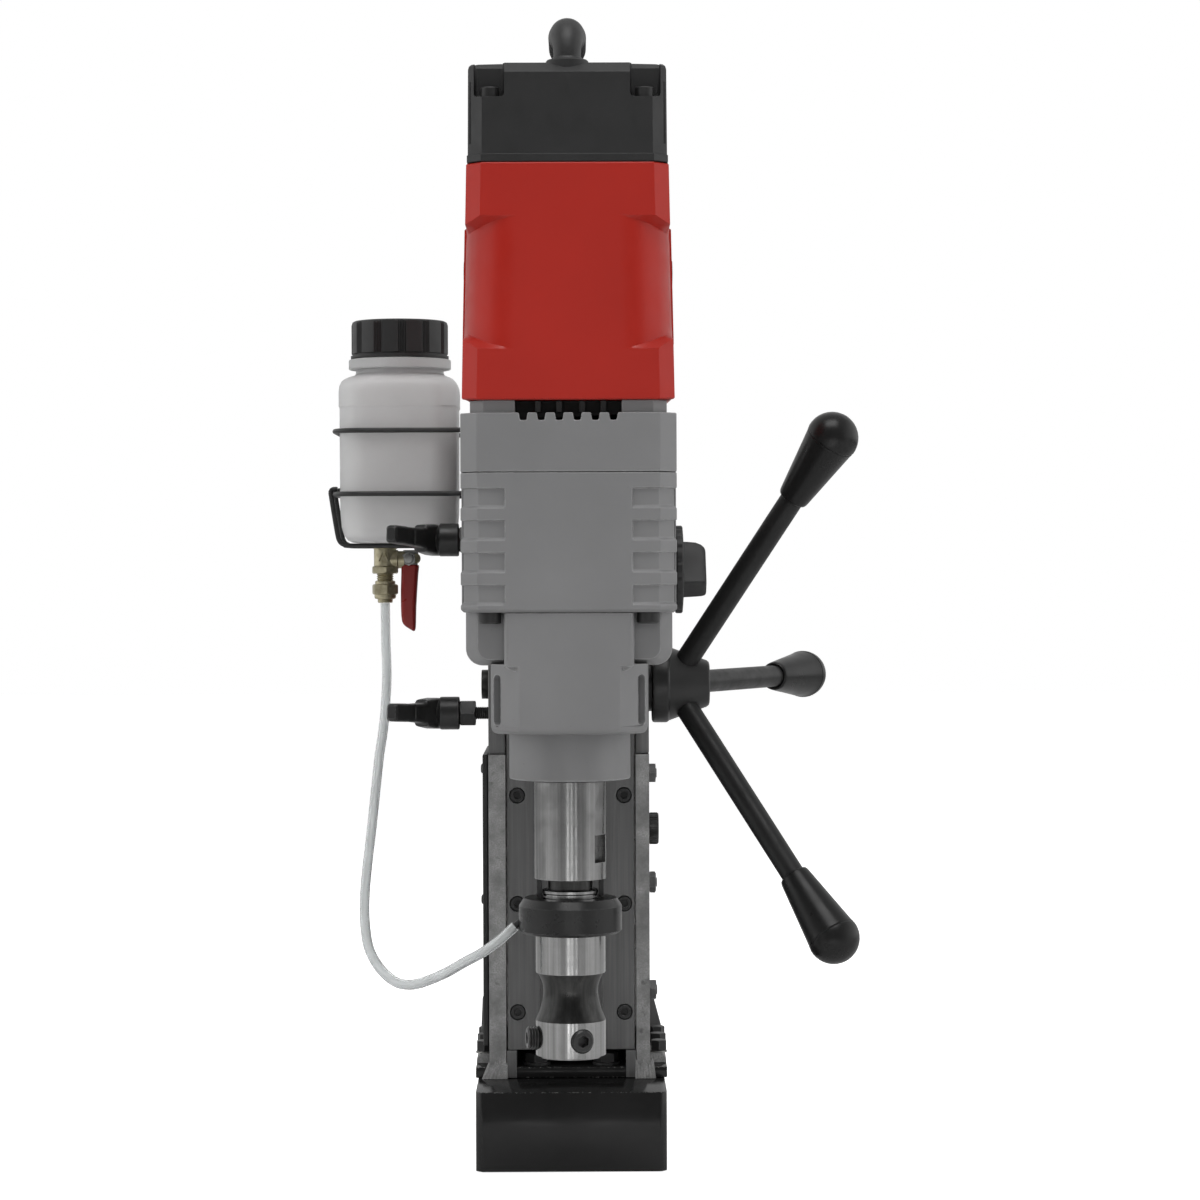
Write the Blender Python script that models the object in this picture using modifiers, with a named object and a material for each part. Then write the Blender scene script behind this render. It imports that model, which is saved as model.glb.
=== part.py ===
"""Magnetic drill press: an electromagnet foot, a welded stand, a slide with rack feed, a geared drill motor
and a gravity coolant bottle. Metres, +Z up, the origin at the centre of the magnet's bottom face, and -Y
towards the operator."""

import math

import bmesh
import bpy
from mathutils import Matrix, Vector

# Clearances
SEAT_GAP = 0.0003
RUN_GAP = 0.0004
HOLE_PLAY = 0.0004
TAPER_GAP = 0.0003

# Magnet foot
MAGNET_WIDTH = 0.110
MAGNET_LENGTH = 0.220
MAGNET_HEIGHT = 0.046
MAGNET_CHAMFER = 0.003
POLE_WIDTH = 0.040
POLE_LENGTH = 0.140
COIL_WIDTH = 0.016
COIL_DEPTH = 0.028

# Base plate
BASE_WIDTH = 0.113
BASE_THICKNESS = 0.0065
BASE_LENGTH = 0.150

# Frame
FRAME_SETBACK = 0.050
FRAME_INNER_WIDTH = 0.0768
FRAME_DEPTH = 0.120
FRAME_HEIGHT = 0.184
LEFT_WALL = 0.010
RIGHT_WALL = 0.008
BACK_WALL = 0.008
GUSSET_HEIGHT = 0.020
GUSSET_THICKNESS = 0.006
GUSSET_INSET = 0.010
GUSSET_ROOT = 0.002
SIDE_COVER_THICKNESS = 0.0032
SIDE_COVER_DEPTH = 0.098
SIDE_COVER_LIFT = 0.012

# Slide, rails and gib
SLIDE_WIDTH = 0.075
SLIDE_THICKNESS = 0.012
SLIDE_LENGTH = 0.377
SLIDE_LIFT = 0.0102
SLIDE_RECESS = 0.0008
SLIDE_CHANNEL_WIDTH = 0.0366
SLIDE_CHANNEL_DEPTH = 0.004
RAIL_WIDTH = 0.018
RAIL_THICKNESS = 0.010
RAIL_REACH = 0.0025
RAIL_LENGTH = 0.312
RAIL_RISE = 0.008
GIB_THICKNESS = 0.0015
SLIDE_SCREW_INSET = 0.006
SLIDE_SCREW_PITCH = 0.064
SLIDE_SCREW_FIRST = 0.022
SLIDE_SCREW_HEAD = 0.0088
SLIDE_SCREW_HEAD_HEIGHT = 0.005
SLIDE_SCREW_SHANK = 0.005
SLIDE_SCREW_ROWS = 3

# Head block and feed
HEAD_HEIGHT = 0.1475
HEAD_BACK_WALL = 0.032
HEAD_RECESS = 0.002
FEED_RISE = 0.040
RACK_MODULE = 0.002
RACK_WIDTH = 0.020
RACK_BODY = 0.008
RACK_TEETH = 31
RACK_BELOW_AXIS = 27
PINION_TEETH = 14
PINION_WIDTH = 0.018
FEED_SHAFT_DIAMETER = 0.016
FEED_END_DIAMETER = 0.0175
FEED_END_LENGTH = 0.0045
BUSH_WALL = 0.003
TOOTH_ADDENDUM = 0.75
TOOTH_DEDENDUM = 1.05
TOOTH_SHARE = 0.38
TOOTH_SLOPE = math.tan(math.radians(20))

# Capstan
HUB_BOSS_DIAMETER = 0.026
HUB_BOSS_LENGTH = 0.0036
HUB_FLANGE_DIAMETER = 0.0466
HUB_FLANGE_LENGTH = 0.011
HUB_END_DIAMETER = 0.0254
HUB_LENGTH = 0.0369
HUB_BORE_DEPTH = 0.0137
SPOKE_COUNT = 3
SPOKE_DIAMETER = 0.0116
SPOKE_LEAN = math.radians(28.6)
SPOKE_FIRST_TURN = math.radians(60)
SPOKE_REACH = 0.166
SPOKE_AXIAL = 0.014
SPOKE_START = 0.014
KNOB_BALL_DIAMETER = 0.0303
KNOB_NECK_DIAMETER = 0.0175
KNOB_LENGTH = 0.060
KNOB_SOCKET = 0.030

# Clamp levers
CLAMP_RISES = (0.0236, 0.1266)
CLAMP_STUD_DIAMETER = 0.007
CLAMP_STANDOFF = 0.0173
CLAMP_HUB_DIAMETER = 0.0196
CLAMP_HUB_LENGTH = 0.0115
CLAMP_ARM_LENGTH = 0.060
CLAMP_ARM_LEAN = math.radians(28)
CLAMP_ARM_ROOT = 0.0150
CLAMP_ARM_TIP = 0.0110
CLAMP_ARM_SLIMNESS = 2

# Control box
BOX_WIDTH = 0.072
BOX_HEIGHT = 0.110
BOX_DEPTH = 0.030
BOX_WALL = 0.003
BOX_RISE = 0.040
BOARD_THICKNESS = 0.002
BOARD_MARGIN = 0.004
SWITCH_WIDTH = 0.022
SWITCH_HEIGHT = 0.016
SWITCH_PROUD = 0.005
SWITCH_TRAVEL = 0.003
SWITCH_LIP = 0.0015
SWITCH_RISES = (0.032, 0.072)
GLAND_DIAMETER = 0.018
GLAND_LENGTH = 0.016
GLAND_BORE = 0.009

# Spindle axis and gearbox
SPINDLE_OFFSET = 0.100
SADDLE_WIDTH = 0.074
SADDLE_FLANGE = 0.010
SADDLE_WEB = 0.044
SADDLE_RISE = 0.203
SADDLE_HEIGHT = 0.130
GEARBOX_WIDTH = 0.1174
GEARBOX_DEPTH = 0.1174
GEARBOX_CHAMFER = 0.009
GEARBOX_WALL = 0.0065
GEARBOX_FLOOR = 0.010
LAY_BORE_FLOOR = 0.002
GEARBOX_HEIGHT = 0.0757
GEARBOX_COVER_HEIGHT = 0.032
GEARBOX_WEB = 0.010
NOTCH_HEIGHT = 0.0098
NOTCH_PITCH = 0.0178
NOTCH_FIRST = 0.0083
NOTCH_COUNT = 4
NOTCH_DEPTH = 0.0035

# Spindle nose
NOSE_RISE = 0.166
COLLAR_DIAMETER = 0.0675
COLLAR_HEIGHT = 0.025
NOSE_WIDTH = 0.085
NOSE_DEPTH = 0.092
NOSE_HEIGHT = 0.0687
LOBE_WIDTH = 0.1130
LOBE_DEPTH = 0.100
LOBE_HEIGHT = 0.0317
LOBE_ROUND = 0.014

# Motor, vent ring, top cover and carry handle
VENT_WIDTH = 0.107
VENT_HEIGHT = 0.0064
VENT_OPENING = 0.058
MOTOR_TOP_WIDTH = 0.110
MOTOR_BOTTOM_WIDTH = 0.1155
MOTOR_HEIGHT = 0.130
MOTOR_CHAMFER = 0.009
MOTOR_BORE = 0.0886
BARREL_LOW = 0.026
BARREL_HIGH = 0.100
BARREL_CUT = 0.006
SCALLOP_WIDE = 0.036
COVER_WIDTH = 0.1092
COVER_HEIGHT = 0.050
COVER_CHAMFER = 0.0096
COVER_ROOF = 0.018
COVER_POCKET = 0.017
COVER_POCKET_DEPTH = 0.0148
HANDLE_SPAN = 0.076
HANDLE_RISE = 0.020
HANDLE_POST_DIAMETER = 0.0145
HANDLE_GRIP_DIAMETER = 0.0185
HANDLE_FLANGE_DIAMETER = 0.0225
HANDLE_FLANGE_HEIGHT = 0.002
HANDLE_FLANGE_SLOPE = 0.001
HANDLE_BEND = 0.0116
HANDLE_TAPER = 0.007

# Speed knob
SPEED_RISE = 0.023
SPEED_FLANGE_DIAMETER = 0.049
SPEED_FLANGE_THICKNESS = 0.0045
SPEED_GRIP_LENGTH = 0.031
SPEED_GRIP_WIDTH = 0.013
SPEED_GRIP_HEIGHT = 0.013
SPEED_SHAFT_DIAMETER = 0.010
SPEED_SHAFT_LENGTH = 0.012

# Motor inside
ROTOR_DIAMETER = 0.048
ROTOR_LENGTH = 0.070
ROTOR_RISE = 0.024
AIR_GAP = 0.0006
FAN_DIAMETER = 0.080
FAN_THICKNESS = 0.009
FAN_RISE = 0.005
COMMUTATOR_DIAMETER = 0.030
COMMUTATOR_LENGTH = 0.016
BRUSH_WIDTH = 0.012
BRUSH_HEIGHT = 0.010
BRUSH_GAP = 0.008
MOTOR_SHAFT_DIAMETER = 0.012
MOTOR_BEARING_DIAMETER = 0.026
TOP_BEARING_HEIGHT = 0.009

# Gear train
GEAR_MODULE = 0.00125
MOTOR_PINION_TEETH = 12
LAY_WHEEL_TEETH = 32
LAY_PINION_TEETH = 14
SPINDLE_WHEEL_TEETH = 30
MOTOR_PINION_WIDTH = 0.012
LAY_PINION_WIDTH = 0.014
LAY_PINION_RISE = 0.022
LAY_SHAFT_DIAMETER = 0.012

# Spindle and arbor
SPINDLE_DIAMETER = 0.0404
SPINDLE_REACH = 0.055
SPINDLE_JOURNAL_DIAMETER = 0.025
LOWER_BEARING_DIAMETER = 0.057
LOWER_BEARING_HEIGHT = 0.016
LOWER_BEARING_RISE = 0.003
UPPER_BEARING_DIAMETER = 0.050
UPPER_BEARING_HEIGHT = 0.014
TAPER_MOUTH_DIAMETER = 0.0244
TAPER_END_DIAMETER = 0.0204
TAPER_DEPTH = 0.080
DRIFT_WIDTH = 0.013
DRIFT_HEIGHT = 0.0153
DRIFT_RISE = 0.0095
DRIFT_DEPTH = 0.006
DRIFT_TURN = math.radians(-28)
ARBOR_NECK_DIAMETER = 0.026
ARBOR_LIP_DIAMETER = 0.030
ARBOR_LIP_HEIGHT = 0.0045
ARBOR_LIP_DROP = 0.0055
ARBOR_DIAMETER = 0.0393
ARBOR_SHOULDER_DROP = 0.0333
ARBOR_UPPER_HEIGHT = 0.0198
ARBOR_WAIST_HEIGHT = 0.0242
ARBOR_WAIST_DIAMETER = 0.0302
ARBOR_LOWER_HEIGHT = 0.0220
ARBOR_BORE = 0.01905
ARBOR_BORE_DEPTH = 0.052
SET_SCREW_DIAMETER = 0.0125
SET_SCREW_LENGTH = 0.011
SET_SCREW_RISE = 0.0105
SET_SCREW_FRONT_TURN = math.radians(-70)
SET_SCREW_LEFT_TURN = math.radians(-170)
SET_SCREW_LEFT_PROUD = 0.005
RING_DIAMETER = 0.0575
RING_HEIGHT = 0.0187
RING_DROP = 0.011
RING_TOP_CHAMFER = 0.0045
RING_TOP_INSET = 0.0076
RING_BOTTOM_CHAMFER = 0.0025

# Coolant bottle, basket and valve
BOTTLE_X = -0.1035
BOTTLE_Y = 0.012
BOTTLE_HANG = 0.028
BOTTLE_WIDTH = 0.072
BOTTLE_CORNER = 0.016
BOTTLE_WALL = 0.0016
BOTTLE_FOOT_ROUND = 0.003
BOTTLE_SHOULDER = 0.086
BOTTLE_HEIGHT = 0.108
NECK_DIAMETER = 0.054
NECK_HEIGHT = 0.0254
NECK_RING_DIAMETER = 0.0626
NECK_RING_HEIGHT = 0.0055
CAP_DIAMETER = 0.0589
CAP_ROOF = 0.003
WIRE_DIAMETER = 0.003
BASKET_PLAY = 0.0008
BASKET_RISES = (0.031, 0.069)
CRADLE_OFFSET = 0.016
WELD_SINK = 0.0006
BRACKET_THICKNESS = 0.003
BRACKET_HEIGHT = 0.049
BRACKET_CLEARANCE = 0.0041
BRACKET_FLANGE = 0.028
CRADLE_LIP = 0.012
VALVE_OFFSET = -0.0095
VALVE_BODY_DIAMETER = 0.0158
VALVE_BODY_HEIGHT = 0.0124
VALVE_FLANGE_FLATS = 0.015
VALVE_FLANGE_HEIGHT = 0.0043
VALVE_THREAD_DIAMETER = 0.0105
VALVE_THREAD_HEIGHT = 0.0043
VALVE_NUT_FLATS = 0.0152
VALVE_NUT_HEIGHT = 0.0105
VALVE_FERRULE_DIAMETER = 0.0105
VALVE_FERRULE_HEIGHT = 0.003
VALVE_STEM_DIAMETER = 0.006
VALVE_STEM_LENGTH = 0.006
VALVE_STEM_DROP = 0.0085
VALVE_LEVER_LENGTH = 0.046
VALVE_LEVER_WIDTH = 0.009
VALVE_LEVER_THICKNESS = 0.0055

# Coolant hose: outside diameter, sampling step, and the points of its route from the valve to the ring,
# measured from the point where the valve's ferrule ends
HOSE_DIAMETER = 0.0058
HOSE_STEP = 0.012
HOSE_ROUTE = [
    (0.0000, 0.0000, -0.0003),
    (0.0004, -0.0020, -0.0250),
    (0.0012, -0.0070, -0.0452),
    (0.0000, -0.0170, -0.0730),
    (-0.0022, -0.0270, -0.0913),
    (-0.0052, -0.0520, -0.1313),
    (-0.0070, -0.0820, -0.1610),
    (-0.0066, -0.1020, -0.1788),
    (-0.0042, -0.1170, -0.1927),
    (-0.0004, -0.1270, -0.2014),
    (0.0078, -0.1380, -0.2102),
    (0.0186, -0.1490, -0.2146),
    (0.0308, -0.1580, -0.2116),
    (0.0430, -0.1640, -0.2060),
    (0.0546, -0.1685, -0.1990),
    (0.0648, -0.1710, -0.1932),
    (0.0742, -0.1720, -0.1862),
    (0.0821, -0.1720, -0.1790),
]

# Facets
ROUND_SIDES = 24
SMALL_SIDES = 12
SHAFT_SIDES = 16
SHARP_ANGLE = math.radians(35)
PIVOT_SIZE = 0.02
WELD_DISTANCE = 1e-6

# Heights of the stack, each from the piece below it
BASE_BOTTOM = MAGNET_HEIGHT + SEAT_GAP
BASE_TOP = BASE_BOTTOM + BASE_THICKNESS
FRAME_BOTTOM = BASE_TOP + SEAT_GAP
FRAME_TOP = FRAME_BOTTOM + FRAME_HEIGHT
HEAD_BOTTOM = FRAME_TOP + SEAT_GAP
HEAD_TOP = HEAD_BOTTOM + HEAD_HEIGHT
FEED_Z = HEAD_BOTTOM + FEED_RISE
SLIDE_BOTTOM = BASE_TOP + SLIDE_LIFT
SLIDE_TOP = SLIDE_BOTTOM + SLIDE_LENGTH
COLLAR_BOTTOM = SLIDE_BOTTOM + NOSE_RISE
NOSE_BOTTOM = COLLAR_BOTTOM + COLLAR_HEIGHT
NOSE_TOP = NOSE_BOTTOM + NOSE_HEIGHT
GEARBOX_BOTTOM = NOSE_TOP + SEAT_GAP
GEARBOX_TOP = GEARBOX_BOTTOM + GEARBOX_HEIGHT
GEAR_COVER_BOTTOM = GEARBOX_TOP + SEAT_GAP
GEAR_COVER_TOP = GEAR_COVER_BOTTOM + GEARBOX_COVER_HEIGHT
VENT_BOTTOM = GEAR_COVER_TOP + SEAT_GAP
VENT_TOP = VENT_BOTTOM + VENT_HEIGHT
MOTOR_BOTTOM = VENT_TOP + SEAT_GAP
MOTOR_TOP = MOTOR_BOTTOM + MOTOR_HEIGHT
COVER_BOTTOM = MOTOR_TOP + SEAT_GAP
COVER_TOP = COVER_BOTTOM + COVER_HEIGHT
SPINDLE_BOTTOM = COLLAR_BOTTOM - SPINDLE_REACH
RAIL_TOP = SLIDE_BOTTOM + RAIL_RISE + RAIL_LENGTH
BRACKET_BOTTOM = max(HEAD_TOP, RAIL_TOP) + BRACKET_CLEARANCE
BOTTLE_BOTTOM = BRACKET_BOTTOM - BOTTLE_HANG

# Depths, from the magnet's front face backwards
FRAME_FRONT = -MAGNET_LENGTH / 2 + FRAME_SETBACK
FRAME_BACK = FRAME_FRONT + FRAME_DEPTH
SLIDE_FRONT = FRAME_FRONT + SLIDE_RECESS
SLIDE_BACK = SLIDE_FRONT + SLIDE_THICKNESS
RAIL_FRONT = SLIDE_BACK + SEAT_GAP
RAIL_BACK = RAIL_FRONT + RAIL_THICKNESS
RAIL_MIDDLE = (RAIL_FRONT + RAIL_BACK) / 2
RACK_FRONT = SLIDE_BACK + SEAT_GAP
RACK_PITCH_Y = RACK_FRONT + RACK_BODY + TOOTH_DEDENDUM * RACK_MODULE
FEED_Y = RACK_PITCH_Y + PINION_TEETH * RACK_MODULE / 2
SPINDLE_Y = FRAME_FRONT - SPINDLE_OFFSET
GEARBOX_BACK = SPINDLE_Y + GEARBOX_DEPTH / 2

# Widths, from the frame's opening outwards
INNER_HALF = FRAME_INNER_WIDTH / 2
LEFT_FACE = -INNER_HALF - LEFT_WALL
RIGHT_FACE = INNER_HALF + RIGHT_WALL
LEFT_GROOVE = RAIL_REACH + RUN_GAP
RIGHT_GROOVE = RAIL_REACH + RUN_GAP + GIB_THICKNESS + SEAT_GAP

for old in list(bpy.data.objects):
    bpy.data.objects.remove(old, do_unlink=True)


def new_collection(name):
    group = bpy.data.collections.new(name)
    bpy.context.scene.collection.children.link(group)
    return group


PARTS = new_collection("magnetic_drill_press")
CUTTERS = new_collection("cutters")


def paint(name, colour, roughness, metallic=0.0):
    material = bpy.data.materials.new(name)
    material.use_nodes = True
    shader = material.node_tree.nodes["Principled BSDF"]
    shader.inputs["Base Color"].default_value = (*colour, 1.0)
    shader.inputs["Roughness"].default_value = roughness
    shader.inputs["Metallic"].default_value = metallic
    return material


BLACK_PAINT = ((0.02, 0.02, 0.022), 0.30, 0.0)
BLACK_PLASTIC = ((0.025, 0.025, 0.027), 0.50, 0.0)
BLACK_OXIDE = ((0.03, 0.03, 0.032), 0.40, 0.8)
DARK_STEEL = ((0.09, 0.09, 0.092), 0.45, 0.6)
ROUGH_STEEL = ((0.26, 0.26, 0.25), 0.65, 0.7)
BRIGHT_STEEL = ((0.55, 0.55, 0.55), 0.25, 1.0)
GREY_CASTING = ((0.18, 0.18, 0.185), 0.55, 0.1)
RED_PLASTIC = ((0.36, 0.03, 0.022), 0.38, 0.0)
COPPER = ((0.55, 0.25, 0.12), 0.40, 0.8)
BRASS = ((0.55, 0.42, 0.22), 0.38, 0.9)
BRONZE = ((0.42, 0.28, 0.14), 0.42, 0.9)
MILKY_PLASTIC = ((0.62, 0.62, 0.60), 0.45, 0.0)
CLEAR_VINYL = ((0.70, 0.72, 0.72), 0.20, 0.0)
GREEN_BOARD = ((0.03, 0.16, 0.06), 0.50, 0.0)


def place(obj, finish, pivot=None, at=(0.0, 0.0, 0.0)):
    """Put a part in its collection, at a world position, under its pivot and with its own material."""
    PARTS.objects.link(obj)
    obj.data.materials.clear()
    obj.data.materials.append(paint(obj.name + "_finish", *finish))
    obj.location = Vector(at)
    if pivot is not None:
        obj.parent = pivot
        obj.location = Vector(at) - pivot.location
    return obj


def as_cutter(obj):
    """A shape that only cuts or joins another one."""
    CUTTERS.objects.link(obj)
    obj.hide_render = True
    obj.display_type = "WIRE"
    return obj


def combine(target, tool, operation="DIFFERENCE"):
    step = target.modifiers.new(tool.name, "BOOLEAN")
    step.operation = operation
    step.object = tool
    return target


def pivot_at(name, point):
    empty = bpy.data.objects.new(name, None)
    empty.location = point
    empty.empty_display_size = PIVOT_SIZE
    PARTS.objects.link(empty)
    return empty


def mesh_object(name, shape, at=(0.0, 0.0, 0.0), smooth=True):
    """A bmesh drawn in world coordinates becomes an object with its origin at a point."""
    bmesh.ops.translate(shape, verts=shape.verts, vec=-Vector(at))
    mesh = bpy.data.meshes.new(name)
    shape.to_mesh(mesh)
    shape.free()
    if smooth:
        mesh.shade_smooth()
        mesh.set_sharp_from_angle(angle=SHARP_ANGLE)
    return bpy.data.objects.new(name, mesh)


def turn_to(direction):
    return Vector(direction).to_track_quat("Z", "Y").to_matrix().to_4x4()


def add_box(shape, low, high):
    centre = (Vector(low) + Vector(high)) / 2
    size = Vector(high) - Vector(low)
    frame = Matrix.Translation(centre) @ Matrix.Diagonal((*size, 1.0))
    return bmesh.ops.create_cube(shape, size=1.0, matrix=frame)["verts"]


def add_rod(shape, start, end, diameter, end_diameter=None, sides=SMALL_SIDES):
    """A round or, with six sides, a hexagonal rod between two points."""
    start = Vector(start)
    end = Vector(end)
    frame = Matrix.Translation((start + end) / 2) @ turn_to(end - start)
    bmesh.ops.create_cone(
        shape, cap_ends=True, segments=sides, radius1=diameter / 2,
        radius2=(diameter if end_diameter is None else end_diameter) / 2,
        depth=(end - start).length, matrix=frame)


def hex_diameter(flats):
    return flats / math.cos(math.radians(30))


def boxes(name, pairs, at=(0.0, 0.0, 0.0)):
    shape = bmesh.new()
    for low, high in pairs:
        add_box(shape, low, high)
    return mesh_object(name, shape, at, smooth=False)


def rods(name, entries, at=(0.0, 0.0, 0.0)):
    """Rods given as start, end, diameter and sides, one solid each."""
    shape = bmesh.new()
    for start, end, diameter, sides in entries:
        add_rod(shape, start, end, diameter, sides=sides)
    return mesh_object(name, shape, at)


def chamfered_block(name, centre, half_bottom, half_top, low, high, chamfer, at=(0.0, 0.0, 0.0)):
    """A block with chamfered upright edges whose half sizes may change from bottom to top."""
    shape = bmesh.new()
    add_box(shape, (-half_bottom[0], -half_bottom[1], low), (half_bottom[0], half_bottom[1], high))
    upright = [edge for edge in shape.edges if abs(edge.verts[0].co.z - edge.verts[1].co.z) > (high - low) / 2]
    bmesh.ops.bevel(shape, geom=upright, offset=chamfer, segments=1, profile=0.5, affect="EDGES")
    middle = (low + high) / 2
    for vert in shape.verts:
        if vert.co.z > middle:
            vert.co.x *= half_top[0] / half_bottom[0]
            vert.co.y *= half_top[1] / half_bottom[1]
    bmesh.ops.translate(shape, verts=shape.verts, vec=(centre[0], centre[1], 0.0))
    return mesh_object(name, shape, at, smooth=False)


AXIS_TURNS = {
    "X": Matrix(((0, 0, 1, 0), (1, 0, 0, 0), (0, 1, 0, 0), (0, 0, 0, 1))),
    "Y": Matrix(((1, 0, 0, 0), (0, 0, -1, 0), (0, 1, 0, 0), (0, 0, 0, 1))),
    "Z": Matrix.Identity(4),
}


def extruded(name, outlines, low, high, axis="Z", at=(0.0, 0.0, 0.0)):
    """Flat outlines, later ones being holes, drawn square to an axis and extruded from low to high along it.
    Square to X an outline is (y, z), square to Y it is (x, z) and square to Z it is (x, y)."""
    curve = bpy.data.curves.new(name + "_outline", "CURVE")
    curve.dimensions = "2D"
    curve.fill_mode = "BOTH"
    curve.extrude = (high - low) / 2
    for outline in outlines:
        spline = curve.splines.new("POLY")
        spline.points.add(len(outline) - 1)
        for point, (u, v) in zip(spline.points, outline):
            point.co = (u, v, 0.0, 1.0)
        spline.use_cyclic_u = True
    holder = bpy.data.objects.new(name + "_outline", curve)
    bpy.context.scene.collection.objects.link(holder)
    graph = bpy.context.evaluated_depsgraph_get()
    mesh = bpy.data.meshes.new_from_object(holder.evaluated_get(graph))
    bpy.data.objects.remove(holder, do_unlink=True)
    shape = bmesh.new()
    shape.from_mesh(mesh)
    bpy.data.meshes.remove(mesh)
    bmesh.ops.remove_doubles(shape, verts=shape.verts, dist=WELD_DISTANCE)
    along = AXIS_TURNS[axis] @ Vector((0.0, 0.0, (high + low) / 2))
    if axis == "Y":
        along = -along
    bmesh.ops.transform(shape, matrix=Matrix.Translation(along) @ AXIS_TURNS[axis], verts=shape.verts)
    bmesh.ops.recalc_face_normals(shape, faces=shape.faces)
    return mesh_object(name, shape, at)


def turned(name, profile, closed=False, steps=ROUND_SIDES, along=(0.0, 0.0, 1.0)):
    """A profile of (radius, height) points, top to bottom down the outer side, turned about an axis. A closed
    profile is a ring with a bore, and an open one starts and ends on the axis."""
    mesh = bpy.data.meshes.new(name)
    points = [(radius, 0.0, height) for radius, height in profile]
    edges = [(index, index + 1) for index in range(len(points) - 1)]
    if closed:
        edges.append((len(points) - 1, 0))
    mesh.from_pydata(points, edges, [])
    obj = bpy.data.objects.new(name, mesh)
    obj.rotation_euler = turn_to(along).to_euler()
    screw = obj.modifiers.new("turn", "SCREW")
    screw.axis = "Z"
    screw.angle = math.tau
    screw.steps = steps
    screw.render_steps = steps
    screw.use_merge_vertices = True
    screw.merge_threshold = 0.00001
    screw.use_smooth_shade = False
    return obj


def arc(centre, radius, start, end, count):
    """Points on an arc, from one angle to another in degrees."""
    turns = [math.radians(start + (end - start) * step / count) for step in range(count + 1)]
    return [(centre[0] + radius * math.cos(t), centre[1] + radius * math.sin(t)) for t in turns]


def ring_profile(bore, diameter, low, high):
    return [(diameter / 2, high), (diameter / 2, low), (bore / 2, low), (bore / 2, high)]


def rectangle(low_u, high_u, low_v, high_v):
    return [(low_u, low_v), (high_u, low_v), (high_u, high_v), (low_u, high_v)]


def tube(name, points, diameter, resolution=2, sizes=None):
    """A bent wire or tube along points, with its own share of the diameter at each point if given."""
    curve = bpy.data.curves.new(name, "CURVE")
    curve.dimensions = "3D"
    curve.fill_mode = "FULL"
    curve.bevel_depth = diameter / 2
    curve.bevel_resolution = resolution
    curve.use_fill_caps = True
    spline = curve.splines.new("POLY")
    spline.points.add(len(points) - 1)
    for index, point in enumerate(points):
        spline.points[index].co = (*point, 1.0)
        if sizes is not None:
            spline.points[index].radius = sizes[index]
    return bpy.data.objects.new(name, curve)


def tube_mesh(name, points, diameter):
    """The same tube as a welded mesh, for joining to others."""
    holder = tube(name, points, diameter)
    bpy.context.scene.collection.objects.link(holder)
    graph = bpy.context.evaluated_depsgraph_get()
    mesh = bpy.data.meshes.new_from_object(holder.evaluated_get(graph))
    bpy.data.objects.remove(holder, do_unlink=True)
    shape = bmesh.new()
    shape.from_mesh(mesh)
    bpy.data.meshes.remove(mesh)
    bmesh.ops.remove_doubles(shape, verts=shape.verts, dist=WELD_DISTANCE)
    return mesh_object(name, shape)


def gear_outline(teeth, module, centre, phase):
    """A spur gear with straight flanks: a tooth points along the phase angle."""
    pitch = teeth * module / 2
    tip = pitch + TOOTH_ADDENDUM * module
    root = pitch - TOOTH_DEDENDUM * module
    points = []
    for tooth in range(teeth):
        middle = phase + math.tau * tooth / teeth
        for radius, side in ((root, -1), (tip, -1), (tip, 1), (root, 1)):
            half = TOOTH_SHARE * math.pi * module / 2 - (radius - pitch) * TOOTH_SLOPE
            angle = middle + side * half / radius
            points.append((centre[0] + radius * math.cos(angle), centre[1] + radius * math.sin(angle)))
    return points


def build_magnet():
    """The yoke is a steel block with one slot round its centre pole, and the potted coil fills the slot."""
    length = MAGNET_LENGTH / 2
    yoke = chamfered_block("magnet_yoke", (0.0, 0.0), (MAGNET_WIDTH / 2, length), (MAGNET_WIDTH / 2, length),
                           0.0, MAGNET_HEIGHT, MAGNET_CHAMFER)
    slot_x = POLE_WIDTH / 2 + COIL_WIDTH
    slot_y = POLE_LENGTH / 2 + COIL_WIDTH
    pole_x = POLE_WIDTH / 2
    pole_y = POLE_LENGTH / 2
    below = -COIL_DEPTH / 2
    slot = extruded("coil_slot", [rectangle(-slot_x, slot_x, -slot_y, slot_y),
                                  rectangle(-pole_x, pole_x, -pole_y, pole_y)], below, COIL_DEPTH)
    combine(yoke, as_cutter(slot))
    coil = extruded(
        "magnet_coil",
        [rectangle(-slot_x + SEAT_GAP, slot_x - SEAT_GAP, -slot_y + SEAT_GAP, slot_y - SEAT_GAP),
         rectangle(-pole_x - SEAT_GAP, pole_x + SEAT_GAP, -pole_y - SEAT_GAP, pole_y + SEAT_GAP)],
        2 * SEAT_GAP, COIL_DEPTH - SEAT_GAP)
    place(coil, COPPER)
    place(yoke, BLACK_PAINT)


def build_base():
    plate = boxes("base_plate", [((-BASE_WIDTH / 2, FRAME_FRONT, BASE_BOTTOM),
                                  (BASE_WIDTH / 2, FRAME_FRONT + BASE_LENGTH, BASE_TOP))])
    place(plate, BLACK_PAINT)


def wall_outline(inner, outer, groove, front, back):
    """A wall seen from above, with a groove for the slide's rail in its inner face."""
    side = math.copysign(1.0, inner)
    bottom = inner + side * groove
    near = RAIL_FRONT - RUN_GAP
    far = RAIL_BACK + RUN_GAP
    return [(outer, front), (inner, front), (inner, near), (bottom, near), (bottom, far), (inner, far),
            (inner, back), (outer, back)]


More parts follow.
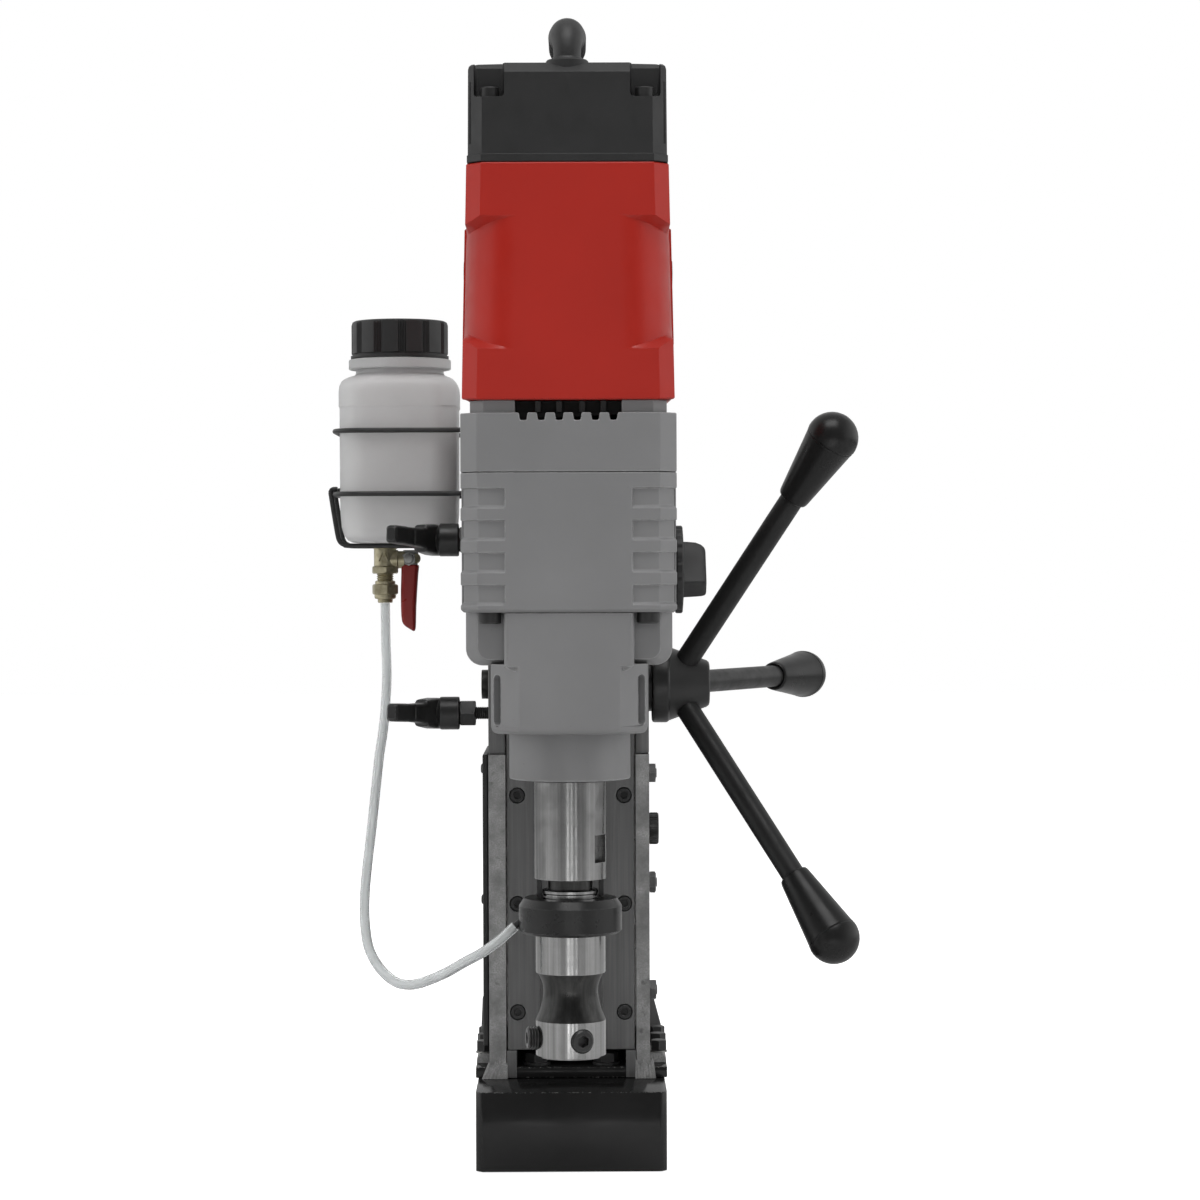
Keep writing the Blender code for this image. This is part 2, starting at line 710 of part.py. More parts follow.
def build_frame():
    left = extruded("frame_left_wall", [wall_outline(-INNER_HALF, LEFT_FACE, LEFT_GROOVE, FRAME_FRONT,
                                                     FRAME_BACK)], FRAME_BOTTOM, FRAME_TOP)
    right = extruded("frame_right_wall", [wall_outline(INNER_HALF, RIGHT_FACE, RIGHT_GROOVE, FRAME_FRONT,
                                                       FRAME_BACK)], FRAME_BOTTOM, FRAME_TOP)
    back = boxes("frame_back_wall", [((-INNER_HALF + SEAT_GAP, FRAME_BACK - BACK_WALL, FRAME_BOTTOM),
                                      (INNER_HALF - SEAT_GAP, FRAME_BACK, FRAME_TOP))])
    combine(left, gusset("left_gusset", LEFT_FACE, -BASE_WIDTH / 2), "UNION")
    combine(right, gusset("right_gusset", RIGHT_FACE, BASE_WIDTH / 2), "UNION")
    for wall in (left, right, back):
        place(wall, ROUGH_STEEL)
    gib_near = INNER_HALF + RAIL_REACH + RUN_GAP
    place(boxes("gib_strip", [((gib_near, RAIL_FRONT, FRAME_BOTTOM),
                               (gib_near + GIB_THICKNESS, RAIL_BACK, HEAD_TOP))]), BRONZE)
    build_side_cover()


def gusset(name, face, edge):
    """A slanted plate welded to a wall at the back of the foot, reaching a little into the wall."""
    back = FRAME_BACK - GUSSET_INSET
    inside = face - math.copysign(GUSSET_ROOT, face)
    top = FRAME_BOTTOM + GUSSET_HEIGHT
    low = FRAME_BOTTOM + SEAT_GAP
    outline = [(inside, low), (edge, low), (face, top), (inside, top)]
    return as_cutter(extruded(name, [outline], back - GUSSET_THICKNESS, back, axis="Y"))


def build_side_cover():
    cover_front = FRAME_FRONT + HEAD_RECESS
    cover_face = LEFT_FACE - SEAT_GAP
    cover_low = FRAME_BOTTOM + SIDE_COVER_LIFT
    cover = boxes("side_cover", [((cover_face - SIDE_COVER_THICKNESS, cover_front, cover_low),
                                  (cover_face, cover_front + SIDE_COVER_DEPTH, FRAME_TOP))])
    place(cover, BLACK_PLASTIC)


def build_head():
    """The block on top of the frame that carries the feed shaft and the slide clamps."""
    front = FRAME_FRONT + HEAD_RECESS
    pinion_tip = (PINION_TEETH / 2 + TOOTH_ADDENDUM) * RACK_MODULE
    pocket = FEED_Y + pinion_tip + 2 * RUN_GAP
    back = pocket + HEAD_BACK_WALL
    left = wall_outline(-INNER_HALF, LEFT_FACE, LEFT_GROOVE, front, pocket)[:-1]
    right = wall_outline(INNER_HALF, RIGHT_FACE, RIGHT_GROOVE, front, pocket)[:-1]
    outline = left + right[::-1] + [(RIGHT_FACE, back), (LEFT_FACE, back)]
    head = extruded("head_block", [outline], HEAD_BOTTOM, HEAD_TOP)
    bush = FEED_SHAFT_DIAMETER + 2 * RUN_GAP + 2 * BUSH_WALL
    stud = CLAMP_STUD_DIAMETER + 2 * HOLE_PLAY
    past = LEFT_WALL / 2
    holes = [((LEFT_FACE - past, FEED_Y, FEED_Z), (RIGHT_FACE + past, FEED_Y, FEED_Z),
              bush + 2 * SEAT_GAP, ROUND_SIDES)]
    for rise in CLAMP_RISES:
        z = HEAD_BOTTOM + rise
        holes.append(((LEFT_FACE - past, RAIL_MIDDLE, z), (-INNER_HALF - LEFT_GROOVE / 2, RAIL_MIDDLE, z),
                      stud, SMALL_SIDES))
    combine(head, as_cutter(rods("head_holes", holes)))
    place(head, DARK_STEEL)
    for side, low, high in (("left", LEFT_FACE, -INNER_HALF), ("right", INNER_HALF, RIGHT_FACE)):
        profile = ring_profile(FEED_SHAFT_DIAMETER + 2 * RUN_GAP, bush, low, high)
        sleeve = turned("shaft_bush_" + side, profile, closed=True, along=(1.0, 0.0, 0.0))
        place(sleeve, BRONZE, None, (0.0, FEED_Y, FEED_Z))


def spoke_direction(index):
    """The first spoke rises towards the operator, the second drops towards them and the third runs back."""
    around = SPOKE_FIRST_TURN - math.tau * index / SPOKE_COUNT
    side = math.cos(SPOKE_LEAN)
    return Vector((math.sin(SPOKE_LEAN), -math.cos(around) * side, math.sin(around) * side))


def knob_profile():
    """A ball on a taper, from its outer end down to its neck, with a blind socket for the spoke."""
    ball = KNOB_BALL_DIAMETER / 2
    neck = KNOB_NECK_DIAMETER / 2
    end = ball - KNOB_LENGTH
    socket = SPOKE_DIAMETER / 2 + SEAT_GAP
    return (arc((0.0, 0.0), ball, 90, -10, 5) + [(neck, end), (socket, end)]
            + [(socket, end + KNOB_SOCKET), (0.0, end + KNOB_SOCKET)])


def build_capstan():
    """The feed shaft with its pinion, the hub, and three spokes with ball knobs."""
    pivot = pivot_at("feed_axis", (0.0, FEED_Y, FEED_Z))
    at = (0.0, FEED_Y, FEED_Z)
    across = (1.0, 0.0, 0.0)
    face = RIGHT_FACE + SEAT_GAP
    shaft = FEED_SHAFT_DIAMETER / 2
    left = LEFT_FACE - SEAT_GAP
    right = face + HUB_BORE_DEPTH - SEAT_GAP
    shaft_profile = [(0.0, right), (shaft, right), (shaft, left), (FEED_END_DIAMETER / 2, left),
                     (FEED_END_DIAMETER / 2, left - FEED_END_LENGTH), (0.0, left - FEED_END_LENGTH)]
    feed = turned("feed_shaft", shaft_profile, steps=SHAFT_SIDES, along=across)
    teeth = extruded("pinion_teeth", [gear_outline(PINION_TEETH, RACK_MODULE, (FEED_Y, FEED_Z), math.pi)],
                     -PINION_WIDTH / 2, PINION_WIDTH / 2, axis="X")
    place(combine(feed, as_cutter(teeth), "UNION"), BRIGHT_STEEL, pivot, at)
    bore = shaft + SEAT_GAP
    flange = face + HUB_BOSS_LENGTH
    cone = flange + HUB_FLANGE_LENGTH
    end = face + HUB_LENGTH
    hub_profile = [(0.0, end), (HUB_END_DIAMETER / 2, end), (HUB_FLANGE_DIAMETER / 2, cone),
                   (HUB_FLANGE_DIAMETER / 2, flange), (HUB_BOSS_DIAMETER / 2, flange),
                   (HUB_BOSS_DIAMETER / 2, face), (bore, face), (bore, face + HUB_BORE_DEPTH),
                   (0.0, face + HUB_BORE_DEPTH)]
    hub = turned("capstan_hub", hub_profile, along=across)
    root = Vector((face + SPOKE_AXIAL, FEED_Y, FEED_Z))
    reach = SPOKE_REACH / math.cos(SPOKE_LEAN)
    neck = reach + KNOB_BALL_DIAMETER / 2 - KNOB_LENGTH
    sockets = []
    for index in range(SPOKE_COUNT):
        away = spoke_direction(index)
        start = root + away * SPOKE_START
        sockets.append((start - away * SEAT_GAP, start + away * HUB_FLANGE_DIAMETER,
                        SPOKE_DIAMETER + 2 * SEAT_GAP, SMALL_SIDES))
        spoke = rods("capstan_spoke_%d" % (index + 1),
                     [(start, root + away * (neck + KNOB_SOCKET - SEAT_GAP), SPOKE_DIAMETER, SMALL_SIDES)], at)
        place(spoke, DARK_STEEL, pivot, at)
        knob = turned("capstan_knob_%d" % (index + 1), knob_profile(), steps=SHAFT_SIDES, along=away)
        place(knob, BLACK_PLASTIC, pivot, root + away * reach)
    combine(hub, as_cutter(rods("spoke_sockets", sockets)))
    place(hub, BLACK_PAINT, pivot, at)


def build_clamps():
    """Two levers whose studs run through the head's left cheek to the edge of the slide's rail."""
    hub_near = LEFT_FACE - CLAMP_STANDOFF
    hub_far = hub_near - CLAMP_HUB_LENGTH
    tip = -INNER_HALF - LEFT_GROOVE
    stud = CLAMP_STUD_DIAMETER / 2
    hub = CLAMP_HUB_DIAMETER / 2
    for name, rise in zip(("clamp_lever_lower", "clamp_lever_upper"), CLAMP_RISES):
        at = Vector((0.0, RAIL_MIDDLE, HEAD_BOTTOM + rise))
        profile = [(0.0, tip), (stud, tip), (stud, hub_near), (hub, hub_near), (hub, hub_far), (0.0, hub_far)]
        lever = turned(name, profile, steps=SHAFT_SIDES, along=(1.0, 0.0, 0.0))
        away = Vector((-math.sin(CLAMP_ARM_LEAN), -math.cos(CLAMP_ARM_LEAN), 0.0))
        start = at + Vector(((hub_near + hub_far) / 2, 0.0, 0.0)) + away * hub / 3
        arm = bmesh.new()
        add_rod(arm, start, start + away * CLAMP_ARM_LENGTH, CLAMP_ARM_ROOT / CLAMP_ARM_SLIMNESS,
                CLAMP_ARM_TIP / CLAMP_ARM_SLIMNESS)
        for vert in arm.verts:
            vert.co.z = at.z + (vert.co.z - at.z) * CLAMP_ARM_SLIMNESS
        combine(lever, as_cutter(mesh_object(name + "_arm", arm)), "UNION")
        place(lever, BLACK_PLASTIC, pivot_at(name + "_axis", at), at)


def build_controls():
    """A box on the frame's back wall with the switches, their board and the cable gland."""
    front = FRAME_BACK + SEAT_GAP
    back = front + BOX_DEPTH
    low = FRAME_BOTTOM + BOX_RISE
    half = BOX_WIDTH / 2
    box = boxes("control_box", [((-half, front, low), (half, back, low + BOX_HEIGHT))])
    hollow = boxes("control_box_hollow", [((-half + BOX_WALL, front - BOX_WALL, low + BOX_WALL),
                                           (half - BOX_WALL, back - BOX_WALL, low + BOX_HEIGHT - BOX_WALL))])
    combine(box, as_cutter(hollow))
    board_back = front + SEAT_GAP + BOARD_THICKNESS
    edge = BOX_WALL + BOARD_MARGIN
    place(boxes("circuit_board", [((-half + edge, front + SEAT_GAP, low + edge),
                                   (half - edge, board_back, low + BOX_HEIGHT - edge))]), GREEN_BOARD)
    lip_back = back - BOX_WALL - RUN_GAP
    wide = SWITCH_WIDTH / 2
    tall = SWITCH_HEIGHT / 2
    windows = []
    finishes = (RED_PLASTIC, BLACK_PLASTIC)
    for name, rise, finish in zip(("magnet_switch", "drill_switch"), SWITCH_RISES, finishes):
        z = low + rise
        at = (0.0, back, z)
        windows.append(((-wide - RUN_GAP, back - 2 * BOX_WALL, z - tall - RUN_GAP),
                        (wide + RUN_GAP, back + BOX_WALL, z + tall + RUN_GAP)))
        lip = boxes(name, [((-wide - SWITCH_LIP, board_back + 2 * SWITCH_TRAVEL, z - tall - SWITCH_LIP),
                            (wide + SWITCH_LIP, lip_back, z + tall + SWITCH_LIP))], at)
        key = boxes(name + "_key", [((-wide, lip_back - SWITCH_LIP, z - tall),
                                     (wide, back + SWITCH_PROUD, z + tall))])
        place(combine(lip, as_cutter(key), "UNION"), finish, pivot_at(name + "_axis", at), at)
    combine(box, as_cutter(boxes("switch_windows", windows)))
    gland_x = -half / 2
    gland_y = front + BOX_DEPTH / 2
    hole = rods("gland_hole", [((gland_x, gland_y, low - BOX_WALL), (gland_x, gland_y, low + 2 * BOX_WALL),
                                GLAND_BORE, SMALL_SIDES)])
    combine(box, as_cutter(hole))
    place(box, BLACK_PLASTIC)
    gland = turned("cable_gland", ring_profile(GLAND_BORE, GLAND_DIAMETER, -GLAND_LENGTH, 0.0), closed=True,
                   steps=SHAFT_SIDES)
    place(gland, BLACK_PLASTIC, None, (gland_x, gland_y, low - SEAT_GAP))


def slide_screw_places():
    x = SLIDE_WIDTH / 2 - SLIDE_SCREW_INSET
    first = SLIDE_BOTTOM + SLIDE_SCREW_FIRST
    return [(side * x, first + SLIDE_SCREW_PITCH * row) for row in range(SLIDE_SCREW_ROWS) for side in (-1, 1)]


def build_slide():
    """The slide plate, the two rails screwed to its back, and the feed rack."""
    half = SLIDE_WIDTH / 2
    groove = SLIDE_CHANNEL_WIDTH / 2
    floor = SLIDE_FRONT + SLIDE_CHANNEL_DEPTH
    outline = [(-half, SLIDE_FRONT), (-groove, SLIDE_FRONT), (-groove, floor), (groove, floor),
               (groove, SLIDE_FRONT), (half, SLIDE_FRONT), (half, SLIDE_BACK), (-half, SLIDE_BACK)]
    slide = extruded("slide_plate", [outline], SLIDE_BOTTOM, SLIDE_TOP)
    outer = INNER_HALF + RAIL_REACH
    low = SLIDE_BOTTOM + RAIL_RISE
    left = boxes("slide_rail_left", [((-outer, RAIL_FRONT, low),
                                      (RAIL_WIDTH - outer, RAIL_BACK, low + RAIL_LENGTH))])
    right = boxes("slide_rail_right", [((outer - RAIL_WIDTH, RAIL_FRONT, low),
                                        (outer, RAIL_BACK, low + RAIL_LENGTH))])
    head_floor = SLIDE_FRONT + SLIDE_SCREW_HEAD_HEIGHT
    counterbores = []
    holes = []
    for x, z in slide_screw_places():
        counterbores.append(((x, SLIDE_FRONT - SLIDE_SCREW_HEAD_HEIGHT, z), (x, head_floor, z),
                             SLIDE_SCREW_HEAD + 2 * HOLE_PLAY, SMALL_SIDES))
        holes.append(((x, SLIDE_FRONT, z), (x, RAIL_MIDDLE + SEAT_GAP, z),
                      SLIDE_SCREW_SHANK + 2 * HOLE_PLAY, SMALL_SIDES))
    shank_holes = as_cutter(rods("slide_screw_holes", holes))
    combine(slide, as_cutter(rods("slide_counterbores", counterbores)))
    combine(slide, shank_holes)
    place(slide, DARK_STEEL)
    for rail in (left, right):
        place(combine(rail, shank_holes), BRIGHT_STEEL)
    place(extruded("feed_rack", [rack_outline()], -RACK_WIDTH / 2, RACK_WIDTH / 2, axis="X"), BRIGHT_STEEL)


def rack_outline():
    """The rack from the side: a gap between two teeth faces the pinion's axis at rest."""
    pitch = math.pi * RACK_MODULE
    tip = RACK_PITCH_Y + TOOTH_ADDENDUM * RACK_MODULE
    root = RACK_PITCH_Y - TOOTH_DEDENDUM * RACK_MODULE
    first = FEED_Z - pitch * (RACK_BELOW_AXIS - 0.5)
    points = [(RACK_FRONT, first - pitch / 2)]
    root_half = TOOTH_SHARE * pitch / 2 + TOOTH_DEDENDUM * RACK_MODULE * TOOTH_SLOPE
    tip_half = TOOTH_SHARE * pitch / 2 - TOOTH_ADDENDUM * RACK_MODULE * TOOTH_SLOPE
    points.append((root, first - pitch / 2))
    for tooth in range(RACK_TEETH):
        z = first + pitch * tooth
        points += [(root, z - root_half), (tip, z - tip_half), (tip, z + tip_half), (root, z + root_half)]
    top = first + pitch * (RACK_TEETH - 0.5)
    points += [(root, top), (RACK_FRONT, top)]
    return points


def build_saddle():
    """The casting between the slide and the gearbox, an I seen from above."""
    front = GEARBOX_BACK + SEAT_GAP
    back = SLIDE_FRONT - SEAT_GAP
    wide = SADDLE_WIDTH / 2
    web = SADDLE_WEB / 2
    outline = [(-wide, front), (wide, front), (wide, front + SADDLE_FLANGE), (web, front + SADDLE_FLANGE),
               (web, back - SADDLE_FLANGE), (wide, back - SADDLE_FLANGE), (wide, back), (-wide, back),
               (-wide, back - SADDLE_FLANGE), (-web, back - SADDLE_FLANGE), (-web, front + SADDLE_FLANGE),
               (-wide, front + SADDLE_FLANGE)]
    low = SLIDE_BOTTOM + SADDLE_RISE
    place(extruded("saddle", [outline], low, low + SADDLE_HEIGHT), DARK_STEEL)


LAY_Y = SPINDLE_Y + GEAR_MODULE * (LAY_PINION_TEETH + SPINDLE_WHEEL_TEETH) / 2
FLOOR_TOP = GEARBOX_BOTTOM + GEARBOX_FLOOR
WEB_TOP = GEAR_COVER_BOTTOM + GEARBOX_WEB


def build_gearbox():
    """The gearbox body with its notched corners, the cover with a bearing web, and the shafts' seats."""
    centre = (0.0, SPINDLE_Y)
    half = (GEARBOX_WIDTH / 2, GEARBOX_DEPTH / 2)
    inside = (half[0] - GEARBOX_WALL, half[1] - GEARBOX_WALL)
    body = chamfered_block("gearbox_body", centre, half, half, GEARBOX_BOTTOM, GEARBOX_TOP, GEARBOX_CHAMFER)
    hollow = chamfered_block("gearbox_hollow", centre, inside, inside, FLOOR_TOP, GEARBOX_TOP + GEARBOX_FLOOR,
                             GEARBOX_CHAMFER)
    combine(body, as_cutter(hollow))
    notches = bmesh.new()
    reach = math.hypot(GEARBOX_WIDTH, GEARBOX_DEPTH) / 2 - GEARBOX_CHAMFER * math.sqrt(0.5) - NOTCH_DEPTH
    for corner in range(4):
        turn = Matrix.Rotation(math.radians(45 + 90 * corner), 4, "Z")
        for row in range(NOTCH_COUNT):
            low = GEARBOX_BOTTOM + NOTCH_FIRST - NOTCH_HEIGHT / 2 + NOTCH_PITCH * row
            block = add_box(notches, (reach, -GEARBOX_CHAMFER * 2, low),
                            (reach + GEARBOX_CHAMFER * 2, GEARBOX_CHAMFER * 2, low + NOTCH_HEIGHT))
            bmesh.ops.transform(notches, matrix=Matrix.Translation((*centre, 0.0)) @ turn, verts=block)
    combine(body, as_cutter(mesh_object("corner_notches", notches)))
    journal = SPINDLE_JOURNAL_DIAMETER + 4 * RUN_GAP
    seat = LAY_SHAFT_DIAMETER + 2 * RUN_GAP
    speed_z = GEARBOX_BOTTOM + SPEED_RISE
    holes = [((0.0, SPINDLE_Y, GEARBOX_BOTTOM - GEARBOX_FLOOR), (0.0, SPINDLE_Y, FLOOR_TOP + GEARBOX_FLOOR),
              journal, ROUND_SIDES),
             ((0.0, LAY_Y, GEARBOX_BOTTOM + LAY_BORE_FLOOR), (0.0, LAY_Y, FLOOR_TOP + GEARBOX_FLOOR),
              seat, ROUND_SIDES),
             ((half[0] - 2 * GEARBOX_WALL, SPINDLE_Y, speed_z), (half[0] + GEARBOX_WALL, SPINDLE_Y, speed_z),
              SPEED_SHAFT_DIAMETER + 2 * RUN_GAP, SHAFT_SIDES)]
    combine(body, as_cutter(rods("gearbox_holes", holes)))
    place(body, GREY_CASTING)
    cover = chamfered_block("gearbox_cover", centre, half, half, GEAR_COVER_BOTTOM, GEAR_COVER_TOP,
                            GEARBOX_CHAMFER)
    well = rods("gear_cover_well", [((0.0, SPINDLE_Y, WEB_TOP), (0.0, SPINDLE_Y, GEAR_COVER_TOP + GEARBOX_WEB),
                                     MOTOR_BORE, ROUND_SIDES)])
    combine(cover, as_cutter(well))
    through = [((0.0, y, GEAR_COVER_BOTTOM - GEARBOX_WEB), (0.0, y, WEB_TOP + GEARBOX_WEB),
                diameter, ROUND_SIDES)
               for y, diameter in ((SPINDLE_Y, MOTOR_BEARING_DIAMETER + 2 * SEAT_GAP),
                                   (LAY_Y, LAY_SHAFT_DIAMETER + 2 * RUN_GAP))]
    combine(cover, as_cutter(rods("gear_cover_holes", through)))
    place(cover, GREY_CASTING)


def build_nose():
    """The spindle nose: two rounded lobes across, a block in the middle and a collar below."""
    half = NOSE_WIDTH / 2
    lobe = LOBE_WIDTH / 2
    low = NOSE_TOP - LOBE_HEIGHT
    bend = low + LOBE_ROUND
    outline = ([(lobe, NOSE_TOP), (-lobe, NOSE_TOP)] + arc((LOBE_ROUND - lobe, bend), LOBE_ROUND, 180, 270, 4)
               + arc((lobe - LOBE_ROUND, bend), LOBE_ROUND, 270, 360, 4))
    lobe_back = GEARBOX_BACK - SEAT_GAP
    nose = extruded("spindle_nose", [outline], lobe_back - LOBE_DEPTH, lobe_back, axis="Y")
    depth = NOSE_DEPTH / 2
    block = chamfered_block("nose_block", (0.0, SPINDLE_Y), (half, depth), (half, depth),
                            NOSE_BOTTOM - SEAT_GAP, NOSE_TOP - SEAT_GAP, GEARBOX_CHAMFER)
    combine(nose, as_cutter(block), "UNION")
    middle = (0.0, SPINDLE_Y)
    collar_top = NOSE_TOP - LOBE_HEIGHT / 2
    combine(nose, as_cutter(rods("nose_collar", [((*middle, COLLAR_BOTTOM), (*middle, collar_top),
                                                  COLLAR_DIAMETER, ROUND_SIDES)])), "UNION")
    below = COLLAR_BOTTOM - COLLAR_HEIGHT
    lower_top = COLLAR_BOTTOM + LOWER_BEARING_RISE + LOWER_BEARING_HEIGHT + SEAT_GAP
    upper_low = NOSE_TOP - UPPER_BEARING_HEIGHT - 2 * SEAT_GAP
    bore = turned("nose_bore", [
        (0.0, NOSE_TOP + COLLAR_HEIGHT), (UPPER_BEARING_DIAMETER / 2 + SEAT_GAP, NOSE_TOP + COLLAR_HEIGHT),
        (UPPER_BEARING_DIAMETER / 2 + SEAT_GAP, upper_low), (SPINDLE_DIAMETER / 2 + 2 * RUN_GAP, upper_low),
        (SPINDLE_DIAMETER / 2 + 2 * RUN_GAP, lower_top), (LOWER_BEARING_DIAMETER / 2 + SEAT_GAP, lower_top),
        (LOWER_BEARING_DIAMETER / 2 + SEAT_GAP, below), (0.0, below)])
    bore.location = (*middle, 0.0)
    combine(nose, as_cutter(bore))
    place(nose, GREY_CASTING)


def build_motor():
    """The vent ring, the red housing with its stator and brushes, and the top cover with the carry handle."""
    centre = (0.0, SPINDLE_Y)
    vent_half = (VENT_WIDTH / 2, VENT_WIDTH / 2)
    vent = chamfered_block("vent_ring", centre, vent_half, vent_half, VENT_BOTTOM, VENT_TOP, MOTOR_CHAMFER)
    bottom_half = (MOTOR_BOTTOM_WIDTH / 2, MOTOR_BOTTOM_WIDTH / 2)
    top_half = (MOTOR_TOP_WIDTH / 2, MOTOR_TOP_WIDTH / 2)
    housing = chamfered_block("motor_housing", centre, bottom_half, top_half, MOTOR_BOTTOM, MOTOR_TOP,
                              MOTOR_CHAMFER)
    past = VENT_HEIGHT
    bore = as_cutter(rods("motor_bore", [((*centre, VENT_BOTTOM - past), (*centre, MOTOR_TOP + past),
                                          MOTOR_BORE, ROUND_SIDES)]))
    combine(vent, bore)
    gap = VENT_HEIGHT / 4
    wide = VENT_OPENING / 2
    combine(vent, as_cutter(boxes("vent_openings", [((-wide, SPINDLE_Y - VENT_WIDTH, VENT_BOTTOM - gap),
                                                     (wide, SPINDLE_Y + VENT_WIDTH, VENT_TOP - gap))])))
    place(vent, GREY_CASTING)
    combine(housing, bore)
    scallops = bmesh.new()
    reach = MOTOR_TOP_WIDTH / 2 * math.sqrt(2) - MOTOR_CHAMFER * math.sqrt(0.5) - BARREL_CUT
    for corner in range(4):
        turn = Matrix.Rotation(math.radians(45 + 90 * corner), 4, "Z")
        block = add_box(scallops, (reach, -SCALLOP_WIDE, MOTOR_BOTTOM + BARREL_LOW),
                        (reach + SCALLOP_WIDE, SCALLOP_WIDE, MOTOR_BOTTOM + BARREL_HIGH))
        bmesh.ops.transform(scallops, matrix=Matrix.Translation((*centre, 0.0)) @ turn, verts=block)
    combine(housing, as_cutter(mesh_object("corner_scallops", scallops)))
    place(housing, RED_PLASTIC)
    rotor_low = MOTOR_BOTTOM + ROTOR_RISE
    stator = turned("motor_stator", ring_profile(ROTOR_DIAMETER + 2 * AIR_GAP, MOTOR_BORE - 2 * SEAT_GAP,
                                                 rotor_low, rotor_low + ROTOR_LENGTH), closed=True)
    place(stator, COPPER, None, (*centre, 0.0))
    brush_low = rotor_low + ROTOR_LENGTH + BRUSH_GAP + (COMMUTATOR_LENGTH - BRUSH_HEIGHT) / 2
    near = COMMUTATOR_DIAMETER / 2 + AIR_GAP
    far = math.sqrt((MOTOR_BORE / 2) ** 2 - (BRUSH_WIDTH / 2) ** 2) - 2 * SEAT_GAP
    for name, low_x in (("brush_holder_left", -far), ("brush_holder_right", near)):
        holder = boxes(name, [((low_x, SPINDLE_Y - BRUSH_WIDTH / 2, brush_low),
                               (low_x + far - near, SPINDLE_Y + BRUSH_WIDTH / 2, brush_low + BRUSH_HEIGHT))])
        place(holder, BRASS)
    build_top_cover(centre)


def build_top_cover(centre):
    half = (COVER_WIDTH / 2, COVER_WIDTH / 2)
    cover = chamfered_block("top_cover", centre, half, half, COVER_BOTTOM, COVER_TOP, COVER_CHAMFER)
    roof = COVER_TOP - COVER_ROOF
    seat = roof + TOP_BEARING_HEIGHT
    well = turned("cover_well", [
        (0.0, seat + SEAT_GAP), (MOTOR_BEARING_DIAMETER / 2 + SEAT_GAP, seat + SEAT_GAP),
        (MOTOR_BEARING_DIAMETER / 2 + SEAT_GAP, roof), (MOTOR_BORE / 2, roof),
        (MOTOR_BORE / 2, COVER_BOTTOM - COVER_ROOF), (0.0, COVER_BOTTOM - COVER_ROOF)])
    well.location = (*centre, 0.0)
    combine(cover, as_cutter(well))
    pockets = []
    inner = COVER_WIDTH / 2 - COVER_POCKET
    for side_x in (-1, 1):
        for side_y in (-1, 1):
            near = (side_x * inner, SPINDLE_Y + side_y * inner)
            far = (side_x * COVER_WIDTH, SPINDLE_Y + side_y * COVER_WIDTH)
            low = (min(near[0], far[0]), min(near[1], far[1]), COVER_TOP - COVER_POCKET_DEPTH)
            high = (max(near[0], far[0]), max(near[1], far[1]), COVER_TOP + COVER_POCKET_DEPTH)
            pockets.append((low, high))
    combine(cover, as_cutter(boxes("cover_pockets", pockets)))
    place(cover, BLACK_PLASTIC)
    build_carry_handle()


def build_carry_handle():
    """A bar that runs front to back over the cover, thicker along the grip than at its two posts."""
    seat = COVER_TOP + SEAT_GAP
    half = HANDLE_SPAN / 2
    post = HANDLE_POST_DIAMETER / HANDLE_GRIP_DIAMETER
    flange = HANDLE_FLANGE_DIAMETER / HANDLE_GRIP_DIAMETER
    bend = HANDLE_BEND
    top = seat + HANDLE_RISE
    flange_top = seat + HANDLE_FLANGE_HEIGHT
    rise = [(half, seat, flange), (half, flange_top, flange), (half, flange_top + HANDLE_FLANGE_SLOPE, post),
            (half, top - bend, post)]
    for turn in (30, 60):
        angle = math.radians(turn)
        rise.append((half - bend + bend * math.cos(angle), top - bend + bend * math.sin(angle), post))
    rise.append((half - bend, top, post))
    rise.append((half - bend - HANDLE_TAPER, top, 1.0))
    path = [(0.0, SPINDLE_Y - y, z) for y, z, _ in rise] + [(0.0, SPINDLE_Y + y, z) for y, z, _ in rise[::-1]]
    sizes = [size for _, _, size in rise] + [size for _, _, size in rise[::-1]]
    place(tube("carry_handle", path, HANDLE_GRIP_DIAMETER, 3, sizes), BLACK_PLASTIC)


def build_speed_knob():
    """A round flange with a bar grip, on a shaft through the gearbox's right wall."""
    at = Vector((GEARBOX_WIDTH / 2, SPINDLE_Y, GEARBOX_BOTTOM + SPEED_RISE))
    flange = SPEED_FLANGE_DIAMETER / 2
    shaft = SPEED_SHAFT_DIAMETER / 2
    profile = [(0.0, SEAT_GAP + SPEED_FLANGE_THICKNESS), (flange, SEAT_GAP + SPEED_FLANGE_THICKNESS),
               (flange, SEAT_GAP), (shaft, SEAT_GAP), (shaft, -SPEED_SHAFT_LENGTH), (0.0, -SPEED_SHAFT_LENGTH)]
    knob = turned("speed_knob", profile, along=(1.0, 0.0, 0.0))
    face = at.x + SPEED_FLANGE_THICKNESS
    bar = bmesh.new()
    add_box(bar, (face - SPEED_FLANGE_THICKNESS / 2, at.y - SPEED_GRIP_WIDTH / 2, at.z - SPEED_GRIP_LENGTH / 2),
            (face + SPEED_GRIP_HEIGHT, at.y + SPEED_GRIP_WIDTH / 2, at.z + SPEED_GRIP_LENGTH / 2))
    ends = [edge for edge in bar.edges if abs(edge.verts[0].co.x - edge.verts[1].co.x) > SPEED_GRIP_HEIGHT / 2]
    bmesh.ops.bevel(bar, geom=ends, offset=SPEED_GRIP_WIDTH / 4, segments=1, profile=0.5, affect="EDGES")
    combine(knob, as_cutter(mesh_object("speed_grip", bar)), "UNION")
    place(knob, BLACK_PLASTIC, pivot_at("speed_axis", at), at)


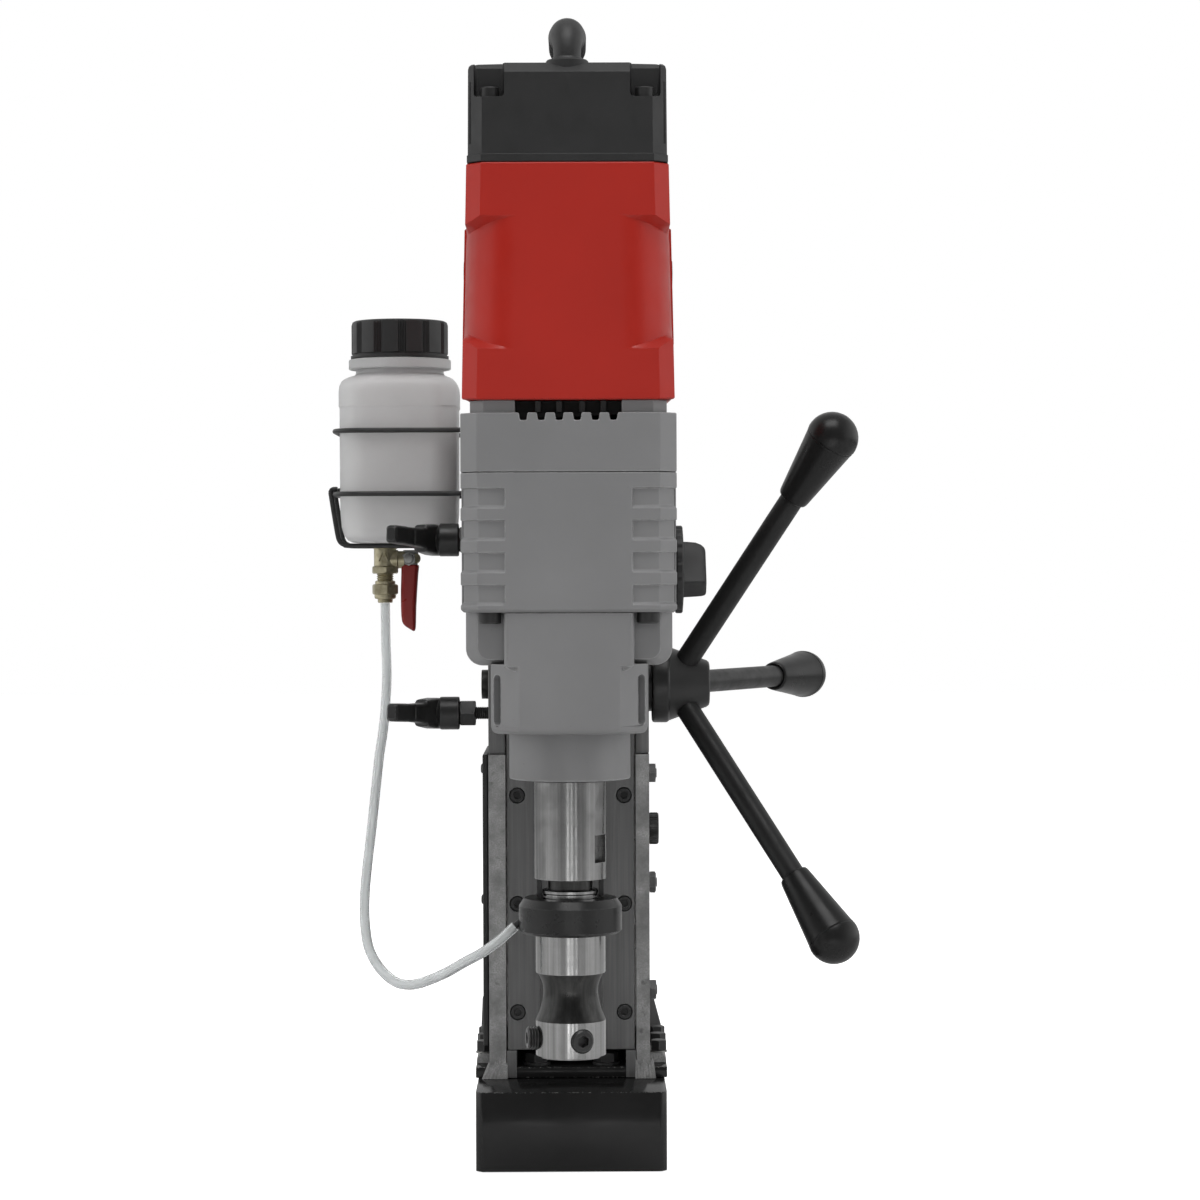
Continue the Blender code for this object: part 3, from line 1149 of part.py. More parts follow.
PINION_LOW = GEAR_COVER_BOTTOM - SEAT_GAP - RUN_GAP - MOTOR_PINION_WIDTH
LAY_PINION_LOW = FLOOR_TOP + LAY_PINION_RISE - LAY_PINION_WIDTH / 2


def build_gear_train():
    """The armature on the motor's bearings, and the lay shaft between its pinion and the spindle wheel."""
    motor = pivot_at("armature_axis", (0.0, SPINDLE_Y, MOTOR_BOTTOM))
    at = (0.0, SPINDLE_Y, 0.0)
    shaft = MOTOR_SHAFT_DIAMETER / 2
    fan_low = MOTOR_BOTTOM + FAN_RISE
    fan_top = fan_low + FAN_THICKNESS
    rotor_low = MOTOR_BOTTOM + ROTOR_RISE
    rotor_top = rotor_low + ROTOR_LENGTH
    brush_low = rotor_top + BRUSH_GAP
    brush_top = brush_low + COMMUTATOR_LENGTH
    top = COVER_TOP - COVER_ROOF + TOP_BEARING_HEIGHT
    profile = [(0.0, top), (shaft, top), (shaft, brush_top), (COMMUTATOR_DIAMETER / 2, brush_top),
               (COMMUTATOR_DIAMETER / 2, brush_low), (shaft, brush_low), (shaft, rotor_top),
               (ROTOR_DIAMETER / 2, rotor_top), (ROTOR_DIAMETER / 2, rotor_low), (shaft, rotor_low),
               (shaft, fan_top), (FAN_DIAMETER / 2, fan_top), (FAN_DIAMETER / 2, fan_low), (shaft, fan_low),
               (shaft, PINION_LOW + MOTOR_PINION_WIDTH / 2), (0.0, PINION_LOW + MOTOR_PINION_WIDTH / 2)]
    armature = turned("armature", profile, steps=SHAFT_SIDES)
    pinion = extruded("motor_pinion", [gear_outline(MOTOR_PINION_TEETH, GEAR_MODULE, (0.0, SPINDLE_Y),
                                                    math.pi / 2)], PINION_LOW, PINION_LOW + MOTOR_PINION_WIDTH)
    place(combine(armature, as_cutter(pinion), "UNION"), COPPER, motor, at)
    lay = pivot_at("lay_axis", (0.0, LAY_Y, GEARBOX_BOTTOM))
    lay_radius = LAY_SHAFT_DIAMETER / 2
    lay_low = GEARBOX_BOTTOM + LAY_BORE_FLOOR + SEAT_GAP
    lay_top = WEB_TOP
    shaft_piece = turned("lay_shaft", [(0.0, lay_top), (lay_radius, lay_top), (lay_radius, lay_low),
                                       (0.0, lay_low)], steps=SHAFT_SIDES)
    wheel_phase = -math.pi / 2 + math.pi / LAY_WHEEL_TEETH
    wheel = extruded("lay_wheel", [gear_outline(LAY_WHEEL_TEETH, GEAR_MODULE, (0.0, LAY_Y), wheel_phase)],
                     PINION_LOW, PINION_LOW + MOTOR_PINION_WIDTH)
    small_phase = -math.pi / 2 + math.pi / LAY_PINION_TEETH
    small = extruded("lay_pinion", [gear_outline(LAY_PINION_TEETH, GEAR_MODULE, (0.0, LAY_Y), small_phase)],
                     LAY_PINION_LOW, LAY_PINION_LOW + LAY_PINION_WIDTH)
    combine(shaft_piece, as_cutter(wheel), "UNION")
    combine(shaft_piece, as_cutter(small), "UNION")
    place(shaft_piece, BRIGHT_STEEL, lay, (0.0, LAY_Y, 0.0))
    build_bearings()


def build_bearings():
    """Plain rings for the spindle and motor bearings, each in its seat."""
    lower = COLLAR_BOTTOM + LOWER_BEARING_RISE
    upper = NOSE_TOP - SEAT_GAP - UPPER_BEARING_HEIGHT
    roof = COVER_TOP - COVER_ROOF
    entries = [
        ("spindle_bearing_lower", SPINDLE_DIAMETER, LOWER_BEARING_DIAMETER, lower,
         lower + LOWER_BEARING_HEIGHT),
        ("spindle_bearing_upper", SPINDLE_JOURNAL_DIAMETER, UPPER_BEARING_DIAMETER, upper,
         upper + UPPER_BEARING_HEIGHT),
        ("motor_bearing_lower", MOTOR_SHAFT_DIAMETER, MOTOR_BEARING_DIAMETER, GEAR_COVER_BOTTOM, WEB_TOP),
        ("motor_bearing_upper", MOTOR_SHAFT_DIAMETER, MOTOR_BEARING_DIAMETER, roof, roof + TOP_BEARING_HEIGHT),
    ]
    for name, bore, diameter, low, high in entries:
        ring = turned(name, ring_profile(bore + 2 * RUN_GAP, diameter, low, high), closed=True)
        place(ring, BRIGHT_STEEL, None, (0.0, SPINDLE_Y, 0.0))


def build_spindle():
    """The spindle with its gear wheel, then the arbor with its screws and the coolant ring round its neck."""
    pivot = pivot_at("spindle_axis", (0.0, SPINDLE_Y, SPINDLE_BOTTOM))
    at = (0.0, SPINDLE_Y, 0.0)
    body = SPINDLE_DIAMETER / 2
    journal = SPINDLE_JOURNAL_DIAMETER / 2
    shoulder = NOSE_TOP - UPPER_BEARING_HEIGHT - 2 * SEAT_GAP - RUN_GAP
    wheel_low = LAY_PINION_LOW
    top = wheel_low + LAY_PINION_WIDTH + RUN_GAP
    mouth = TAPER_MOUTH_DIAMETER / 2
    inner = TAPER_END_DIAMETER / 2
    depth = SPINDLE_BOTTOM + TAPER_DEPTH
    spindle = turned("spindle", [
        (0.0, top), (journal, top), (journal, shoulder), (body, shoulder), (body, SPINDLE_BOTTOM),
        (mouth, SPINDLE_BOTTOM), (inner, depth), (0.0, depth)])
    window = bmesh.new()
    low = SPINDLE_BOTTOM + DRIFT_RISE
    block = add_box(window, (body - DRIFT_DEPTH, -DRIFT_WIDTH / 2, low),
                    (body + DRIFT_DEPTH, DRIFT_WIDTH / 2, low + DRIFT_HEIGHT))
    turn = Matrix.Translation(at) @ Matrix.Rotation(DRIFT_TURN, 4, "Z")
    bmesh.ops.transform(window, matrix=turn, verts=block)
    combine(spindle, as_cutter(mesh_object("drift_window", window)))
    wheel = extruded("spindle_wheel", [gear_outline(SPINDLE_WHEEL_TEETH, GEAR_MODULE, at, math.pi / 2)],
                     wheel_low, wheel_low + LAY_PINION_WIDTH)
    combine(spindle, as_cutter(wheel), "UNION")
    place(spindle, BRIGHT_STEEL, pivot, at)
    build_arbor(pivot, at)
    ring_top = SPINDLE_BOTTOM - RING_DROP
    ring_low = ring_top - RING_HEIGHT
    edge = RING_DIAMETER / 2
    hole = ARBOR_NECK_DIAMETER / 2 + RUN_GAP
    ring = turned("coolant_ring", [
        (edge - RING_TOP_INSET, ring_top), (edge, ring_top - RING_TOP_CHAMFER),
        (edge, ring_low + RING_BOTTOM_CHAMFER), (edge - RING_BOTTOM_CHAMFER, ring_low), (hole, ring_low),
        (hole, ring_top)], closed=True)
    place(ring, BLACK_PLASTIC, None, at)


def build_arbor(pivot, at):
    """A taper shank, a neck with a lip, then two collars with a waist between them and a cutter bore."""
    start = SPINDLE_BOTTOM - SEAT_GAP
    neck = ARBOR_NECK_DIAMETER / 2
    lip_top = SPINDLE_BOTTOM - ARBOR_LIP_DROP
    lip_low = lip_top - ARBOR_LIP_HEIGHT
    shoulder = SPINDLE_BOTTOM - ARBOR_SHOULDER_DROP
    upper = shoulder - ARBOR_UPPER_HEIGHT
    lower = upper - ARBOR_WAIST_HEIGHT
    end = lower - ARBOR_LOWER_HEIGHT
    rim = ARBOR_DIAMETER / 2
    waist = ARBOR_WAIST_DIAMETER / 2
    shank_top = start + TAPER_DEPTH - 4 * SEAT_GAP
    bore = ARBOR_BORE / 2
    hollow = [(rim - (rim - waist) * math.sin(math.pi * step / 6), upper - ARBOR_WAIST_HEIGHT * step / 6)
              for step in range(1, 6)]
    arbor = turned("arbor", [
        (0.0, shank_top), (TAPER_END_DIAMETER / 2 - TAPER_GAP, shank_top),
        (TAPER_MOUTH_DIAMETER / 2 - TAPER_GAP, start), (neck, start - SEAT_GAP), (neck, lip_top),
        (ARBOR_LIP_DIAMETER / 2, lip_top), (ARBOR_LIP_DIAMETER / 2, lip_low), (neck, lip_low), (neck, shoulder),
        (rim, shoulder), (rim, upper)] + hollow + [
        (rim, lower), (rim, end), (bore, end), (bore, end + ARBOR_BORE_DEPTH), (0.0, end + ARBOR_BORE_DEPTH)])
    screw_z = end + SET_SCREW_RISE
    axis = Vector((at[0], at[1], screw_z))
    holes = []
    for name, turn, proud in (("set_screw_front", SET_SCREW_FRONT_TURN, 0.0),
                              ("set_screw_left", SET_SCREW_LEFT_TURN, SET_SCREW_LEFT_PROUD)):
        away = Vector((math.cos(turn), math.sin(turn), 0.0))
        holes.append((axis, axis + away * ARBOR_DIAMETER, SET_SCREW_DIAMETER + 2 * HOLE_PLAY, SMALL_SIDES))
        tip = rim + proud
        screw = rods(name, [(axis + away * (tip - SET_SCREW_LENGTH), axis + away * tip, SET_SCREW_DIAMETER,
                             SMALL_SIDES)], at)
        place(screw, BLACK_OXIDE, pivot, at)
    combine(arbor, as_cutter(rods("set_screw_holes", holes)))
    place(arbor, BRIGHT_STEEL, pivot, at)


def rounded_square(centre, half, corner, steps):
    """A square with round corners, anticlockwise from its right side."""
    points = []
    for quarter in range(4):
        turn = math.radians(90 * quarter + 45)
        middle = (centre[0] + (half - corner) * math.copysign(1, math.cos(turn)),
                  centre[1] + (half - corner) * math.copysign(1, math.sin(turn)))
        points += arc(middle, corner, 90 * quarter, 90 * quarter + 90, steps)
    return points


def loft(name, rings, at):
    """Rings of equal count, bottom to top, skinned and closed with flat ends."""
    shape = bmesh.new()
    rows = [[shape.verts.new((x, y, z)) for x, y in ring] for ring, z in rings]
    count = len(rows[0])
    for lower, upper in zip(rows, rows[1:]):
        for index in range(count):
            following = (index + 1) % count
            shape.faces.new((lower[index], lower[following], upper[following], upper[index]))
    shape.faces.new(rows[0][::-1])
    shape.faces.new(rows[-1])
    bmesh.ops.remove_doubles(shape, verts=shape.verts, dist=WELD_DISTANCE)
    return mesh_object(name, shape, at)


def bottle_rings(inset, low, high):
    """Sections of the squarish bottle, drawn in by a wall thickness: body, shoulder and round neck."""
    centre = (BOTTLE_X, BOTTLE_Y)
    half = BOTTLE_WIDTH / 2 - inset
    corner = BOTTLE_CORNER - inset
    neck = NECK_DIAMETER / 2 - inset
    shoulder = BOTTLE_BOTTOM + BOTTLE_SHOULDER
    crown = BOTTLE_BOTTOM + BOTTLE_HEIGHT
    steps = 3
    rings = [(rounded_square(centre, half - BOTTLE_FOOT_ROUND, corner, steps), low),
             (rounded_square(centre, half, corner, steps), low + BOTTLE_FOOT_ROUND),
             (rounded_square(centre, half, corner, steps), shoulder)]
    middle = (half + neck) / 2
    rings.append((rounded_square(centre, (half + middle) / 2, corner, steps), (shoulder + 2 * crown) / 3))
    rings.append((rounded_square(centre, neck, neck, steps), crown - inset))
    rings.append((rounded_square(centre, neck, neck, steps), high))
    return rings


BOTTLE_TOP = BOTTLE_BOTTOM + BOTTLE_HEIGHT + NECK_HEIGHT


def build_bottle():
    """The open-mouthed bottle with a ring round its neck, and the cap over the mouth."""
    at = (BOTTLE_X, BOTTLE_Y, 0.0)
    bottle = loft("bottle", bottle_rings(0.0, BOTTLE_BOTTOM, BOTTLE_TOP), at)
    crown = BOTTLE_BOTTOM + BOTTLE_HEIGHT
    collar = rods("neck_ring", [((BOTTLE_X, BOTTLE_Y, crown + SEAT_GAP),
                                 (BOTTLE_X, BOTTLE_Y, crown + NECK_RING_HEIGHT), NECK_RING_DIAMETER,
                                 ROUND_SIDES)])
    combine(bottle, as_cutter(collar), "UNION")
    hollow = bottle_rings(BOTTLE_WALL, BOTTLE_BOTTOM + BOTTLE_WALL, BOTTLE_TOP + NECK_HEIGHT)
    inside = loft("bottle_inside", hollow, at)
    inside.location = at
    combine(bottle, as_cutter(inside))
    place(bottle, MILKY_PLASTIC, None, at)
    cap_low = crown + NECK_RING_HEIGHT + SEAT_GAP
    roof = BOTTLE_TOP + SEAT_GAP
    skirt = NECK_DIAMETER / 2 + RUN_GAP
    cap = turned("bottle_cap", [(0.0, roof + CAP_ROOF), (CAP_DIAMETER / 2, roof + CAP_ROOF),
                                (CAP_DIAMETER / 2, cap_low), (skirt, cap_low), (skirt, roof), (0.0, roof)])
    place(cap, BLACK_PLASTIC, pivot_at("cap_axis", (BOTTLE_X, BOTTLE_Y, cap_low)), at)


def build_basket():
    """Two wire rings and two cradle wires round the bottle, on a bracket behind the slide's upper end."""
    face = -SLIDE_WIDTH / 2
    near = SLIDE_BACK + SEAT_GAP
    out = BOTTLE_WIDTH / 2 + WIRE_DIAMETER / 2 + BASKET_PLAY
    far = BOTTLE_Y + out + WIRE_DIAMETER
    outline = [(face, near), (face + BRACKET_FLANGE, near), (face + BRACKET_FLANGE, near + BRACKET_THICKNESS),
               (face + BRACKET_THICKNESS, near + BRACKET_THICKNESS), (face + BRACKET_THICKNESS, far),
               (face, far)]
    place(extruded("basket_bracket", [outline], BRACKET_BOTTOM, BRACKET_BOTTOM + BRACKET_HEIGHT), BLACK_PAINT)
    left = BOTTLE_X - out
    corner = BOTTLE_CORNER + WIRE_DIAMETER / 2 + BASKET_PLAY
    wires = []
    for rise in BASKET_RISES:
        z = BOTTLE_BOTTOM + rise
        loop = [(face - SEAT_GAP, BOTTLE_Y - out)]
        loop += arc((left + corner, BOTTLE_Y - out + corner), corner, 270, 180, 5)
        loop += arc((left + corner, BOTTLE_Y + out - corner), corner, 180, 90, 5)
        loop += [(face - SEAT_GAP, BOTTLE_Y + out)]
        wires.append(tube_mesh("ring_wire", [(x, y, z) for x, y in loop], WIRE_DIAMETER))
    side = left - WIRE_DIAMETER + WELD_SINK
    below = BOTTLE_BOTTOM - SEAT_GAP - WIRE_DIAMETER / 2
    right = BOTTLE_X + out
    bend = 2 * WIRE_DIAMETER
    for offset in (-CRADLE_OFFSET, CRADLE_OFFSET):
        y = BOTTLE_Y + offset
        drop = [(side, BOTTLE_BOTTOM + BASKET_RISES[1] + WIRE_DIAMETER)]
        drop += arc((side + bend, below + bend), bend, 180, 270, 3)
        drop += arc((right - bend, below + bend), bend, 270, 360, 3)
        drop += [(right, below + CRADLE_LIP)]
        wires.append(tube_mesh("cradle_wire", [(x, y, z) for x, z in drop], WIRE_DIAMETER))
    basket = wires[0]
    basket.name = "wire_basket"
    for wire in (wires[2], wires[1], wires[3]):
        combine(basket, as_cutter(wire), "UNION")
    place(basket, BLACK_PAINT)


VALVE_X = BOTTLE_X + VALVE_OFFSET
VALVE_TOP = BOTTLE_BOTTOM - SEAT_GAP
VALVE_BOTTOM = (VALVE_TOP - VALVE_BODY_HEIGHT - VALVE_FLANGE_HEIGHT - VALVE_THREAD_HEIGHT - VALVE_NUT_HEIGHT
                - VALVE_FERRULE_HEIGHT)


def build_valve():
    """The brass valve under the bottle, and its lever on the end of the stem."""
    profile = [(0.0, VALVE_TOP)]
    z = VALVE_TOP
    for diameter, height in ((VALVE_BODY_DIAMETER, VALVE_BODY_HEIGHT),
                             (hex_diameter(VALVE_FLANGE_FLATS), VALVE_FLANGE_HEIGHT),
                             (VALVE_THREAD_DIAMETER, VALVE_THREAD_HEIGHT),
                             (hex_diameter(VALVE_NUT_FLATS), VALVE_NUT_HEIGHT),
                             (VALVE_FERRULE_DIAMETER, VALVE_FERRULE_HEIGHT)):
        profile += [(diameter / 2, z), (diameter / 2, z - height)]
        z -= height
    profile.append((0.0, z))
    valve = turned("valve_body", profile, steps=SMALL_SIDES)
    stem_z = BOTTLE_BOTTOM - VALVE_STEM_DROP
    stem_end = VALVE_X + VALVE_BODY_DIAMETER / 2 + VALVE_STEM_LENGTH
    stem = rods("valve_stem", [((VALVE_X, BOTTLE_Y, stem_z), (stem_end, BOTTLE_Y, stem_z), VALVE_STEM_DIAMETER,
                                SMALL_SIDES)])
    combine(valve, as_cutter(stem), "UNION")
    place(valve, BRASS, None, (VALVE_X, BOTTLE_Y, 0.0))
    half = VALVE_LEVER_WIDTH / 2
    low = stem_z - VALVE_LEVER_LENGTH
    outline = arc((BOTTLE_Y, stem_z), half, 0, 180, 4) + arc((BOTTLE_Y, low + half), half, 180, 360, 4)
    face = stem_end + SEAT_GAP
    at = (face, BOTTLE_Y, stem_z)
    lever = extruded("valve_lever", [outline], face, face + VALVE_LEVER_THICKNESS, axis="X", at=at)
    place(lever, RED_PLASTIC, pivot_at("valve_axis", at), at)


def smooth_path(points, step):
    """Even points on a smooth curve through the given ones."""
    knots = [Vector(point) for point in points]
    knots = [2 * knots[0] - knots[1]] + knots + [2 * knots[-1] - knots[-2]]
    fine = []
    pieces = 24
    for before, start, end, after in zip(knots, knots[1:], knots[2:], knots[3:]):
        for index in range(pieces):
            t = index / pieces
            square = (2 * before - 5 * start + 4 * end - after) * t ** 2
            cube = (3 * start - before - 3 * end + after) * t ** 3
            fine.append(0.5 * (2 * start + (end - before) * t + square + cube))
    fine.append(knots[-2])
    total = sum((b - a).length for a, b in zip(fine, fine[1:]))
    count = max(2, round(total / step))
    path = [fine[0]]
    travelled = 0.0
    for a, b in zip(fine, fine[1:]):
        travelled += (b - a).length
        if travelled >= len(path) * total / count - 1e-9 and len(path) < count:
            path.append(b)
    path.append(fine[-1])
    return path, total


def build_hose():
    """The clear coolant hose, from the valve's ferrule to the side of the coolant ring."""
    start = Vector((VALVE_X, BOTTLE_Y, VALVE_BOTTOM))
    path, length = smooth_path([start + Vector(point) for point in HOSE_ROUTE], HOSE_STEP)
    place(tube("coolant_hose", path, HOSE_DIAMETER, 2), CLEAR_VINYL)
    print("hose length %.3f m, %d points" % (length, len(path)))


def main():
    build_magnet()
    build_base()
    build_frame()
    build_head()
    build_capstan()
    build_clamps()
    build_controls()
    build_slide()
    build_saddle()
    build_gearbox()
    build_nose()
    build_motor()
    build_speed_knob()
    build_gear_train()
    build_spindle()
    build_bottle()
    build_basket()
    build_valve()
    build_hose()


main()
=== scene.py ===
import math

import bmesh
import bpy
from mathutils import Matrix, Vector


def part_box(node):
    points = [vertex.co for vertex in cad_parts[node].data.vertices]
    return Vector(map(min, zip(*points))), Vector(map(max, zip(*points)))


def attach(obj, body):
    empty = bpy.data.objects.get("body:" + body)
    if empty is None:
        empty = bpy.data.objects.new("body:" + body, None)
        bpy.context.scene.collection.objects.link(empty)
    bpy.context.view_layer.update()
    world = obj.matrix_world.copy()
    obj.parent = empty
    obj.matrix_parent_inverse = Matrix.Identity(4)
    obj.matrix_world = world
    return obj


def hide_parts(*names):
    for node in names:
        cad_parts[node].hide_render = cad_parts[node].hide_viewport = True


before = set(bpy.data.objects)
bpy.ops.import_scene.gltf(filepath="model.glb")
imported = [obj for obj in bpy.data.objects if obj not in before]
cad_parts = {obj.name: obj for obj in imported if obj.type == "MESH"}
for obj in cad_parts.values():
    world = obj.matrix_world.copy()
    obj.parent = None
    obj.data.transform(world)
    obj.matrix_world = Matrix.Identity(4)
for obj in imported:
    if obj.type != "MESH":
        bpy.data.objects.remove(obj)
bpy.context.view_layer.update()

# Camera, fitted to points of the photograph in its frame of 1200 by 1200 pixels
FRAME_PIXELS = 1200
FOCAL_PIXELS = 3208
SENSOR_WIDTH = 36.0
CAMERA_AT = (0.0057, -1.9495, 0.3464)
CAMERA_YAW = 0.00639
CAMERA_TILT = 0.00967
CAMERA_ROLL = 0.00353


def build_camera():
    data = bpy.data.cameras.new("camera")
    data.sensor_width = SENSOR_WIDTH
    data.lens = SENSOR_WIDTH * FOCAL_PIXELS / FRAME_PIXELS
    camera = bpy.data.objects.new("camera", data)
    bpy.context.scene.collection.objects.link(camera)
    camera.matrix_world = (Matrix.Translation(CAMERA_AT) @ Matrix.Rotation(-CAMERA_YAW, 4, "Z")
                           @ Matrix.Rotation(math.pi / 2 - CAMERA_TILT, 4, "X")
                           @ Matrix.Rotation(-CAMERA_ROLL, 4, "Z"))
    bpy.context.scene.camera = camera


build_camera()


class Finish:
    """One material under construction: a Principled shader whose inputs are fed in plain steps."""

    def __init__(self, name, colour, roughness, metallic=0.0, shine=0.5):
        self.material = bpy.data.materials.new(name)
        self.material.use_nodes = True
        self.nodes = self.material.node_tree.nodes
        self.links = self.material.node_tree.links
        self.shader = self.nodes["Principled BSDF"]
        self.colour = colour
        self.shader.inputs["Base Color"].default_value = (*colour, 1.0)
        self.shader.inputs["Roughness"].default_value = roughness
        self.shader.inputs["Metallic"].default_value = metallic
        self.shader.inputs["Specular IOR Level"].default_value = shine
        self.place = self.nodes.new("ShaderNodeTexCoord").outputs["Object"]
        self.normal = None

    def feed(self, socket, value):
        if hasattr(value, "is_output"):
            self.links.new(value, socket)
        else:
            socket.default_value = value

    def noise(self, scale, detail, stretch=(1.0, 1.0, 1.0), sharp=0.5):
        """Noise from 0 to 1, in cells a metre, drawn out along an axis by a small stretch factor."""
        mapping = self.nodes.new("ShaderNodeMapping")
        mapping.inputs["Scale"].default_value = stretch
        self.links.new(self.place, mapping.inputs["Vector"])
        texture = self.nodes.new("ShaderNodeTexNoise")
        texture.inputs["Scale"].default_value = scale
        texture.inputs["Detail"].default_value = detail
        texture.inputs["Roughness"].default_value = sharp
        self.links.new(mapping.outputs["Vector"], texture.inputs["Vector"])
        return texture.outputs[0]

    def clouds(self, scale, detail=4.0):
        """Soft patches from 0 to 1."""
        return self.spread(self.noise(scale, detail), 0.3, 0.7)

    def cells(self, scale):
        texture = self.nodes.new("ShaderNodeTexVoronoi")
        texture.inputs["Scale"].default_value = scale
        self.links.new(self.place, texture.inputs["Vector"])
        return texture.outputs["Distance"]

    def spread(self, value, low, high, to_low=0.0, to_high=1.0):
        """The part of a value between low and high, spread over a new range."""
        step = self.nodes.new("ShaderNodeMapRange")
        for name, number in (("From Min", low), ("From Max", high), ("To Min", to_low), ("To Max", to_high)):
            step.inputs[name].default_value = number
        self.links.new(value, step.inputs["Value"])
        return step.outputs["Result"]

    def combine(self, operation, a, b):
        step = self.nodes.new("ShaderNodeMath")
        step.operation = operation
        self.feed(step.inputs[0], a)
        self.feed(step.inputs[1], b)
        return step.outputs[0]

    def blend(self, factor, a, b):
        """One colour going over to another."""
        step = self.nodes.new("ShaderNodeMix")
        step.data_type = "RGBA"
        self.links.new(factor, step.inputs[0])
        for socket, colour in ((step.inputs[6], a), (step.inputs[7], b)):
            self.feed(socket, colour if hasattr(colour, "is_output") else (*colour, 1.0))
        return step.outputs[2]

    def edges(self, radius):
        """A mask that is 1 along the outer edges and 0 on the flats."""
        soft = self.nodes.new("ShaderNodeBevel")
        soft.inputs["Radius"].default_value = radius
        hard = self.nodes.new("ShaderNodeNewGeometry")
        dot = self.nodes.new("ShaderNodeVectorMath")
        dot.operation = "DOT_PRODUCT"
        self.links.new(soft.outputs["Normal"], dot.inputs[0])
        self.links.new(hard.outputs["Normal"], dot.inputs[1])
        return self.spread(dot.outputs["Value"], 1.0, 0.86)

    def broken_edges(self, radius, scale, detail, low, high, sharp=0.5):
        """The mask of the outer edges, broken up by noise."""
        breaks = self.spread(self.noise(scale, detail, sharp=sharp), low, high)
        return self.combine("MULTIPLY", self.edges(radius), breaks)

    def bump(self, height, depth, strength):
        step = self.nodes.new("ShaderNodeBump")
        step.inputs["Strength"].default_value = strength
        step.inputs["Distance"].default_value = depth
        self.links.new(height, step.inputs["Height"])
        if self.normal is not None:
            self.links.new(self.normal, step.inputs["Normal"])
        self.normal = step.outputs["Normal"]
        self.links.new(self.normal, self.shader.inputs["Normal"])

    def vary_colour(self, mask, darker, lighter):
        """The base colour between a darker and a lighter share of itself."""
        dark = [channel * darker for channel in self.colour]
        light = [channel * lighter for channel in self.colour]
        self.paint(self.blend(mask, dark, light))

    def paint(self, socket):
        self.links.new(socket, self.shader.inputs["Base Color"])
        self.painted = socket

    def cover(self, mask, colour, share=1.0):
        """Another colour over what is painted so far, by a share of a mask."""
        self.paint(self.blend(self.combine("MULTIPLY", mask, share), self.painted, colour))

    def vary_roughness(self, mask, low, high):
        self.links.new(self.spread(mask, 0.25, 0.75, low, high), self.shader.inputs["Roughness"])


def moulded(name, colour, roughness, grain=0.00003, grain_scale=1500.0, flecks=0.0, shine=0.36):
    """Injection-moulded plastic: fine grain, faint flow clouds and a few pale scuffs."""
    made = Finish(name, colour, roughness, shine=shine)
    made.vary_colour(made.clouds(18.0), 0.96, 1.04)
    if flecks:
        scuffs = made.spread(made.noise(260.0, 6.0, sharp=0.7), 0.70, 0.78)
        pale = [min(1.0, channel * 2.2 + 0.02) for channel in colour]
        made.cover(scuffs, pale, flecks)
    made.vary_roughness(made.noise(90.0, 3.0), roughness - 0.06, roughness + 0.08)
    made.bump(made.noise(grain_scale, 2.0), grain, 0.6)
    return made.material


def gloss_paint():
    """Thick black paint, chipped to bare steel along the edges, with orange peel and hairline scratches."""
    made = Finish("black_gloss_paint", (0.0105, 0.0105, 0.0105), 0.22, shine=0.32)
    chips = made.broken_edges(0.0011, 420.0, 5.0, 0.52, 0.58, sharp=0.7)
    scratches = made.spread(made.noise(160.0, 3.0, (1.0, 1.0, 0.04)), 0.735, 0.76, 0.0, 0.25)
    bare = made.combine("MAXIMUM", chips, scratches)
    made.vary_colour(made.clouds(25.0, 3.0), 0.85, 1.2)
    made.cover(bare, (0.24, 0.24, 0.23))
    made.vary_roughness(made.noise(55.0, 4.0), 0.11, 0.25)
    made.bump(made.noise(330.0, 2.0), 0.00006, 0.30)
    return made.material


def satin_black(name, colour=(0.017, 0.017, 0.017), roughness=0.36, metallic=0.0, shine=0.38):
    """Black paint or oxide on turned steel: paler edges that are partly rubbed wear and partly a painted
    highlight, and small pits.
    """
    made = Finish(name, colour, roughness, metallic, shine)
    # Paler edges: partly rubbed wear, partly a painted highlight along the outer edges.
    rub_and_highlight = made.broken_edges(0.0008, 300.0, 4.0, 0.40, 0.62)
    made.vary_colour(made.clouds(40.0), 0.80, 1.25)
    made.cover(rub_and_highlight, (0.16, 0.16, 0.16), 0.65)
    made.vary_roughness(made.noise(120.0, 3.0), roughness - 0.08, roughness + 0.10)
    made.bump(made.noise(900.0, 3.0), 0.000012, 0.5)
    return made.material


def cast_grey():
    """Grey enamel on a die casting: a soft skin, darker hollows, and paler edges that are partly wear and
    partly a painted highlight.
    """
    made = Finish("grey_enamel", (0.168, 0.168, 0.170), 0.42)
    made.vary_colour(made.clouds(14.0, 5.0), 0.93, 1.07)
    # Paler edges: a painted highlight along the outer edges, broken up by noise like wear.
    pale_edges = made.broken_edges(0.0009, 220.0, 4.0, 0.25, 0.60)
    made.cover(pale_edges, (0.42, 0.42, 0.42), 0.75)
    specks = made.spread(made.noise(700.0, 2.0), 0.74, 0.78, 0.0, 0.5)
    made.cover(specks, (0.10, 0.10, 0.10))
    made.vary_roughness(made.noise(60.0, 3.0), 0.36, 0.50)
    made.bump(made.noise(210.0, 3.0), 0.00010, 0.30)
    made.bump(made.noise(1300.0, 2.0), 0.00002, 0.5)
    return made.material


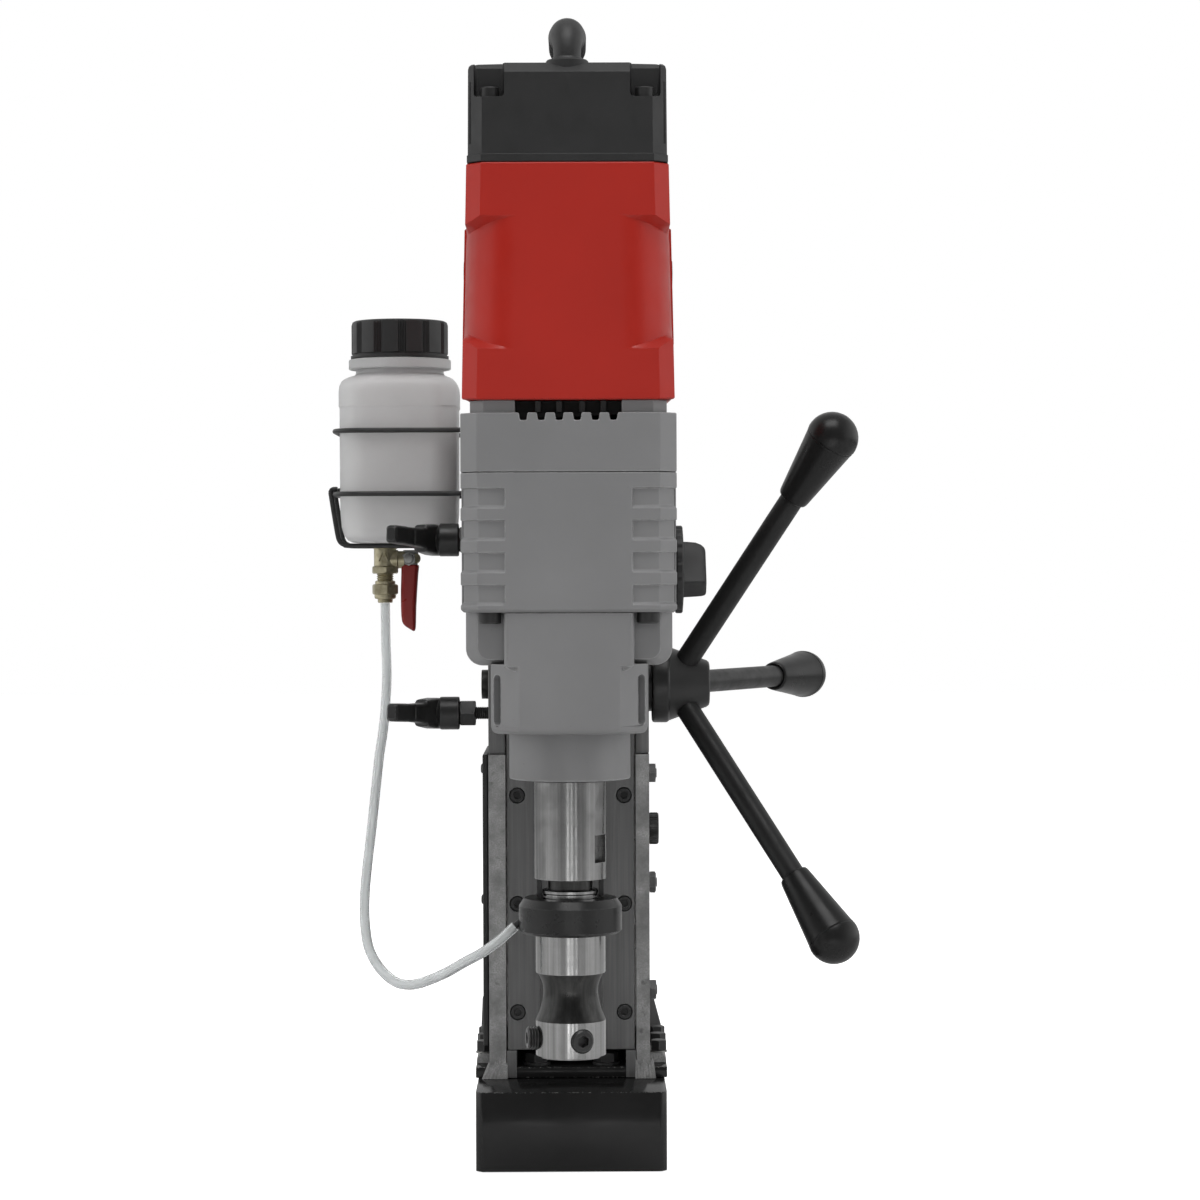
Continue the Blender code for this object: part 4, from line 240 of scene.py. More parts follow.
def phosphated():
    """Dark phosphated steel with faint vertical rubbing from the slide's travel."""
    made = Finish("phosphated_steel", (0.112, 0.112, 0.112), 0.46, 0.30)
    streaks = made.noise(700.0, 4.0, (1.0, 1.0, 0.02))
    made.vary_colour(made.spread(streaks, 0.3, 0.7), 0.86, 1.14)
    pale_edges = made.broken_edges(0.0009, 260.0, 4.0, 0.40, 0.64)
    made.cover(pale_edges, (0.30, 0.30, 0.30), 0.6)
    made.vary_roughness(made.noise(80.0, 4.0), 0.38, 0.56)
    made.bump(streaks, 0.00002, 0.4)
    made.bump(made.noise(1600.0, 2.0), 0.00002, 0.5)
    return made.material


def rough_plate():
    """Flame-cut and shot-blasted plate: mottled, pitted and pale, with darker oxide patches."""
    made = Finish("rough_plate", (0.290, 0.290, 0.288), 0.62, 0.25)
    patches = made.spread(made.noise(75.0, 6.0, sharp=0.65), 0.34, 0.62)
    speckle = made.spread(made.noise(1100.0, 4.0, sharp=0.7), 0.30, 0.70)
    made.vary_colour(made.combine("MULTIPLY", patches, speckle), 0.55, 1.45)
    dark = made.spread(made.noise(160.0, 4.0), 0.66, 0.74, 0.0, 0.7)
    made.cover(dark, (0.070, 0.070, 0.069))
    made.vary_roughness(speckle, 0.52, 0.74)
    made.bump(made.noise(520.0, 5.0, sharp=0.65), 0.00022, 0.55)
    return made.material


def turned_steel(name, colour, roughness):
    """Lathe-turned steel with its axis upright: fine rings, a little stain, and long upright streaks of
    painted reflection.
    """
    made = Finish(name, colour, roughness, 1.0)
    rings = made.noise(9000.0, 2.0, (0.002, 0.002, 1.0))
    stain = made.spread(made.noise(160.0, 6.0, sharp=0.65), 0.66, 0.78, 0.0, 0.40)
    # Long upright streaks in the colour: painted reflection, standing in for the bright and dark bands the
    # steel mirrors.
    streaks = made.noise(330.0, 3.0, (1.0, 1.0, 0.006), 0.6)
    fine = made.combine("MULTIPLY", made.spread(rings, 0.3, 0.7), 0.2)
    reflection_streaks = made.combine("MULTIPLY", made.spread(streaks, 0.32, 0.68), 0.8)
    made.vary_colour(made.combine("ADD", fine, reflection_streaks), 0.62, 1.25)
    made.cover(stain, [channel * 0.55 for channel in colour])
    made.vary_roughness(made.noise(130.0, 3.0), roughness - 0.05, roughness + 0.09)
    made.bump(rings, 0.000012, 0.5)
    return made.material


def ground_steel(name, colour, roughness, stretch=(1.0, 1.0, 0.03), metallic=1.0):
    """Ground or drawn metal with a lay of fine lines."""
    made = Finish(name, colour, roughness, metallic)
    lines = made.noise(1800.0, 3.0, stretch)
    made.vary_colour(made.spread(lines, 0.3, 0.7), 0.85, 1.12)
    stain = made.spread(made.noise(120.0, 5.0), 0.58, 0.78, 0.0, 0.6)
    made.cover(stain, [channel * 0.5 for channel in colour])
    made.vary_roughness(made.noise(150.0, 3.0), roughness - 0.06, roughness + 0.12)
    made.bump(lines, 0.00002, 0.4)
    return made.material


def dull_brass():
    made = Finish("dull_brass", (0.40, 0.36, 0.25), 0.36, 0.8)
    tarnish = made.spread(made.noise(190.0, 5.0, sharp=0.6), 0.42, 0.70)
    made.paint(made.blend(tarnish, (0.46, 0.42, 0.29), (0.25, 0.22, 0.14)))
    made.vary_roughness(made.noise(260.0, 3.0), 0.28, 0.50)
    made.bump(made.noise(900.0, 3.0), 0.00004, 0.45)
    return made.material


def milky_plastic():
    """Blow-moulded translucent bottle wall, a little uneven and cloudy."""
    made = Finish("milky_plastic", (0.565, 0.565, 0.565), 0.42, shine=0.35)
    made.vary_colour(made.clouds(22.0), 0.94, 1.05)
    specks = made.spread(made.noise(420.0, 2.0), 0.77, 0.80, 0.0, 0.35)
    made.cover(specks, (0.28, 0.28, 0.27))
    made.shader.inputs["Subsurface Weight"].default_value = 0.85
    made.shader.inputs["Subsurface Radius"].default_value = (1.0, 1.0, 1.0)
    made.shader.inputs["Subsurface Scale"].default_value = 0.030
    made.shader.inputs["Transmission Weight"].default_value = 0.25
    made.vary_roughness(made.noise(70.0, 3.0), 0.36, 0.52)
    made.bump(made.noise(130.0, 3.0), 0.00016, 0.35)
    return made.material


def clear_vinyl():
    """Soft clear tube with a slight haze and small bubbles on the wall."""
    made = Finish("clear_vinyl", (0.86, 0.88, 0.88), 0.16)
    made.vary_colour(made.clouds(60.0), 0.93, 1.02)
    bubbles = made.spread(made.cells(240.0), 0.10, 0.02)
    made.cover(bubbles, (0.45, 0.46, 0.46), 0.5)
    made.shader.inputs["Transmission Weight"].default_value = 0.72
    made.shader.inputs["IOR"].default_value = 1.38
    made.vary_roughness(made.noise(110.0, 3.0), 0.10, 0.26)
    made.bump(bubbles, 0.00010, 0.5)
    return made.material


def winding():
    """Varnished copper wire, seen only with the machine open."""
    made = Finish("varnished_copper", (0.42, 0.19, 0.09), 0.34, 0.8)
    strands = made.noise(2400.0, 2.0, (1.0, 1.0, 0.08))
    made.vary_colour(made.spread(strands, 0.3, 0.7), 0.6, 1.25)
    made.bump(strands, 0.00010, 0.7)
    return made.material


def potting():
    """Dark casting resin over the magnet's coil."""
    made = Finish("potting_resin", (0.035, 0.032, 0.030), 0.40)
    made.vary_colour(made.clouds(50.0), 0.75, 1.3)
    made.bump(made.noise(240.0, 3.0), 0.00010, 0.4)
    return made.material


def circuit_lacquer():
    made = Finish("circuit_lacquer", (0.02, 0.12, 0.045), 0.38)
    tracks = made.spread(made.noise(420.0, 0.0, (1.0, 1.0, 0.1)), 0.52, 0.56)
    made.paint(made.blend(tracks, (0.015, 0.10, 0.035), (0.04, 0.19, 0.08)))
    made.bump(tracks, 0.00005, 0.5)
    return made.material


BLACK_PAINT = gloss_paint()
RED = moulded("red_moulding", (0.332, 0.0135, 0.0070), 0.36, flecks=0.25, shine=0.30)
BLACK_MOULDING = moulded("black_moulding", (0.0118, 0.0118, 0.0120), 0.50, grain=0.00005, flecks=0.35,
                         shine=0.48)
BLACK_GLOSS = moulded("black_phenolic", (0.0100, 0.0100, 0.0100), 0.30, grain=0.000006, flecks=0.05,
                      shine=0.25)
DARK_RED = moulded("dark_red_sleeve", (0.19, 0.014, 0.012), 0.30, grain=0.00003, grain_scale=500.0)
SATIN_BLACK = satin_black("satin_black_steel")
OXIDE = satin_black("black_oxide", (0.024, 0.024, 0.024), 0.40, 0.3)
RING_BLACK = satin_black("ring_black", (0.0115, 0.0115, 0.0115), 0.30, shine=0.34)
SCREW_STEEL = satin_black("screw_steel", (0.036, 0.036, 0.036), 0.32, 0.5)
SPOKE_BLACK = satin_black("spoke_black", (0.0115, 0.0115, 0.0115), 0.44, shine=0.30)
GREY = cast_grey()
PHOSPHATE = phosphated()
PLATE = rough_plate()
STEEL = turned_steel("turned_steel", (0.325, 0.325, 0.323), 0.16)
DARK_TURNED = turned_steel("dark_turned_steel", (0.058, 0.058, 0.057), 0.30)
GROUND = ground_steel("ground_steel", (0.46, 0.46, 0.455), 0.30)
ZINC = ground_steel("zinc_plate", (0.30, 0.30, 0.29), 0.40, (1.0, 1.0, 1.0), 0.8)
BRASS = dull_brass()
BRONZE = ground_steel("oiled_bronze", (0.30, 0.19, 0.09), 0.36)
MILKY = milky_plastic()
VINYL = clear_vinyl()
COPPER = winding()
RESIN = potting()
BOARD = circuit_lacquer()
SHADOW_BLACK = moulded("unlit_cavity", (0.013, 0.013, 0.013), 0.80)


# Shapes: every builder adds to a bmesh, in metres, in the part's own frame

UP = (0.0, 0.0, 1.0)
DOWN = (0.0, 0.0, -1.0)
LEFT = (-1.0, 0.0, 0.0)
RIGHT = (1.0, 0.0, 0.0)
FRONT = (0.0, -1.0, 0.0)
BACK = (0.0, 1.0, 0.0)
SIDES = (-1, 1)
CORNERS = ((-1, -1), (-1, 1), (1, -1), (1, 1))
HEAD_SIDES = 24
SORT_AXIS = Vector((0.5774, 0.2113, 0.7887))


def turn_to(origin, axis=UP, spin=0.0):
    """A matrix that takes the Z axis to another axis, from another origin."""
    lean = Vector(UP).rotation_difference(Vector(axis).normalized())
    return Matrix.Translation(origin) @ lean.to_matrix().to_4x4() @ Matrix.Rotation(spin, 4, "Z")


def circle(radius, height, sides):
    step = math.tau / sides
    return [(radius * math.cos(step * i), radius * math.sin(step * i), height) for i in range(sides)]


def hexagon(across, height=0.0):
    """Points on a hexagon of the given width across its flats, as many as a round head has."""
    points = []
    for i in range(HEAD_SIDES):
        angle = math.tau * i / HEAD_SIDES
        off = (angle + math.pi / 6) % (math.pi / 3) - math.pi / 6
        radius = across / 2 / math.cos(off)
        points.append((radius * math.cos(angle), radius * math.sin(angle), height))
    return points


def rounded(half_x, half_y, radius, height, steps, centre=(0.0, 0.0)):
    """A rectangle with rounded corners; with one step its corners are chamfered."""
    points = []
    for corner, (side_x, side_y) in enumerate(((1, 1), (-1, 1), (-1, -1), (1, -1))):
        for i in range(steps + 1):
            angle = math.pi / 2 * (corner + i / steps)
            points.append((centre[0] + side_x * (half_x - radius) + radius * math.cos(angle),
                           centre[1] + side_y * (half_y - radius) + radius * math.sin(angle), height))
    return points


def add_chain(shape, points, closed):
    """Vertices joined by edges, and back to the first one where the chain is closed."""
    verts = [shape.verts.new(point) for point in points]
    edges = [shape.edges.new(pair) for pair in zip(verts, verts[1:] + (verts[:1] if closed else []))]
    return verts, edges


def put_in_order(shape):
    """Sort a shape's elements by their places, because operators don't list them alike in each run."""
    shape.verts.sort(key=lambda vert: vert.co.dot(SORT_AXIS))
    shape.edges.sort(key=lambda edge: sum(vert.co.dot(SORT_AXIS) for vert in edge.verts))
    shape.faces.sort(key=lambda face: face.calc_center_median().dot(SORT_AXIS))


def settle(shape, old, finish):
    """Give a finish to what was added to the old faces, close its open ends and turn it outwards."""
    for face in shape.faces:
        if face not in old:
            face.material_index = finish
    put_in_order(shape)
    ends = [edge for edge in shape.edges if edge.is_boundary]
    if ends:
        bmesh.ops.edgeloop_fill(shape, edges=ends, mat_nr=finish)
    bmesh.ops.recalc_face_normals(shape, faces=shape.faces)


def add_loft(shape, rings, place=Matrix.Identity(4), closed=False, finish=0):
    """A skin drawn out from ring to ring, closed at its ends or round on itself.

    All rings have equally many points.
    """
    old = set(shape.faces)
    rings = list(rings)
    first, edges = add_chain(shape, [place @ Vector(point) for point in rings[0]], True)
    verts = first
    for ring in rings[1:] + (rings[:1] if closed else []):
        made = bmesh.ops.extrude_edge_only(shape, edges=edges)["geom"]
        fresh = {item for item in made if isinstance(item, bmesh.types.BMVert)}
        edges = [item for item in made
                 if isinstance(item, bmesh.types.BMEdge) and fresh.issuperset(item.verts)]
        verts = [next(edge.other_vert(vert) for edge in vert.link_edges if edge.other_vert(vert) in fresh)
                 for vert in verts]
        for vert, point in zip(verts, ring):
            vert.co = place @ Vector(point)
    if closed:
        bmesh.ops.weld_verts(shape, targetmap=dict(zip(verts, first)))
    settle(shape, old, finish)


def add_lathe(shape, profile, place, sides, closed=False, finish=0):
    """A turned piece from (radius, height) pairs, solid to its axis unless it is closed round a bore."""
    old = set(shape.faces)
    points = [place @ Vector((radius, 0.0, height)) for radius, height in profile]
    verts, edges = add_chain(shape, points, closed)
    bmesh.ops.spin(shape, geom=verts + edges, cent=place.translation, axis=place.to_3x3() @ Vector(UP),
                   angle=math.tau, steps=sides, use_merge=True)
    settle(shape, old, finish)


def add_rod(shape, start, end, radius, sides, chamfer=0.0004):
    along = Vector(end) - Vector(start)
    profile = [(radius - chamfer, 0.0), (radius, chamfer), (radius, along.length - chamfer),
               (radius - chamfer, along.length)]
    add_lathe(shape, profile, turn_to(start, along), sides)


def add_block(shape, corner, opposite, edge, segments=2, finish=0):
    """A block between two opposite corners, with its edges rounded by a radius that may be zero."""
    old = set(shape.faces)
    size = [abs(b - a) for a, b in zip(corner, opposite)]
    place = Matrix.Translation((Vector(corner) + Vector(opposite)) / 2) @ Matrix.Diagonal((*size, 1.0))
    verts = bmesh.ops.create_cube(shape, size=1.0, matrix=place)["verts"]
    if edge:
        edges = list(dict.fromkeys(side for vert in verts for side in vert.link_edges))
        bmesh.ops.bevel(shape, geom=edges, offset=edge, affect="EDGES", segments=segments, profile=0.5,
                        material=-1)
    settle(shape, old, finish)


def add_prism(shape, outline, low, high, axis, finish=0):
    """An outline of (Y, Z) points pushed along X, or of (X, Z) points pushed along Y."""
    ends = []
    for level in (low, high):
        ends.append([(level, a, b) if axis == "X" else (a, level, b) for a, b in outline])
    add_loft(shape, ends, finish=finish)


def add_hex(shape, at, axis, across, height, spin=0.0):
    """A hexagon head or nut with the corners of both faces turned off."""
    nip = across * 0.06
    face = across * 0.47
    rings = [circle(face, 0.0, HEAD_SIDES)]
    for level, drop in ((nip, -1), (height - nip, 1)):
        rings.append([(x, y, level + drop * (nip * 0.75 - (math.hypot(x, y) - across / 2) * 0.58))
                      for x, y, _ in hexagon(across)])
    rings.append(circle(face, height, HEAD_SIDES))
    add_loft(shape, rings, turn_to(at, axis, spin))


def add_socket_head(shape, at, axis, profile, socket, top, floor, spin=0.0):
    """A screw head turned to a profile, with a hexagon socket that goes from its top down to its floor."""
    rings = [circle(radius, height, HEAD_SIDES) for radius, height in profile]
    add_loft(shape, rings + [hexagon(socket, top), hexagon(socket, floor)], turn_to(at, axis, spin))


def add_cap_screw(shape, at, axis, diameter, height, socket, spin=0.0):
    """A socket head seen from outside, standing on its seat."""
    radius, nip = diameter / 2, diameter * 0.05
    profile = [(radius, 0.0), (radius, height - nip), (radius - nip, height), (socket * 0.62, height)]
    add_socket_head(shape, at, axis, profile, socket, height - nip, height * 0.45, spin)


def add_button_screw(shape, at, axis, diameter):
    """A low round head with a hexagon socket."""
    radius = diameter / 2
    profile = [(radius * wide, radius * high) for wide, high in
               ((1.0, 0.0), (0.95, 0.28), (0.72, 0.52), (0.50, 0.60))]
    add_socket_head(shape, at, axis, profile, radius * 0.78, radius * 0.56, radius * 0.15)


def add_thread(shape, at, axis, length, radius, pitch):
    """A threaded rod, with each turn of the thread as a ring."""
    count = max(2, round(length / pitch))
    step = length / count
    root = radius * 0.86
    profile = [(root, 0.0)]
    for turn in range(count):
        profile += [(radius, step * (turn + 0.38)), (radius, step * (turn + 0.55)), (root, step * (turn + 1))]
    add_lathe(shape, profile, turn_to(at, axis), 32)


def smooth_path(points, step):
    """Even points on a smooth curve through the given ones."""
    knots = [Vector(point) for point in points]
    knots = [2 * knots[0] - knots[1]] + knots + [2 * knots[-1] - knots[-2]]
    fine = []
    pieces = 24
    for before, start, end, after in zip(knots, knots[1:], knots[2:], knots[3:]):
        for index in range(pieces):
            t = index / pieces
            square = (2 * before - 5 * start + 4 * end - after) * t ** 2
            cube = (3 * start - before - 3 * end + after) * t ** 3
            fine.append(0.5 * (2 * start + (end - before) * t + square + cube))
    fine.append(knots[-2])
    total = sum((b - a).length for a, b in zip(fine, fine[1:]))
    count = max(2, round(total / step))
    path = [fine[0]]
    travelled = 0.0
    for a, b in zip(fine, fine[1:]):
        span = (b - a).length
        while len(path) < count and travelled + span >= total * len(path) / count - 1e-12:
            share = (total * len(path) / count - travelled) / span
            path.append(a.lerp(b, share))
        travelled += span
    path.append(fine[-1])
    return path


def add_sweep(shape, path, radius, sides, bore=None):
    """A round wire or, with a bore, a tube along a path, without twist. The radius may be a list."""
    points = [Vector(point) for point in path]
    tangents = [(after - before).normalized()
                for before, after in zip(points[:1] + points[:-1], points[1:] + points[-1:])]
    side = tangents[0].orthogonal().normalized()
    frames = []
    for i, (point, tangent) in enumerate(zip(points, tangents)):
        if i:
            side = tangents[i - 1].rotation_difference(tangent) @ side
            side = (side - tangent * side.dot(tangent)).normalized()
        frames.append((point, side, tangent.cross(side)))

    def rings(size):
        sizes = size if isinstance(size, (list, tuple)) else [size] * len(points)
        return [[at + u * x + v * y for x, y, _ in circle(wide, 0.0, sides)]
                for (at, u, v), wide in zip(frames, sizes)]

    skin = rings(radius)
    if bore:
        skin += rings(bore)[::-1]
    add_loft(shape, skin, closed=bore is not None)


def ease(shape, width, segments=2, angle=30.0):
    """Round every edge that turns more than an angle."""
    edges = [edge for edge in shape.edges if len(edge.link_faces) == 2
             and edge.calc_face_angle(0.0) > math.radians(angle)]
    bmesh.ops.bevel(shape, geom=edges, offset=width, affect="EDGES", segments=segments, profile=0.5,
                    material=-1, clamp_overlap=True)


def carve(shape, cutter, operation="DIFFERENCE"):
    """The first shape less the second, or joined with it, as a new bmesh. Both are used up."""
    things = []
    for work in (shape, cutter):
        bmesh.ops.recalc_face_normals(work, faces=work.faces)
        mesh = bpy.data.meshes.new("carving")
        work.to_mesh(mesh)
        work.free()
        thing = bpy.data.objects.new("carving", mesh)
        bpy.context.scene.collection.objects.link(thing)
        things.append(thing)
    step = things[0].modifiers.new("carve", "BOOLEAN")
    step.operation = operation
    step.solver = "EXACT"
    step.use_self = True
    step.object = things[1]
    done = bpy.data.meshes.new_from_object(things[0].evaluated_get(bpy.context.evaluated_depsgraph_get()))
    carved = bmesh.new()
    carved.from_mesh(done)
    bmesh.ops.remove_doubles(carved, verts=carved.verts, dist=0.000005)
    bmesh.ops.dissolve_limit(carved, angle_limit=math.radians(0.5), verts=carved.verts, edges=carved.edges)
    meshes = [thing.data for thing in things] + [done]
    for thing in things:
        bpy.data.objects.remove(thing)
    for mesh in meshes:
        bpy.data.meshes.remove(mesh)
    return carved


def from_node(node):
    """A joined-up copy of a CAD node's mesh, to be worked on."""
    shape = bmesh.new()
    shape.from_mesh(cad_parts[node].data)
    bmesh.ops.remove_doubles(shape, verts=shape.verts, dist=0.00001)
    bmesh.ops.dissolve_limit(shape, angle_limit=math.radians(1.0), verts=shape.verts, edges=shape.edges)
    for face in shape.faces:
        face.material_index = 0
    return shape


def piece(name, shape, finishes, body, slot, *nodes, sharp=32.0):
    """A finished object from a bmesh, riding on its body in place of the nodes it stands for."""
    bmesh.ops.recalc_face_normals(shape, faces=shape.faces)
    mesh = bpy.data.meshes.new(name)
    shape.to_mesh(mesh)
    shape.free()
    for finish in finishes if isinstance(finishes, (list, tuple)) else [finishes]:
        mesh.materials.append(finish)
    for face in mesh.polygons:
        face.use_smooth = True
    mesh.set_sharp_from_angle(angle=math.radians(sharp))
    obj = bpy.data.objects.new(name, mesh)
    bpy.context.scene.collection.objects.link(obj)
    obj.modifiers.new("even_normals", "WEIGHTED_NORMAL").keep_sharp = True
    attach(obj, body)
    if nodes:
        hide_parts(*nodes)
    return obj


# The coolant hose, on the same route as its solid

HOSE_START = Vector((-0.113, 0.012, 0.3262))
HOSE_DIAMETER = 0.0058
HOSE_BORE = 0.0038
HOSE_STEP = 0.012
HOSE_ROUTE = ((0.0, 0.0, -0.0003), (0.0004, -0.002, -0.025), (0.0012, -0.007, -0.0452), (0.0, -0.017, -0.073),
              (-0.0022, -0.027, -0.0913), (-0.0052, -0.052, -0.1313), (-0.007, -0.082, -0.161),
              (-0.0066, -0.102, -0.1788), (-0.0042, -0.117, -0.1927), (-0.0004, -0.127, -0.2014),
              (0.0078, -0.138, -0.2102), (0.0186, -0.149, -0.2146), (0.0308, -0.158, -0.2116),
              (0.043, -0.164, -0.206), (0.0546, -0.1685, -0.199), (0.0648, -0.171, -0.1932),
              (0.0742, -0.172, -0.1862), (0.0821, -0.172, -0.179))


def build_hose():
    path = smooth_path([HOSE_START + Vector(point) for point in HOSE_ROUTE], HOSE_STEP)
    fine = smooth_path(path, HOSE_STEP / 4)
    shape = bmesh.new()
    add_sweep(shape, fine, HOSE_DIAMETER / 2, 20, bore=HOSE_BORE / 2)
    hose = piece("coolant_hose_tube", shape, VINYL, "carriage", "clear_vinyl", "coolant_hose")


build_hose()


# Motor: red housing, black top cover and carry handle

AXIS_Y = -0.160
AXIS = turn_to((0.0, AXIS_Y, 0.0))
HOUSING_LOW = 0.4380
HOUSING_HIGH = 0.5664
HOUSING_HALF_LOW = 0.05775
HOUSING_HALF_HIGH = 0.0550
HOUSING_CHAMFER = 0.0082
HOUSING_RISE = 0.0070
BARREL_RADIUS = 0.0290
BARREL_LOW = 0.4655
BARREL_HIGH = 0.5375
SCOOP = 0.0140
CHAMFER_ANGLE = math.degrees(math.atan(1 - HOUSING_CHAMFER / BARREL_RADIUS))
CORNER_ANGLES = sorted([5.0 * step for step in range(19) if step not in (7, 11)]
                       + [CHAMFER_ANGLE, 90.0 - CHAMFER_ANGLE])
PANEL_HALF = 0.0285
PANEL_PROUD = 0.0009
COVER_HALF = 0.0546
COVER_LOW = 0.5667
COVER_CHAMFER = 0.0078
COVER_BAND = 0.0041
COVER_SHELF = 0.6019
COVER_TOP = 0.6226
COVER_SLOPE = 0.0112
COVER_SLOT_X = 0.0529
POCKET_OUT = 0.0506
POCKET_IN = 0.0340
POCKET_DEPTH = 0.0120
COVER_SCREW_X = 0.0420
FINGER_HOLLOW = (0.0300, 0.0255, 0.6176)
HANDLE_SPAN = 0.038
HANDLE_BEND = 0.0120
GRIP_HEIGHT = 0.6390


def housing_ring(half, height, barrel=False, lift=0.0, rise=0.0):
    """The housing's outline with chamfered corners or with a barrel's round ones.

    A ring may be lifted round its corners towards the sides, and may rise towards the back.
    """
    width, power = (BARREL_RADIUS, 1.7) if barrel else (HOUSING_CHAMFER, 1.0)
    centre = half - BARREL_RADIUS
    points = []
    for corner in range(4):
        turn = Matrix.Rotation(math.pi / 2 * corner, 2)
        for angle in CORNER_ANGLES:
            c, s = math.cos(math.radians(angle)), math.sin(math.radians(angle))
            flat = min(BARREL_RADIUS / max(c, s), (2 * BARREL_RADIUS - HOUSING_CHAMFER) / (c + s))
            away = BARREL_RADIUS if barrel else flat
            x, y = turn @ Vector((centre + away * c, centre + away * s))
            share = min(1.0, max(0.0, (abs(x) - half + width) / width))
            points.append((x, AXIS_Y + y, height + lift * share ** power + rise * (y + half) / (2 * half)))
    return points


def housing_half(z):
    share = (z - HOUSING_LOW) / (HOUSING_HIGH - HOUSING_LOW)
    return HOUSING_HALF_LOW + (HOUSING_HALF_HIGH - HOUSING_HALF_LOW) * share


def build_housing():
    shape = bmesh.new()
    low, high = housing_half(BARREL_LOW), housing_half(BARREL_HIGH)
    add_loft(shape, [
        housing_ring(HOUSING_HALF_LOW - 0.0043, HOUSING_LOW),
        housing_ring(HOUSING_HALF_LOW - 0.0006, HOUSING_LOW, rise=HOUSING_RISE),
        housing_ring(HOUSING_HALF_LOW, HOUSING_LOW + 0.0007, rise=HOUSING_RISE),
        housing_ring(low, BARREL_LOW - 0.0008, lift=0.0058),
        housing_ring(low, BARREL_LOW, lift=0.0058),
        housing_ring(housing_half(BARREL_LOW + 0.001), BARREL_LOW + 0.0004, True, 0.0098),
        housing_ring(housing_half(BARREL_LOW + SCOOP), BARREL_LOW + SCOOP, True),
        housing_ring(housing_half(BARREL_HIGH - SCOOP), BARREL_HIGH - SCOOP, True),
        housing_ring(housing_half(BARREL_HIGH - 0.001), BARREL_HIGH - 0.0004, True, -0.0088),
        housing_ring(high, BARREL_HIGH, lift=-0.0042),
        housing_ring(high, BARREL_HIGH + 0.0008, lift=-0.0042),
        housing_ring(HOUSING_HALF_HIGH, HOUSING_HIGH - 0.0007),
        housing_ring(HOUSING_HALF_HIGH - 0.0006, HOUSING_HIGH)])
    for side in SIDES:
        panel = []
        for z, inset in ((0.4690, 0.0006), (0.4696, 0.0), (0.5324, 0.0), (0.5330, 0.0006)):
            out, root = side * (housing_half(z) + PANEL_PROUD - inset), side * (housing_half(z) - 0.0020)
            wide = PANEL_HALF - inset
            panel.append([(root, AXIS_Y - wide, z), (out, AXIS_Y - wide + 0.0006, z),
                          (out, AXIS_Y + wide - 0.0006, z), (root, AXIS_Y + wide, z)])
        add_loft(shape, panel)
    piece("motor_housing_shell", shape, RED, "carriage", "red_plastic", "motor_housing", sharp=24.0)


def chamfered(half, chamfer, z):
    return rounded(half, half, chamfer, z, 1, (0.0, AXIS_Y))


def build_top_cover():
    shape = bmesh.new()
    skirt = COVER_LOW + COVER_BAND
    add_loft(shape, [chamfered(COVER_HALF - inset, COVER_CHAMFER, z) for inset, z in (
        (0.0005, COVER_LOW), (0.0, COVER_LOW + 0.0005), (0.0, skirt), (0.0005, skirt + 0.0003),
        (0.0008, COVER_TOP - 0.0052), (0.0013, COVER_TOP - 0.0034), (0.0026, COVER_TOP - 0.0022),
        (0.0060, COVER_TOP - 0.0014), (0.0250, COVER_TOP - 0.0004), (0.0400, COVER_TOP))])
    pockets = bmesh.new()
    screws = bmesh.new()
    for side, end in CORNERS:
        face = AXIS_Y + end * COVER_HALF
        add_block(pockets, (side * POCKET_IN, face - end * POCKET_DEPTH, COVER_SHELF),
                  (side * POCKET_OUT, face + end * 0.010, COVER_TOP + 0.010), 0.0022, 3)
        slot = Vector((side * COVER_SLOT_X, face - end * (COVER_CHAMFER - 0.0024), 0.59375))
        half_slot = Vector((0.0007, 0.0022, 0.01675))
        add_block(pockets, slot - half_slot, slot + half_slot, 0.0)
        seat = (side * COVER_SCREW_X, face - end * 0.0072, COVER_SHELF)
        add_cap_screw(screws, seat, UP, 0.0102, 0.0056, 0.0050)
    shape = carve(shape, pockets)
    slopes = bmesh.new()
    wide, deep, floor = FINGER_HOLLOW
    add_block(slopes, (-wide, AXIS_Y - deep, floor), (wide, AXIS_Y + deep, 0.6400), 0.0030, 3)
    for end in SIDES:
        face = AXIS_Y + end * COVER_HALF
        crest, outside = face - end * COVER_SLOPE, face + end * 0.004
        add_prism(slopes, [(outside, 0.6116), (crest, 0.6230), (crest, 0.6330), (outside, 0.6330)],
                  -POCKET_IN - 0.0008, POCKET_IN + 0.0008, "X")
        near, back = face - end * 0.0110, face - end * POCKET_DEPTH
        outline = [(near, 0.6186), (back, 0.6186), (back - end * 0.0050, 0.6232), (near, 0.6232)]
        for side in SIDES:
            add_prism(slopes, outline, side * (POCKET_IN + 0.0009), side * (POCKET_OUT - 0.0004), "X")
    shape = carve(shape, slopes)
    ease(shape, 0.0007, 2, 38.0)
    for end in SIDES:
        seam = AXIS_Y + end * (COVER_HALF - 0.0011)
        add_rod(shape, (0.0, seam, 0.5740), (0.0, seam, 0.6110), 0.00040, 8, 0.0001)
    piece("motor_top_cover", shape, BLACK_MOULDING, "carriage", "black_plastic", "top_cover", sharp=30.0)
    piece("top_cover_screws", screws, OXIDE, "carriage", "black_oxide")


